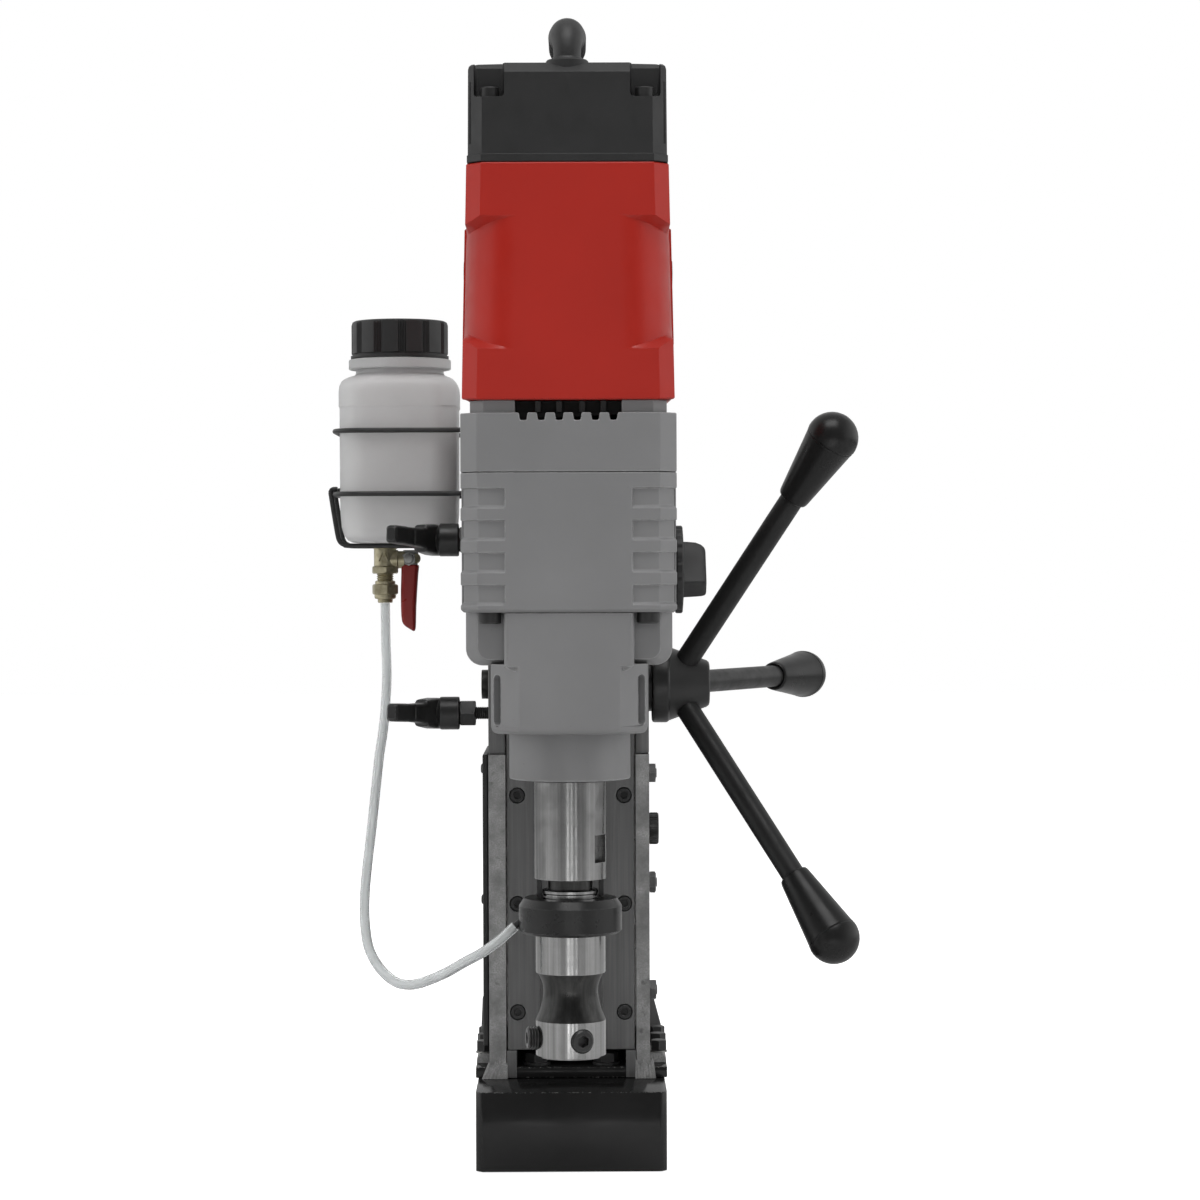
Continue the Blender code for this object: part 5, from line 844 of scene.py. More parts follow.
def build_carry_handle():
    shape = bmesh.new()
    front, foot = AXIS_Y - HANDLE_SPAN, COVER_TOP - 0.0060
    half_path = [(0.0, front, foot), (0.0, front, foot + 0.004), (0.0, front, GRIP_HEIGHT - HANDLE_BEND)]
    for degrees in (22.5, 45.0, 67.5):
        c, s = math.cos(math.radians(degrees)), math.sin(math.radians(degrees))
        half_path.append((0.0, front + HANDLE_BEND * (1 - c), GRIP_HEIGHT - HANDLE_BEND * (1 - s)))
    half_path += [(0.0, y, GRIP_HEIGHT) for y in (front + HANDLE_BEND, AXIS_Y - 0.018, AXIS_Y)]
    radii = [0.0079, 0.0075, 0.0075, 0.0078, 0.0084, 0.0091, 0.0097, 0.0101, 0.0101]
    path = half_path + [(x, 2 * AXIS_Y - y, z) for x, y, z in half_path[-2::-1]]
    add_sweep(shape, path, radii + radii[-2::-1], 40)
    flange = [(0.0116, -0.0050), (0.0116, 0.0006), (0.0110, 0.0013), (0.0086, 0.0018), (0.0078, 0.0030)]
    for end in SIDES:
        add_lathe(shape, flange, turn_to((0.0, AXIS_Y + end * HANDLE_SPAN, COVER_TOP - 0.0004)), 48)
    rib = [(0.0100, -0.0008), (0.0104, -0.0004), (0.0104, 0.0004), (0.0100, 0.0008)]
    for step in range(9):
        add_lathe(shape, rib, turn_to((0.0, AXIS_Y - 0.018 + 0.0045 * step, GRIP_HEIGHT), BACK), 40)
    piece("carry_handle_grip", shape, BLACK_MOULDING, "carriage", "black_plastic", "carry_handle", sharp=40.0)


build_housing()
build_top_cover()
build_carry_handle()


# Gearbox: vent ring, cover, body with its corner pads, and the spindle nose

VENT_HALF = 0.0535
VENT_CHAMFER = 0.0075
VENT_LOW = 0.4312
VENT_HIGH = 0.4379
VENT_OPENING = 0.0289
FIN_PLACES = (-0.0165, -0.0050, 0.0075, 0.0190)
GEARBOX_HALF = 0.0587
GEARBOX_CHAMFER = 0.0092
GEARBOX_LOW = 0.3230
GEARBOX_HIGH = 0.3987
GEARBOX_COVER_LOW = 0.3990
GEARBOX_COVER_HIGH = 0.4310
PAD_ROWS = (0.3280, 0.3456, 0.3630, 0.3804)
PAD_GAP = 0.0098
PAD_INNER = 0.0345
PAD_DEPTH = 0.0017
NOTCH_COUNT = 6
NOTCH_PITCH = 0.00975
NOTCH_FLOOR = 0.4269
SELECTOR_HEIGHT = 0.3460
NOSE_HALF = (0.0428, 0.0568)
NOSE_TOP = 0.2948
NOSE_SECTIONS = ((0.0040, 0.0140, 0.2566), (0.0016, 0.0146, 0.2573), (0.0006, 0.0151, 0.2588),
                 (0.0, 0.0155, 0.2612), (0.0, 0.0155, NOSE_TOP))
NECK_HALF = (0.0352, 0.0568)
NOSE_LEDGE = ((0.0345, 0.2936), (0.0290, 0.2936), (0.0290, 0.2912), (0.0312, 0.2916))
LOBE_LOW = 0.2938
LOBE_OUT = 0.0565
LOBE_CURVE = 0.0092
NOSE_MEETS_BOX = 0.3228


def facing(origin, normal):
    """A matrix whose Z axis is a level normal and whose Y axis stays upright."""
    out = Vector(normal).normalized()
    up = Vector(UP)
    turned = Matrix((up.cross(out), up, out)).transposed().to_4x4()
    return Matrix.Translation(origin) @ turned


def capsule(half_width, half_length, height, steps=8):
    """A slot's outline with round ends."""
    points = []
    for end in (0, 1):
        for i in range(steps + 1):
            angle = math.pi * (end + i / steps)
            middle = (1 - 2 * end) * (half_length - half_width)
            points.append((half_width * math.cos(angle), middle + half_width * math.sin(angle), height))
    return points


def vent_depth(end, inwards):
    return AXIS_Y + end * (VENT_HALF - inwards)


def build_vent():
    shape = bmesh.new()
    add_loft(shape, [chamfered(VENT_HALF, VENT_CHAMFER, z) for z in (VENT_LOW, VENT_HIGH)])
    opening = bmesh.new()
    dark = bmesh.new()
    inner = VENT_OPENING - 0.0001
    for end in SIDES:
        add_block(opening, (-VENT_OPENING, vent_depth(end, -0.004), VENT_LOW - 0.002),
                  (VENT_OPENING, vent_depth(end, 0.014), VENT_HIGH + 0.002), 0.0)
        # The two blocks in unlit-cavity black, behind the openings and behind the cover's notches, are
        # painted shade; the fins are black moulding.
        add_block(dark, (-inner, vent_depth(end, 0.0085), VENT_LOW + 0.0001),
                  (inner, vent_depth(end, 0.0139), VENT_HIGH - 0.0002), 0.0, finish=1)
        add_block(dark, (-inner, vent_depth(end, 0.0050), NOTCH_FLOOR - 0.0001),
                  (inner, vent_depth(end, 0.0106), VENT_LOW - 0.0001), 0.0, finish=1)
        for x in FIN_PLACES:
            add_block(dark, (x - 0.0016, vent_depth(end, 0.0025), VENT_LOW + 0.0002),
                      (x + 0.0016, vent_depth(end, 0.0090), VENT_HIGH - 0.0002), 0.0004)
    shape = carve(shape, opening)
    ease(shape, 0.0005)
    piece("vent_neck", shape, GREY, "carriage", "grey_casting", "vent_ring")
    piece("vent_fins_and_shade_blocks", dark, [BLACK_MOULDING, SHADOW_BLACK], "carriage", "black_plastic")


def build_gearbox_cover():
    high = GEARBOX_COVER_HIGH
    shape = bmesh.new()
    add_loft(shape, [chamfered(GEARBOX_HALF, GEARBOX_CHAMFER, z) for z in (GEARBOX_COVER_LOW, high)])
    notches = bmesh.new()
    for end in SIDES:
        face = AXIS_Y + end * GEARBOX_HALF
        for i in range(NOTCH_COUNT):
            x = NOTCH_PITCH * (i - (NOTCH_COUNT - 1) / 2)
            outline = [(x - 0.0017, NOTCH_FLOOR), (x + 0.0017, NOTCH_FLOOR), (x + 0.0025, high + 0.0008),
                       (x - 0.0025, high + 0.0008)]
            add_prism(notches, outline, face + end * 0.004, face - end * 0.0080, "Y")
        add_block(notches, (-0.0292, face - end * 0.0075, NOTCH_FLOOR - 0.0004),
                  (0.0292, face - end * 0.0168, high + 0.002), 0.0)
    shape = carve(shape, notches)
    ease(shape, 0.0007, 2, 35.0)
    piece("gearbox_upper_case", shape, GREY, "carriage", "grey_casting", "gearbox_cover", sharp=30.0)


def pad_corner(depth, side, end, z):
    """The outline that cuts one corner of the gearbox back to a depth."""
    half, outside = GEARBOX_HALF, GEARBOX_HALF + 0.006
    flat = half - depth
    knee = half - GEARBOX_CHAMFER - depth * (math.sqrt(2) - 1)
    outline = [(PAD_INNER, outside), (PAD_INNER, flat), (knee, flat), (flat, knee), (flat, PAD_INNER),
               (outside, PAD_INNER), (outside, outside)]
    return [(side * x, AXIS_Y + end * y, z) for x, y in outline]


def build_gearbox_body():
    shape = bmesh.new()
    add_loft(shape, [chamfered(GEARBOX_HALF - 0.0016, GEARBOX_CHAMFER, GEARBOX_LOW),
                     chamfered(GEARBOX_HALF, GEARBOX_CHAMFER, GEARBOX_LOW + 0.0016),
                     chamfered(GEARBOX_HALF, GEARBOX_CHAMFER, GEARBOX_HIGH)])
    gaps = bmesh.new()
    for side, end in CORNERS:
        for low in PAD_ROWS:
            rings = ((-0.0003, low - 0.0013), (PAD_DEPTH, low + 0.0004), (PAD_DEPTH, low + PAD_GAP))
            add_loft(gaps, [pad_corner(depth, side, end, z) for depth, z in rings])
    shape = carve(shape, gaps)
    ease(shape, 0.0005, 2, 35.0)
    boss = [(0.0240, -0.0010), (0.0240, 0.0), (0.0232, 0.0008), (0.0215, 0.0010)]
    add_lathe(shape, boss, turn_to((GEARBOX_HALF - 0.0004, AXIS_Y, SELECTOR_HEIGHT), RIGHT), 64)
    piece("gearbox_case", shape, GREY, "carriage", "grey_casting", "gearbox_body", sharp=30.0)
    bolts = bmesh.new()
    for side in SIDES:
        add_cap_screw(bolts, (side * 0.0430, -0.2100, 0.3236), DOWN, 0.0125, 0.0068, 0.0060)
    piece("gearbox_bolts", bolts, OXIDE, "carriage", "black_oxide")


def add_lobe(shape, side):
    """A rounded lobe at the side of the nose, drawn in towards its two ends."""
    rings = []
    for y, inset in ((-0.2030, 0.0068), (-0.2022, 0.0056), (-0.1950, 0.0008), (-0.1935, 0.0), (-0.1250, 0.0),
                     (-0.1235, 0.0008), (-0.1170, 0.0056), (-0.1162, 0.0068)):
        out, low, curve = LOBE_OUT - inset, LOBE_LOW + inset * 0.5, LOBE_CURVE - inset * 0.4
        ring = [(side * 0.0280, y, NOSE_MEETS_BOX), (side * 0.0280, y, low)]
        for step in range(9):
            angle = math.pi / 2 * step / 8
            x = out - curve + curve * math.sin(angle)
            ring.append((side * x, y, low + curve - curve * math.cos(angle)))
        rings.append(ring + [(side * out, y, NOSE_MEETS_BOX)])
    add_loft(shape, rings)


def build_nose():
    shape = bmesh.new()
    wide, deep = NOSE_HALF
    middle = (0.0, AXIS_Y)
    add_loft(shape, [rounded(wide - inset, deep - inset, chamfer, z, 1, middle)
                     for inset, chamfer, z in NOSE_SECTIONS])
    neck = bmesh.new()
    add_loft(neck, [rounded(*NECK_HALF, 0.0028, z, 3, middle) for z in (NOSE_TOP - 0.0012, NOSE_MEETS_BOX)])
    shape = carve(shape, neck, "UNION")
    slots = bmesh.new()
    for side, end in CORNERS:
        at = (side * 0.0394, AXIS_Y + end * 0.0447, 0.2752)
        add_loft(slots, [capsule(0.0022, 0.0132, -0.0046), capsule(0.0032, 0.0142, 0.004)],
                 facing(at, (side, end, 0.0)))
    shape = carve(shape, slots)
    ease(shape, 0.0006, 2, 38.0)
    for side, end in CORNERS:
        ledge = [(side * x, z) for x, z in NOSE_LEDGE]
        add_prism(shape, ledge, AXIS_Y + end * 0.0555, AXIS_Y + end * 0.0400, "Y")
    for side in SIDES:
        add_lobe(shape, side)
    collar = [(0.0212, 0.2306), (0.0324, 0.2296), (0.0332, 0.2298), (0.03365, 0.2303), (0.03375, 0.2311),
              (0.03375, 0.2586), (0.0212, 0.2586)]
    add_lathe(shape, collar, AXIS, 72, True)
    seal = [(0.0207, 0.2296), (0.0265, 0.2288), (0.0275, 0.2296), (0.0275, 0.2330), (0.0207, 0.2330)]
    add_lathe(shape, seal, AXIS, 64, True, 1)
    piece("spindle_nose_casting", shape, [GREY, BLACK_MOULDING], "carriage", "grey_casting", "spindle_nose",
          sharp=33.0)


build_vent()
build_gearbox_cover()
build_gearbox_body()
build_nose()


# Spindle, arbor, coolant ring and capstan

ARBOR_SPIGOT = ((0.0128, 0.1740), (0.0128, 0.1682), (0.0150, 0.1680), (0.0156, 0.1674), (0.0156, 0.1660),
                (0.0150, 0.1654), (0.0150, 0.1434))
ARBOR_COLLAR = ((0.0189, 0.1432), (0.0196, 0.1426), (0.0196, 0.1222), (0.0194, 0.1216))
ARBOR_WAIST = ((0.0183, 0.1211), (0.0172, 0.1190), (0.0163, 0.1170), (0.0157, 0.1150), (0.0154, 0.1130),
               (0.0153, 0.1110), (0.0154, 0.1090), (0.0157, 0.1070), (0.0162, 0.1046), (0.0169, 0.1020),
               (0.0178, 0.0993), (0.0187, 0.0970), (0.0193, 0.0957))
ARBOR_SOCKET = ((0.0196, 0.0951), (0.0196, 0.0757), (0.0188, 0.0747), (0.0104, 0.0747), (0.00955, 0.0756),
                (0.00955, 0.1160))
ARBOR_RADIUS = 0.01965
DARK_WAIST = (0.0952, 0.1213)
DARK_SPIGOT = 0.1678
SET_SCREWS = (("set_screw_front", -70.0, 0.0009), ("set_screw_left", -170.0, 0.0052))
SET_SCREW_HEIGHT = 0.0852
SET_SCREW_RADIUS = 0.0063
SET_SCREW_SOCKET = 0.0062
RING_PROFILE = ((0.0160, 0.1446), (0.0255, 0.1436), (0.0268, 0.1436), (0.02875, 0.1452), (0.02875, 0.1588),
                (0.0261, 0.1629), (0.0256, 0.1632), (0.0172, 0.1632), (0.0160, 0.1624))
FEED_AXIS = Vector((0.0467, -0.0228, 0.2774))
HUB_PROFILE = ((0.0100, 0.0002), (0.0165, 0.0002), (0.0165, 0.0020), (0.0218, 0.0022), (0.0230, 0.0028),
               (0.0233, 0.0040), (0.0233, 0.0106), (0.0229, 0.0118), (0.0221, 0.0126), (0.0140, 0.0352),
               (0.0130, 0.0364), (0.0118, 0.0368), (0.0060, 0.0368), (0.0052, 0.0360), (0.0052, 0.0340))
SPOKE_ROOT = FEED_AXIS + Vector((0.014, 0.0, 0.0))
SPOKE_LEAN = math.radians(28.6)
SPOKE_RADIUS = 0.0069
SPOKE_REACH = 0.166
KNOB_LENGTH = 0.060
KNOB_BALL = 0.01515
KNOB_STEM = ((0.0071, 0.0060), (0.0071, 0.0004), (0.0078, 0.0), (0.0086, 0.0003), (0.0090, 0.0012),
             (0.0093, 0.0030), (0.0108, 0.0140), (0.0124, 0.0260), (0.0140, 0.0376), (0.01462, 0.0420),
             (0.01484, 0.0426), (0.01484, 0.0431), (0.01466, 0.0434), (0.01492, 0.0438))
KNOB_NECK = SPOKE_REACH / math.cos(SPOKE_LEAN) + KNOB_BALL - KNOB_LENGTH


def set_screw_line(degrees):
    """The middle of the arbor at the set screws' height, and the way out along one of them."""
    angle = math.radians(degrees)
    return Vector((0.0, AXIS_Y, SET_SCREW_HEIGHT)), Vector((math.cos(angle), math.sin(angle), 0.0))


def build_spindle():
    shape = from_node("spindle")
    ease(shape, 0.0004, 2, 40.0)
    piece("spindle_sleeve", shape, STEEL, "drill_spindle", "bright_steel", "spindle", sharp=25.0)
    arbor = bmesh.new()
    add_lathe(arbor, ARBOR_SPIGOT + ARBOR_COLLAR + ARBOR_WAIST + ARBOR_SOCKET, AXIS, 96)
    for face in arbor.faces:
        z = face.calc_center_median().z
        if DARK_WAIST[0] < z < DARK_WAIST[1] or z > DARK_SPIGOT:
            face.material_index = 1
    holes = bmesh.new()
    for _, degrees, _ in SET_SCREWS:
        centre, away = set_screw_line(degrees)
        add_rod(holes, centre + away * 0.0135, centre + away * 0.0260, SET_SCREW_RADIUS + 0.0005, 48)
    arbor = carve(arbor, holes)
    piece("arbor_turning", arbor, [STEEL, DARK_TURNED], "drill_spindle", "bright_steel", "arbor", sharp=25.0)
    lugs = bmesh.new()
    for side in SIDES:
        add_block(lugs, (side * 0.0158, AXIS_Y - 0.0035, 0.1640), (side * 0.0188, AXIS_Y + 0.0035, 0.1738),
                  0.0004)
    piece("arbor_lugs", lugs, OXIDE, "drill_spindle", "black_oxide")


def build_set_screws():
    for name, degrees, proud in SET_SCREWS:
        centre, away = set_screw_line(degrees)
        shape = bmesh.new()
        inner, outer = 0.0120, ARBOR_RADIUS + proud
        add_thread(shape, centre + away * inner, away, outer - inner, SET_SCREW_RADIUS, 0.0016)
        socket = bmesh.new()
        add_loft(socket, [hexagon(SET_SCREW_SOCKET, height) for height in (-0.0042, 0.0020)],
                 turn_to(centre + away * outer, away, math.radians(15.0)))
        shape = carve(shape, socket)
        piece(name + "_threaded", shape, SCREW_STEEL, "drill_spindle", "black_oxide", name, sharp=25.0)


def build_coolant_ring():
    shape = bmesh.new()
    add_lathe(shape, RING_PROFILE, AXIS, 96, True)
    piece("coolant_ring_turning", shape, RING_BLACK, "carriage", "black_plastic", "coolant_ring", sharp=25.0)
    barb = bmesh.new()
    end = HOSE_START + Vector(HOSE_ROUTE[-1])
    way = (Vector(HOSE_ROUTE[-1]) - Vector(HOSE_ROUTE[-2])).normalized()
    add_rod(barb, end - way * 0.0050, end + way * 0.0040, HOSE_BORE / 2 - 0.0001, 20)
    piece("coolant_barb", barb, OXIDE, "carriage", "black_oxide")


def spoke_way(index):
    """The direction of one of the three leaning spokes."""
    around = math.radians(60.0 - 120.0 * index)
    side = math.cos(SPOKE_LEAN)
    return Vector((math.sin(SPOKE_LEAN), -math.cos(around) * side, math.sin(around) * side))


def build_capstan():
    hub = bmesh.new()
    add_lathe(hub, HUB_PROFILE, turn_to(FEED_AXIS, RIGHT), 96)
    piece("capstan_hub_turning", hub, SATIN_BLACK, "capstan", "black_paint", "capstan_hub", sharp=25.0)
    profile = list(KNOB_STEM)
    for degrees in (92, 84, 75, 66, 57, 48, 39, 30, 20, 11, 4):
        angle = math.radians(degrees)
        profile.append((KNOB_BALL * math.sin(angle), KNOB_LENGTH - KNOB_BALL * (1 - math.cos(angle))))
    for index in range(3):
        way = spoke_way(index)
        spoke = bmesh.new()
        add_rod(spoke, SPOKE_ROOT + way * 0.0142, SPOKE_ROOT + way * (KNOB_NECK + 0.0290), SPOKE_RADIUS, 48,
                0.0005)
        piece(f"capstan_spoke_{index + 1}_rod", spoke, SPOKE_BLACK, "capstan", "black_paint",
              f"capstan_spoke_{index + 1}")
        knob = bmesh.new()
        add_lathe(knob, profile, turn_to(SPOKE_ROOT + way * KNOB_NECK, way), 64)
        piece(f"capstan_knob_{index + 1}_ball", knob, BLACK_GLOSS, "capstan", "black_plastic",
              f"capstan_knob_{index + 1}", sharp=50.0)


build_spindle()
build_set_screws()
build_coolant_ring()
build_capstan()


# Coolant supply: bottle, cap, basket, valve and its lever

BOTTLE_AXIS = (-0.1035, 0.012)
BOTTLE_FLOOR = ((0.3628, 0.0230, 0.0110), (0.3626, 0.0250, 0.0115), (0.3629, 0.0280, 0.0125),
                (0.3642, 0.0308, 0.0140), (0.3672, 0.0331, 0.0150), (0.3720, 0.0345, 0.0157))
BOTTLE_BODY = ((0.3800, 0.0352, 0.0160), (0.3920, 0.0354, 0.0160), (0.4300, 0.0355, 0.0160),
               (0.4440, 0.0355, 0.0160), (0.4447, 0.0357, 0.0160), (0.4452, 0.0360, 0.0160))
BOTTLE_SHOULDER = ((0.4540, 0.0360, 0.0160), (0.4575, 0.0356, 0.0164), (0.4600, 0.0346, 0.0174),
                   (0.4618, 0.0330, 0.0190), (0.4632, 0.0308, 0.0214), (0.4641, 0.0288, 0.0240),
                   (0.4648, 0.0275, 0.0264))
BOTTLE_NECK = ((0.4658, 0.0269), (0.4680, 0.0268), (0.4683, 0.0306), (0.4688, 0.0312), (0.4738, 0.0312),
               (0.4743, 0.0307), (0.4746, 0.0272), (0.4944, 0.0270), (0.4944, 0.0252), (0.4690, 0.0252))
CAP_LOW = 0.4748
CAP_RIBS = 12
CAP_GROOVE = 0.00055
CAP_FLUTE = 0.00035
WIRE_RADIUS = 0.0015
BASKET_OUT = 0.0383
BASKET_CORNER = 0.0183
BASKET_HOOPS = (0.3920, 0.4300)
BASKET_LOW = 0.3610
BASKET_MOUNT = -0.0378
BASKET_ROD = 0.018
VALVE_X = -0.113
VALVE_AXIS = turn_to((VALVE_X, BOTTLE_AXIS[1], 0.0))
STEM_HEIGHT = 0.3525
LEVER_NUT = (-0.0983, 0.0104, 0.3532)


def build_bottle():
    shape = bmesh.new()
    rings = BOTTLE_FLOOR + BOTTLE_BODY + BOTTLE_SHOULDER + tuple((z, half, half) for z, half in BOTTLE_NECK)
    add_loft(shape, [rounded(half, half, corner, z, 10, BOTTLE_AXIS) for z, half, corner in rings])
    piece("bottle_moulding", shape, MILKY, "carriage", "milky_plastic", "bottle", sharp=38.0)


def cap_ring(radius, height, ribbed=False):
    """A ring of the cap, one point a degree, with its ribs' grooves where it is ribbed."""
    points = []
    for degree in range(360):
        angle = math.radians(degree)
        reach = radius
        if ribbed:
            groove = CAP_GROOVE if degree % (360 // CAP_RIBS) in (2, 4, 6, 8, 10) else 0.0
            reach -= groove + CAP_FLUTE * abs(math.sin(angle * CAP_RIBS / 2))
        points.append((BOTTLE_AXIS[0] + reach * math.cos(angle),
                       BOTTLE_AXIS[1] + reach * math.sin(angle), height))
    return points


def build_bottle_cap():
    shape = bmesh.new()
    skirt = ((0.0275, 0.0100), (0.0275, 0.0), (0.0296, 0.0), (0.02985, 0.0006), (0.02985, 0.0018),
             (0.0288, 0.0021), (0.0288, 0.0026))
    crown = ((0.0288, 0.0222), (0.0276, 0.0229), (0.0250, 0.0229), (0.0245, 0.0223))
    grip = ((0.02945, 0.0030), (0.02945, 0.0204))
    add_loft(shape, [cap_ring(radius, CAP_LOW + z) for radius, z in skirt]
             + [cap_ring(radius, CAP_LOW + z, True) for radius, z in grip]
             + [cap_ring(radius, CAP_LOW + z) for radius, z in crown])
    piece("bottle_cap_ribbed", shape, BLACK_MOULDING, "filler_cap", "black_plastic", "bottle_cap",
          sharp=28.0)


def build_basket():
    shape = bmesh.new()
    left = BOTTLE_AXIS[0] - BASKET_OUT
    near, far = BOTTLE_AXIS[1] - BASKET_OUT, BOTTLE_AXIS[1] + BASKET_OUT
    for z in BASKET_HOOPS:
        path = [(x, near, z) for x in (BASKET_MOUNT, -0.0600, -0.0900)]
        for centre_y, first in ((near + BASKET_CORNER, 270.0), (far - BASKET_CORNER, 180.0)):
            for i in range(9):
                angle = math.radians(first - 90.0 * i / 8)
                path.append((left + BASKET_CORNER * (1 + math.cos(angle)),
                             centre_y + BASKET_CORNER * math.sin(angle), z))
        path += [(x, far, z) for x in (-0.0900, -0.0600, BASKET_MOUNT)]
        add_sweep(shape, path, WIRE_RADIUS, 14)
    low = BASKET_LOW
    hook = ((left + 0.0012, 0.3952), (left - 0.0014, 0.3952), (left - 0.0028, 0.3938),
            (left - 0.0024, 0.3900), (left + 0.0010, 0.3690), (left + 0.0026, 0.3636),
            (left + 0.0052, 0.3617), (left + 0.0092, low), (BOTTLE_AXIS[0], low), (-0.0760, low),
            (-0.0690, low + 0.0004), (-0.0658, low + 0.0026), (-0.0650, low + 0.0070),
            (-0.0650, low + 0.0110))
    for side in SIDES:
        y = BOTTLE_AXIS[1] + side * BASKET_ROD
        add_sweep(shape, smooth_path([(x, y, z) for x, z in hook], 0.0012), WIRE_RADIUS, 12)
    piece("wire_basket_rods", shape, SATIN_BLACK, "carriage", "black_paint", "wire_basket", sharp=40.0)


def build_valve():
    shape = bmesh.new()
    y = BOTTLE_AXIS[1]
    inlet = [(0.0062, 0.3484), (0.0068, 0.3488), (0.0068, 0.3590), (0.0076, 0.3594), (0.0076, 0.3607)]
    collar = [(0.0056, 0.3372), (0.0062, 0.3376), (0.0062, 0.3392), (0.0056, 0.3397)]
    outlet = [(0.0040, 0.3262), (0.0046, 0.3266), (0.0046, 0.3284), (0.0062, 0.3288), (0.0066, 0.3296),
              (0.0066, 0.3314)]
    add_lathe(shape, inlet, VALVE_AXIS, 48)
    add_lathe(shape, collar, VALVE_AXIS, 40)
    add_lathe(shape, outlet, VALVE_AXIS, 40)
    add_hex(shape, (VALVE_X, y, 0.3440), UP, 0.0152, 0.0046, spin=math.radians(8.0))
    add_hex(shape, (VALVE_X, y, 0.3312), UP, 0.0146, 0.0064, spin=math.radians(12.0))
    add_thread(shape, (VALVE_X, y, 0.3390), UP, 0.0052, 0.0052, 0.0012)
    stem = [(0.0060, 0.0), (0.0060, 0.0076), (0.0053, 0.0082), (0.0053, 0.0118), (0.0047, 0.0123)]
    add_lathe(shape, stem, turn_to((VALVE_X, y, STEM_HEIGHT), RIGHT), 40)
    for x, tilt in ((-0.0024, 24.0), (0.0012, -20.0)):
        mark = Vector((VALVE_X + x, y - 0.0067, 0.3540))
        lean = Vector((math.sin(math.radians(tilt)), 0.0, math.cos(math.radians(tilt)))) * 0.0026
        add_rod(shape, mark - lean, mark + lean, 0.00045, 8, 0.0001)
    piece("valve_fittings", shape, BRASS, "carriage", "brass", "valve_body", sharp=25.0)


def build_valve_lever():
    lever = bmesh.new()
    y = BOTTLE_AXIS[1]
    add_loft(lever, [rounded(0.0046, 0.0013, 0.0011, z, 4, (x, 0.0113)) for z, x in
                     ((0.3584, -0.0972), (0.3570, -0.0972), (0.3500, -0.0976), (0.3460, -0.0982))])
    add_rod(lever, (-0.1000, y, STEM_HEIGHT), (-0.0936, y, STEM_HEIGHT), 0.0024, 24)
    add_hex(lever, LEVER_NUT, FRONT, 0.0078, 0.0034)
    add_lathe(lever, [(0.0034, 0.0030), (0.0028, 0.0046), (0.0012, 0.0052)], turn_to(LEVER_NUT, FRONT), 24)
    add_lathe(lever, [(0.0026, -0.004), (0.0030, 0.0), (0.0030, 0.0020), (0.0024, 0.0026)],
              turn_to((-0.0948, 0.0104, 0.3532), (0.6, -0.8, 0.0)), 24, finish=2)
    sleeve = []
    for z, x, half_x, half_y in ((0.3494, -0.0976, 0.0046, 0.0030), (0.3490, -0.0976, 0.0052, 0.0036),
                                 (0.3482, -0.0976, 0.0054, 0.0038), (0.3440, -0.0979, 0.0052, 0.0038),
                                 (0.3340, -0.0984, 0.0050, 0.0037), (0.3240, -0.0987, 0.0047, 0.0036),
                                 (0.3170, -0.0987, 0.0045, 0.0034), (0.3130, -0.0986, 0.0042, 0.0031),
                                 (0.3112, -0.0985, 0.0036, 0.0025), (0.3104, -0.0984, 0.0026, 0.0016)):
        ring = rounded(half_x, half_y, half_y * 0.7, z, 6, (x, y - 0.0006))
        lean = 0.63 * max(0.0, 0.3240 - z) / 0.0136
        sleeve.append([(px, py, pz - lean * (px - x)) for px, py, pz in ring])
    add_loft(lever, sleeve, finish=1)
    piece("valve_lever_handle", lever, [ZINC, DARK_RED, BRASS], "coolant_tap", "red_plastic", "valve_lever",
          sharp=30.0)


# Clamp levers and the speed knob

CLAMP_WAY = Vector((-0.35, -0.936, 0.05)).normalized()
CLAMP_HEIGHTS = {"lower": 0.2610, "upper": 0.3640}
CLAMP_Y = -0.0419
CLAMP_PLACES = (-0.0659, -0.0815, -0.0656, -0.0563)
CLAMP_BOSS = ((0.0080, -0.0002), (0.0094, 0.0), (0.0098, 0.0006), (0.0098, 0.0108), (0.0095, 0.0114),
              (0.0088, 0.0118), (0.0076, 0.0142), (0.0060, 0.0146))
CLAMP_SECTIONS = ((-0.0086, 0.0066, 0.0030), (-0.0080, 0.0084, 0.0042), (-0.0050, 0.0092, 0.0047),
                  (0.0040, 0.0092, 0.0049), (0.0110, 0.0086, 0.0048), (0.0170, 0.0080, 0.0046),
                  (0.0182, 0.0064, 0.0042), (0.0230, 0.0058, 0.0040), (0.0330, 0.0054, 0.0036),
                  (0.0336, 0.0054, 0.0029), (0.0440, 0.0053, 0.0029), (0.0446, 0.0054, 0.0037),
                  (0.0580, 0.0053, 0.0037), (0.0600, 0.0049, 0.0034), (0.0612, 0.0036, 0.0024))
KNOB_TURN = math.radians(-41.0)
KNOB_RIM = ((0.0225, 0.0003), (0.0241, 0.0005), (0.0245, 0.0011), (0.0245, 0.0037), (0.0239, 0.0044),
            (0.0200, 0.0047))
KNOB_FLUTES = 18
KNOB_FLUTE_DEPTH = 0.0007
KNOB_GRIP = ((0.0044, 0.0072, 0.0162, 0.0162), (0.0052, 0.0066, 0.0157, 0.0157),
             (0.0080, 0.0065, 0.0156, 0.0156), (0.0120, 0.0064, 0.0152, 0.0154),
             (0.0150, 0.0062, 0.0138, 0.0152), (0.0166, 0.0059, 0.0122, 0.0149),
             (0.0173, 0.0054, 0.0108, 0.0143), (0.0175, 0.0046, 0.0096, 0.0134))


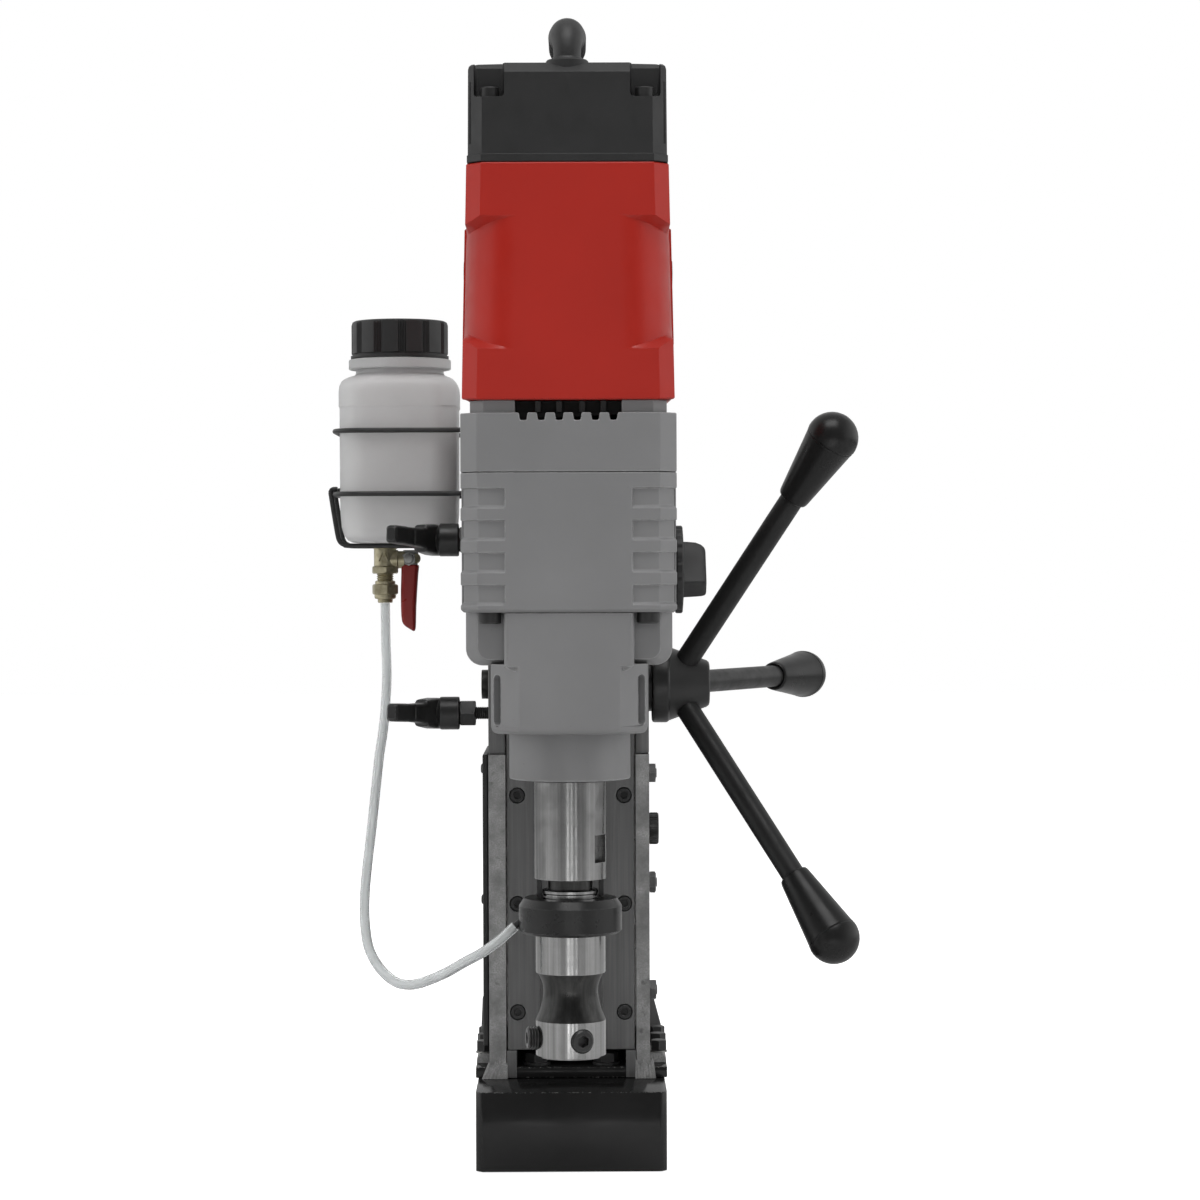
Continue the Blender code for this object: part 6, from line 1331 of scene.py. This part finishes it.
def build_clamps():
    across = Vector((-CLAMP_WAY.y, CLAMP_WAY.x, 0.0)).normalized()
    upright = CLAMP_WAY.cross(across)
    for place, height in CLAMP_HEIGHTS.items():
        shape = bmesh.new()
        middle = Vector((0.0, CLAMP_Y, height))
        boss, arm, nut, stud = [middle + Vector((x, 0.0, 0.0)) for x in CLAMP_PLACES]
        add_lathe(shape, CLAMP_BOSS, turn_to(boss, LEFT), 56)
        rings = []
        for along, half_z, half_w in CLAMP_SECTIONS:
            ring = rounded(half_w, half_z, half_w * 0.55, 0.0, 5)
            spot = arm + CLAMP_WAY * along
            rings.append([spot + across * u - upright * v for u, v, _ in ring])
        add_loft(shape, rings)
        add_hex(shape, nut, RIGHT, 0.0143, 0.0094)
        add_thread(shape, stud, RIGHT, 0.0150, 0.0038, 0.0012)
        piece(f"clamp_lever_{place}_handle", shape, SATIN_BLACK, f"{place}_clamp", "black_paint",
              f"clamp_lever_{place}", sharp=30.0)


def fluted(radius, height, sides=216):
    """A ring with shallow flutes round it."""
    points = []
    for i in range(sides):
        angle = math.tau * i / sides
        reach = radius - KNOB_FLUTE_DEPTH * max(0.0, math.cos(angle * KNOB_FLUTES)) ** 2
        points.append((reach * math.cos(angle), reach * math.sin(angle), height))
    return points


def build_speed_knob():
    shape = bmesh.new()
    at = Vector((GEARBOX_HALF, AXIS_Y, SELECTOR_HEIGHT))
    add_loft(shape, [fluted(radius, height) for radius, height in KNOB_RIM], turn_to(at, RIGHT))
    add_rod(shape, at + Vector((-0.0120, 0.0, 0.0)), at + Vector((0.0010, 0.0, 0.0)), 0.0050, 32)
    turn = Matrix.Rotation(KNOB_TURN, 3, "X")
    rings = []
    for out, half_w, upper, lower in KNOB_GRIP:
        ring = rounded(half_w, (upper + lower) / 2, 0.0016, 0.0, 4, (0.0, (upper - lower) / 2))
        rings.append([at + turn @ Vector((out, u, v)) for u, v, _ in ring])
    add_loft(shape, rings)
    piece("speed_selector_knob", shape, BLACK_MOULDING, "speed_selector", "black_plastic", "speed_knob",
          sharp=30.0)


build_bottle()
build_bottle_cap()
build_basket()
build_valve()
build_valve_lever()
build_clamps()
build_speed_knob()


# Stand: walls with their welds, fasteners, side cover, slide screws and control box

SLIDE_FACE = -0.0592
SLIDE_SCREW_X = 0.0315
SLIDE_SCREW_LOW = 0.0850
SLIDE_SCREW_PITCH = 0.064
WALL_FACES = {-1: 0.0485, 1: 0.0465}
WELD_LOW = 0.0462
WELD_FLARE = {-1: 0.0042, 1: 0.0012}
WELD_STEPS = 48
FLANGE_LOW = 0.0529
FLANGE_TOP = 0.0585
FLANGE_OUT = 0.0564
GUSSET_TOP = 0.0803
GUSSET_CREST = {-1: 0.0555, 1: 0.0508}
FOOT_BOLTS = (-0.0370, -0.0080, 0.0210)
BASE_BOLTS = (-0.0205, 0.0205)
GIB_Y = -0.0419
GIB_HEIGHTS = (0.0960, 0.1600, 0.2250)
LOCK_HEIGHT = 0.1920
COVER_HEAD = ((0.0030, 0.0), (0.0028, 0.0007), (0.0021, 0.0012), (0.0014, 0.0013))
LID_HEAD = ((0.0030, 0.0), (0.0028, 0.0010), (0.0020, 0.0015))
LID_FACE = 0.0903
LID_MIDDLE = 0.1481
LID_HALF = (0.0352, 0.0542)
SWITCHES = {"drill": 0.1651, "magnet": 0.1251}
TRIM_SECTION = ((0.0168, 0.0138, 0.0030, 0.0), (0.0168, 0.0138, 0.0030, 0.0014),
                (0.0160, 0.0130, 0.0026, 0.0020), (0.0134, 0.0104, 0.0016, 0.0020),
                (0.0130, 0.0100, 0.0014, 0.0012), (0.0130, 0.0100, 0.0014, 0.0))


def build_slide_screws():
    shape = bmesh.new()
    for side in SIDES:
        for row in range(3):
            at = (side * SLIDE_SCREW_X, SLIDE_FACE + 0.0046, SLIDE_SCREW_LOW + SLIDE_SCREW_PITCH * row)
            add_cap_screw(shape, at, FRONT, 0.0086, 0.0043, 0.0040, spin=0.3 + row * 0.9 + side)
    piece("slide_screws", shape, OXIDE, "carriage", "black_oxide")


def weld_ring(side, step):
    """One section of the rippled weld bead under a wall, widening towards the outside."""
    t = step / WELD_STEPS
    ripple = math.sin(step * 0.9 + side) + 0.7 * math.sin(step * 2.1 + 2 * side)
    out = 0.0022 + 0.00016 * ripple
    top = 0.0556 + 0.0016 * math.sin(step * 0.30 + side) + 0.0005 * math.sin(step * 1.3)
    section = [(-0.0600, WELD_LOW), (-0.0606 - out, WELD_LOW), (-0.0604 - out * 0.80, WELD_LOW + 0.0026),
               (-0.0602 - out * 0.50, WELD_LOW + 0.0052), (-0.0601 - out * 0.18, top - 0.0010),
               (-0.0598, top)]
    flare = WELD_FLARE[side] * t / 0.0073
    return [(side * (0.0376 + 0.0110 * t + flare * max(0.0, 0.0535 - z)), y, z) for y, z in section]


def build_walls():
    for name, side in (("left", -1), ("right", 1)):
        shape = from_node(f"frame_{name}_wall")
        for face in shape.faces:
            if abs(face.calc_center_median().x) > WALL_FACES[side] - 0.0003:
                face.material_index = 1
        ease(shape, 0.0005, 2, 50.0)
        piece(f"frame_{name}_wall_plate", shape, [PLATE, PHOSPHATE], "stand", "rough_steel",
              f"frame_{name}_wall")
        bead = bmesh.new()
        add_loft(bead, [weld_ring(side, step) for step in range(WELD_STEPS + 1)])
        piece(f"{name}_foot_weld", bead, PLATE, "stand", "rough_steel", sharp=45.0)


def build_foot_bolts():
    flanges = bmesh.new()
    bolts = bmesh.new()
    for side in SIDES:
        wall, out = side * (WALL_FACES[side] + 0.0001), side * FLANGE_OUT
        flange = [(wall, FLANGE_LOW), (out, FLANGE_LOW), (side * 0.0562, 0.0560),
                  (side * 0.0545, FLANGE_TOP), (wall, FLANGE_TOP)]
        add_prism(flanges, flange, -0.0460, 0.0300, "Y")
        for y in FOOT_BOLTS:
            at = Vector((side * 0.0520, y, FLANGE_TOP))
            add_lathe(bolts, [(0.0050, -0.0004), (0.0050, 0.0006), (0.0046, 0.0008)], turn_to(at), 32,
                      finish=1)
            add_hex(bolts, at + Vector((0.0, 0.0, 0.0007)), UP, 0.0088, 0.0062, spin=0.4 + y * 10)
        add_block(flanges, (side * 0.0322, -0.0604, 0.0464), (side * 0.0380, -0.0500, 0.0626), 0.0,
                  finish=1)
        gusset = [(wall, FLANGE_LOW), (out, FLANGE_LOW), (out, 0.0590),
                  (side * GUSSET_CREST[side], GUSSET_TOP), (wall, GUSSET_TOP)]
        add_prism(flanges, gusset, 0.0436, 0.0504, "Y", 1)
    ease(flanges, 0.0005, 2, 30.0)
    piece("foot_flanges", flanges, [PLATE, PHOSPHATE], "stand", "rough_steel")
    for x in BASE_BOLTS:
        at = Vector((x, -0.0478, FLANGE_LOW))
        add_lathe(bolts, [(0.0080, 0.0), (0.0080, 0.0012), (0.0076, 0.0014)], turn_to(at), 40)
        add_hex(bolts, at + Vector((0.0, 0.0, 0.0012)), UP, 0.0128, 0.0058, spin=0.25 + x * 20)
    piece("foot_bolts", bolts, [OXIDE, ZINC], "stand", "black_oxide")


def knurled(radius, height, depth=0.0, sides=72):
    """A ring whose every other point is set back by the knurl's depth."""
    points = []
    for i in range(sides):
        reach, angle = radius - depth * (i % 2), math.tau * i / sides
        points.append((reach * math.cos(angle), reach * math.sin(angle), height))
    return points


def build_gib_screws():
    nuts = bmesh.new()
    for z in GIB_HEIGHTS:
        at = Vector((WALL_FACES[1], GIB_Y, z))
        add_hex(nuts, at, RIGHT, 0.0110, 0.0041, spin=z * 9)
        add_thread(nuts, at + Vector((0.0036, 0.0, 0.0)), RIGHT, 0.0011, 0.0029, 0.0006)
    piece("gib_lock_nuts", nuts, PHOSPHATE, "stand", "bright_steel", sharp=28.0)
    screw = bmesh.new()
    rings = [knurled(0.0088, 0.0), knurled(0.0095, 0.0007, 0.0004), knurled(0.0095, 0.0048, 0.0004),
             knurled(0.0088, 0.0057), knurled(0.0042, 0.0057), knurled(0.0036, 0.0050)]
    add_loft(screw, rings, turn_to((WALL_FACES[1], GIB_Y, LOCK_HEIGHT), RIGHT))
    piece("slide_lock_screw", screw, SATIN_BLACK, "stand", "black_oxide", sharp=28.0)


def build_side_cover():
    shape = from_node("side_cover")
    ease(shape, 0.0008, 3, 40.0)
    heads = bmesh.new()
    for y in (-0.0500, 0.0320):
        for z in (0.0740, 0.1510, 0.2285):
            add_socket_head(heads, (-0.0518, y, z), LEFT, COVER_HEAD, 0.0022, 0.0012, 0.0004)
    piece("side_cover_panel", shape, BLACK_MOULDING, "stand", "black_plastic", "side_cover")
    piece("side_cover_screws", heads, OXIDE, "stand", "black_oxide")


def build_control_box():
    flat = Matrix.Rotation(math.radians(-90.0), 4, "X")
    lid = bmesh.new()
    wide, tall = LID_HALF
    add_loft(lid, [rounded(wide - inset, tall - inset, corner, height, 6) for inset, corner, height in
                   ((0.0, 0.004, 0.0), (0.0, 0.004, 0.0010), (0.0008, 0.0034, 0.0018))],
             Matrix.Translation((0.0, LID_FACE, LID_MIDDLE)) @ flat)
    openings = bmesh.new()
    for z in SWITCHES.values():
        add_block(openings, (-0.0131, LID_FACE - 0.0020, z - 0.0101),
                  (0.0131, LID_FACE + 0.0040, z + 0.0101), 0.0)
    lid = carve(lid, openings)
    piece("control_box_lid", lid, BLACK_MOULDING, "stand", "black_plastic")
    trim = bmesh.new()
    seat = LID_FACE + 0.0016
    for x in (-0.0300, 0.0300):
        for z in (0.1000, 0.1962):
            add_socket_head(trim, (x, seat, z), BACK, LID_HEAD, 0.0024, 0.0014, 0.0004)
    for z in SWITCHES.values():
        rings = [rounded(*section, 5) for section in TRIM_SECTION]
        add_loft(trim, rings, Matrix.Translation((0.0, seat, z)) @ flat, True, finish=1)
    piece("control_box_trim", trim, [OXIDE, BLACK_GLOSS], "stand", "black_oxide")


build_slide_screws()
build_walls()
build_foot_bolts()
build_gib_screws()
build_side_cover()
build_control_box()


# Fasteners and marks on the sides and the back

HEAD_BLOCK_BACK = 0.0255
FRAME_BACK = 0.0600
HEAD_BLOCK_FACES = ((-0.0484, LEFT), (0.0464, RIGHT))
BRACKET_FACE = (-0.0220, -0.0439)
BRUSH_HEIGHT = 0.5105
BRUSH_CAP = ((0.0078, -0.0010), (0.0078, 0.0006), (0.0072, 0.0012), (0.0058, 0.0012), (0.0054, 0.0006),
             (0.0020, 0.0006))
MARK_BACK = 0.0003
MARK_FRONT = 0.0002


def build_back_fasteners():
    shape = bmesh.new()
    for x in (-0.0360, 0.0340):
        for z in (0.2480, 0.3110, 0.3740):
            add_cap_screw(shape, (x, HEAD_BLOCK_BACK, z), BACK, 0.0085, 0.0046, 0.0040, spin=z * 30)
    for x in (-0.0280, 0.0280):
        for z in (0.0640, 0.2230):
            add_cap_screw(shape, (x, FRAME_BACK, z), BACK, 0.0085, 0.0046, 0.0040, spin=x * 40)
    for y in (-0.0200, 0.0050):
        for x, way in HEAD_BLOCK_FACES:
            add_button_screw(shape, (x, y, 0.3300), way, 0.0080)
    piece("stand_fasteners", shape, OXIDE, "stand", "black_oxide")


def build_bracket_bolts():
    shape = bmesh.new()
    for z in (0.4020, 0.4260):
        at = Vector((*BRACKET_FACE, z))
        add_lathe(shape, [(0.0060, 0.0), (0.0060, 0.0008), (0.0056, 0.0010)], turn_to(at, BACK), 32, finish=1)
        add_hex(shape, at + Vector((0.0, 0.0009, 0.0)), BACK, 0.0090, 0.0040, spin=z * 20)
    piece("bracket_bolts", shape, [OXIDE, ZINC], "carriage", "black_oxide")


def build_brush_caps():
    shape = bmesh.new()
    for side in SIDES:
        at = Vector((side * 0.0568, AXIS_Y, BRUSH_HEIGHT))
        add_lathe(shape, BRUSH_CAP, turn_to(at, (side, 0.0, 0.0)), 40)
        bar = at + Vector((side * 0.0009, 0.0, 0.0))
        half_bar = Vector((0.0004, 0.0048, 0.0007))
        add_block(shape, bar - half_bar, bar + half_bar, 0.0001, 1)
    piece("brush_caps", shape, BLACK_MOULDING, "carriage", "black_plastic")


def build_switch_marks():
    """A bar on the drill's switch and a ring on the magnet's."""
    for switch, z in SWITCHES.items():
        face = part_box(f"{switch}_switch")[1].y
        shape = bmesh.new()
        if switch == "drill":
            add_block(shape, (-0.0006, face - MARK_BACK, z - 0.0036),
                      (0.0006, face + MARK_FRONT, z + 0.0036), 0.0001, 1)
        else:
            ring = [(0.0024, -MARK_BACK), (0.0024, MARK_FRONT), (0.0034, MARK_FRONT), (0.0034, -MARK_BACK)]
            add_lathe(shape, ring, turn_to((0.0, face, z), BACK), 40, True)
        piece(f"{switch}_switch_mark", shape, MILKY, f"{switch}_button", "milky_plastic")


build_back_fasteners()
build_bracket_bolts()
build_brush_caps()
build_switch_marks()


# Finishes and edge roundings of the nodes that keep their shape

NODE_FINISHES = {
    "magnet_yoke": (BLACK_PAINT, 0.0012), "magnet_coil": (RESIN, 0.0), "base_plate": (BLACK_PAINT, 0.0008),
    "frame_back_wall": (PLATE, 0.0006), "gib_strip": (BRONZE, 0.0), "head_block": (PHOSPHATE, 0.0008),
    "shaft_bush_left": (BRONZE, 0.0), "shaft_bush_right": (BRONZE, 0.0),
    "control_box": (BLACK_MOULDING, 0.0015), "circuit_board": (BOARD, 0.0),
    "cable_gland": (BLACK_MOULDING, 0.0006), "feed_shaft": (OXIDE, 0.0005), "magnet_switch": (RED, 0.0008),
    "drill_switch": (BLACK_MOULDING, 0.0008), "slide_plate": (PHOSPHATE, 0.0008),
    "slide_rail_left": (GROUND, 0.0005), "slide_rail_right": (GROUND, 0.0005), "feed_rack": (OXIDE, 0.0),
    "saddle": (GREY, 0.001), "motor_stator": (COPPER, 0.0), "brush_holder_left": (BLACK_MOULDING, 0.0005),
    "brush_holder_right": (BLACK_MOULDING, 0.0005), "spindle_bearing_lower": (GROUND, 0.0),
    "spindle_bearing_upper": (GROUND, 0.0), "motor_bearing_lower": (GROUND, 0.0),
    "motor_bearing_upper": (GROUND, 0.0), "basket_bracket": (SATIN_BLACK, 0.0006), "lay_shaft": (OXIDE, 0.0),
    "armature": (GROUND, 0.0),
}
WELD_DISTANCE = 0.00001
SMOOTH_ANGLE = math.radians(32.0)
ROUNDING_ANGLE = math.radians(35.0)


def smooth_skin():
    """Node group that shades a mesh smooth between its sharp edges."""
    group = bpy.data.node_groups.new("smooth_skin", "GeometryNodeTree")
    group.interface.new_socket("Geometry", in_out="INPUT", socket_type="NodeSocketGeometry")
    group.interface.new_socket("Geometry", in_out="OUTPUT", socket_type="NodeSocketGeometry")
    nodes, links = group.nodes, group.links
    smooth = nodes.new("GeometryNodeSetShadeSmooth")
    sharp = nodes.new("GeometryNodeSetShadeSmooth")
    sharp.domain = "EDGE"
    sharp.inputs["Shade Smooth"].default_value = False
    angle = nodes.new("GeometryNodeInputMeshEdgeAngle")
    test = nodes.new("FunctionNodeCompare")
    test.inputs[1].default_value = SMOOTH_ANGLE
    links.new(angle.outputs[0], test.inputs[0])
    links.new(test.outputs[0], sharp.inputs["Selection"])
    links.new(nodes.new("NodeGroupInput").outputs[0], smooth.inputs["Geometry"])
    links.new(smooth.outputs[0], sharp.inputs["Geometry"])
    links.new(sharp.outputs[0], nodes.new("NodeGroupOutput").inputs[0])
    return group


def dress_nodes():
    """Give each node its finish, join its loose triangles, round its edges and shade it smooth."""
    skin = smooth_skin()
    for name, (finish, edge) in NODE_FINISHES.items():
        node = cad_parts[name]
        for place in node.material_slots:
            place.link = "OBJECT"
            place.material = finish
        node.modifiers.new("join", "WELD").merge_threshold = WELD_DISTANCE
        if edge:
            rounding = node.modifiers.new("soft_edges", "BEVEL")
            rounding.width = edge
            rounding.segments = 2
            rounding.limit_method = "ANGLE"
            rounding.angle_limit = ROUNDING_ANGLE
        node.modifiers.new("smooth", "NODES").node_group = skin


dress_nodes()


# Stage: a pale floor and even light

FLOOR_SIZE = 14.0
FLOOR_DROP = 0.0004
FLOOR_WHITE = 0.80
WORLD_LIGHT = 0.22
PANE_MIDDLE = 0.109
PANE_PITCH = 0.2335
PANE_EDGE = (0.046, 0.034)
PANE_ROW = PANE_PITCH * 1.3
PANE_NEAR = 0.45
PANE_FAR = 3.1
PANE_LIGHT = 2.3
FRONT_TO_BACK = {"From Min": -1.0, "From Max": 0.6, "To Min": 0.12, "To Max": 0.72}
SIDE_BANDS = {"From Min": 0.62, "From Max": 0.97, "To Min": 0.0, "To Max": 0.85}
LAMPS = (("left_box", (-1.75, -0.75, 0.75), (0.0, -0.1, 0.35), 0.9, 1.7, 14.0, False),
         ("right_box", (1.75, -0.75, 0.75), (0.0, -0.1, 0.35), 0.9, 1.7, 14.0, False),
         ("front_box", (0.0, -2.4, 0.65), (0.0, -0.1, 0.30), 1.2, 1.0, 8.0, False),
         ("top_box", (0.0, -0.75, 1.9), (0.0, -0.1, 0.3), 1.2, 0.9, 15.0, True),
         ("back_box", (0.4, 1.6, 1.2), (0.0, 0.0, 0.35), 1.6, 1.0, 9.0, False))


def window_panes(made):
    """Three bars of light that run forward over the floor from the spindle, for its steel to mirror."""
    parts = made.nodes.new("ShaderNodeSeparateXYZ")
    made.links.new(made.place, parts.inputs[0])
    ahead = made.combine("SUBTRACT", AXIS_Y, parts.outputs["Y"])
    aside = made.combine("SUBTRACT", made.combine("DIVIDE", parts.outputs["X"], ahead), PANE_MIDDLE)
    bars = made.spread(made.combine("PINGPONG", aside, PANE_PITCH / 2), *PANE_EDGE, 0.0, PANE_LIGHT)
    within = made.combine("LESS_THAN", made.combine("ABSOLUTE", aside, 0.0), PANE_ROW)
    near = made.combine("GREATER_THAN", ahead, PANE_NEAR)
    far = made.combine("LESS_THAN", ahead, PANE_FAR)
    reach = made.combine("MULTIPLY", near, far)
    return made.combine("MULTIPLY", made.combine("MULTIPLY", bars, within), reach)


def build_floor():
    shape = bmesh.new()
    bmesh.ops.create_grid(shape, x_segments=1, y_segments=1, size=FLOOR_SIZE / 2)
    mesh = bpy.data.meshes.new("floor")
    shape.to_mesh(mesh)
    shape.free()
    floor = bpy.data.objects.new("floor", mesh)
    floor.location.z = -FLOOR_DROP
    bpy.context.scene.collection.objects.link(floor)
    made = Finish("pale_floor", (0.86, 0.86, 0.86), 0.75, shine=0.15)
    rays = made.nodes.new("ShaderNodeLightPath").outputs
    made.shader.inputs["Emission Color"].default_value = (1.0, 1.0, 1.0, 1.0)
    white = made.combine("MULTIPLY", rays["Is Camera Ray"], FLOOR_WHITE)
    mirrored = made.combine("MULTIPLY", rays["Is Glossy Ray"], window_panes(made))
    made.links.new(made.combine("ADD", white, mirrored), made.shader.inputs["Emission Strength"])
    mesh.materials.append(made.material)


def build_world():
    """White behind the part, dim light around it, and brighter sides for its metals to mirror."""
    world = bpy.data.worlds.new("studio")
    bpy.context.scene.world = world
    world.use_nodes = True
    nodes = world.node_tree.nodes
    links = world.node_tree.links
    background = nodes["Background"]
    background.inputs["Color"].default_value = (1.0, 1.0, 1.0, 1.0)
    rays = nodes.new("ShaderNodeLightPath").outputs
    parts = nodes.new("ShaderNodeSeparateXYZ")
    links.new(nodes.new("ShaderNodeTexCoord").outputs["Generated"], parts.inputs[0])
    aside = nodes.new("ShaderNodeMath")
    aside.operation = "ABSOLUTE"
    links.new(parts.outputs["X"], aside.inputs[0])
    mirrored = nodes.new("ShaderNodeMath")
    for place, (socket, limits) in enumerate(((parts.outputs["Y"], FRONT_TO_BACK),
                                              (aside.outputs[0], SIDE_BANDS))):
        share = nodes.new("ShaderNodeMapRange")
        for name, number in limits.items():
            share.inputs[name].default_value = number
        links.new(socket, share.inputs["Value"])
        links.new(share.outputs["Result"], mirrored.inputs[place])
    level = None
    for ray, light in (("Is Glossy Ray", mirrored.outputs[0]), ("Is Transmission Ray", 1.0),
                       ("Is Camera Ray", 1.0)):
        choice = nodes.new("ShaderNodeMix")
        links.new(rays[ray], choice.inputs[0])
        if level:
            choice.inputs[3].default_value = light
            links.new(level, choice.inputs[2])
        else:
            links.new(light, choice.inputs[3])
            choice.inputs[2].default_value = WORLD_LIGHT
        level = choice.outputs[0]
    links.new(level, background.inputs["Strength"])


def build_lamps():
    for name, place, aim, width, height, power, mirrored in LAMPS:
        data = bpy.data.lights.new(name, "AREA")
        data.shape = "RECTANGLE"
        data.size = width
        data.size_y = height
        data.energy = power
        lamp = bpy.data.objects.new(name, data)
        lamp.location = place
        lamp.rotation_euler = (Vector(aim) - Vector(place)).to_track_quat("-Z", "Y").to_euler()
        lamp.visible_glossy = mirrored
        bpy.context.scene.collection.objects.link(lamp)


build_floor()
build_world()
build_lamps()
bpy.context.scene.view_settings.view_transform = "Standard"
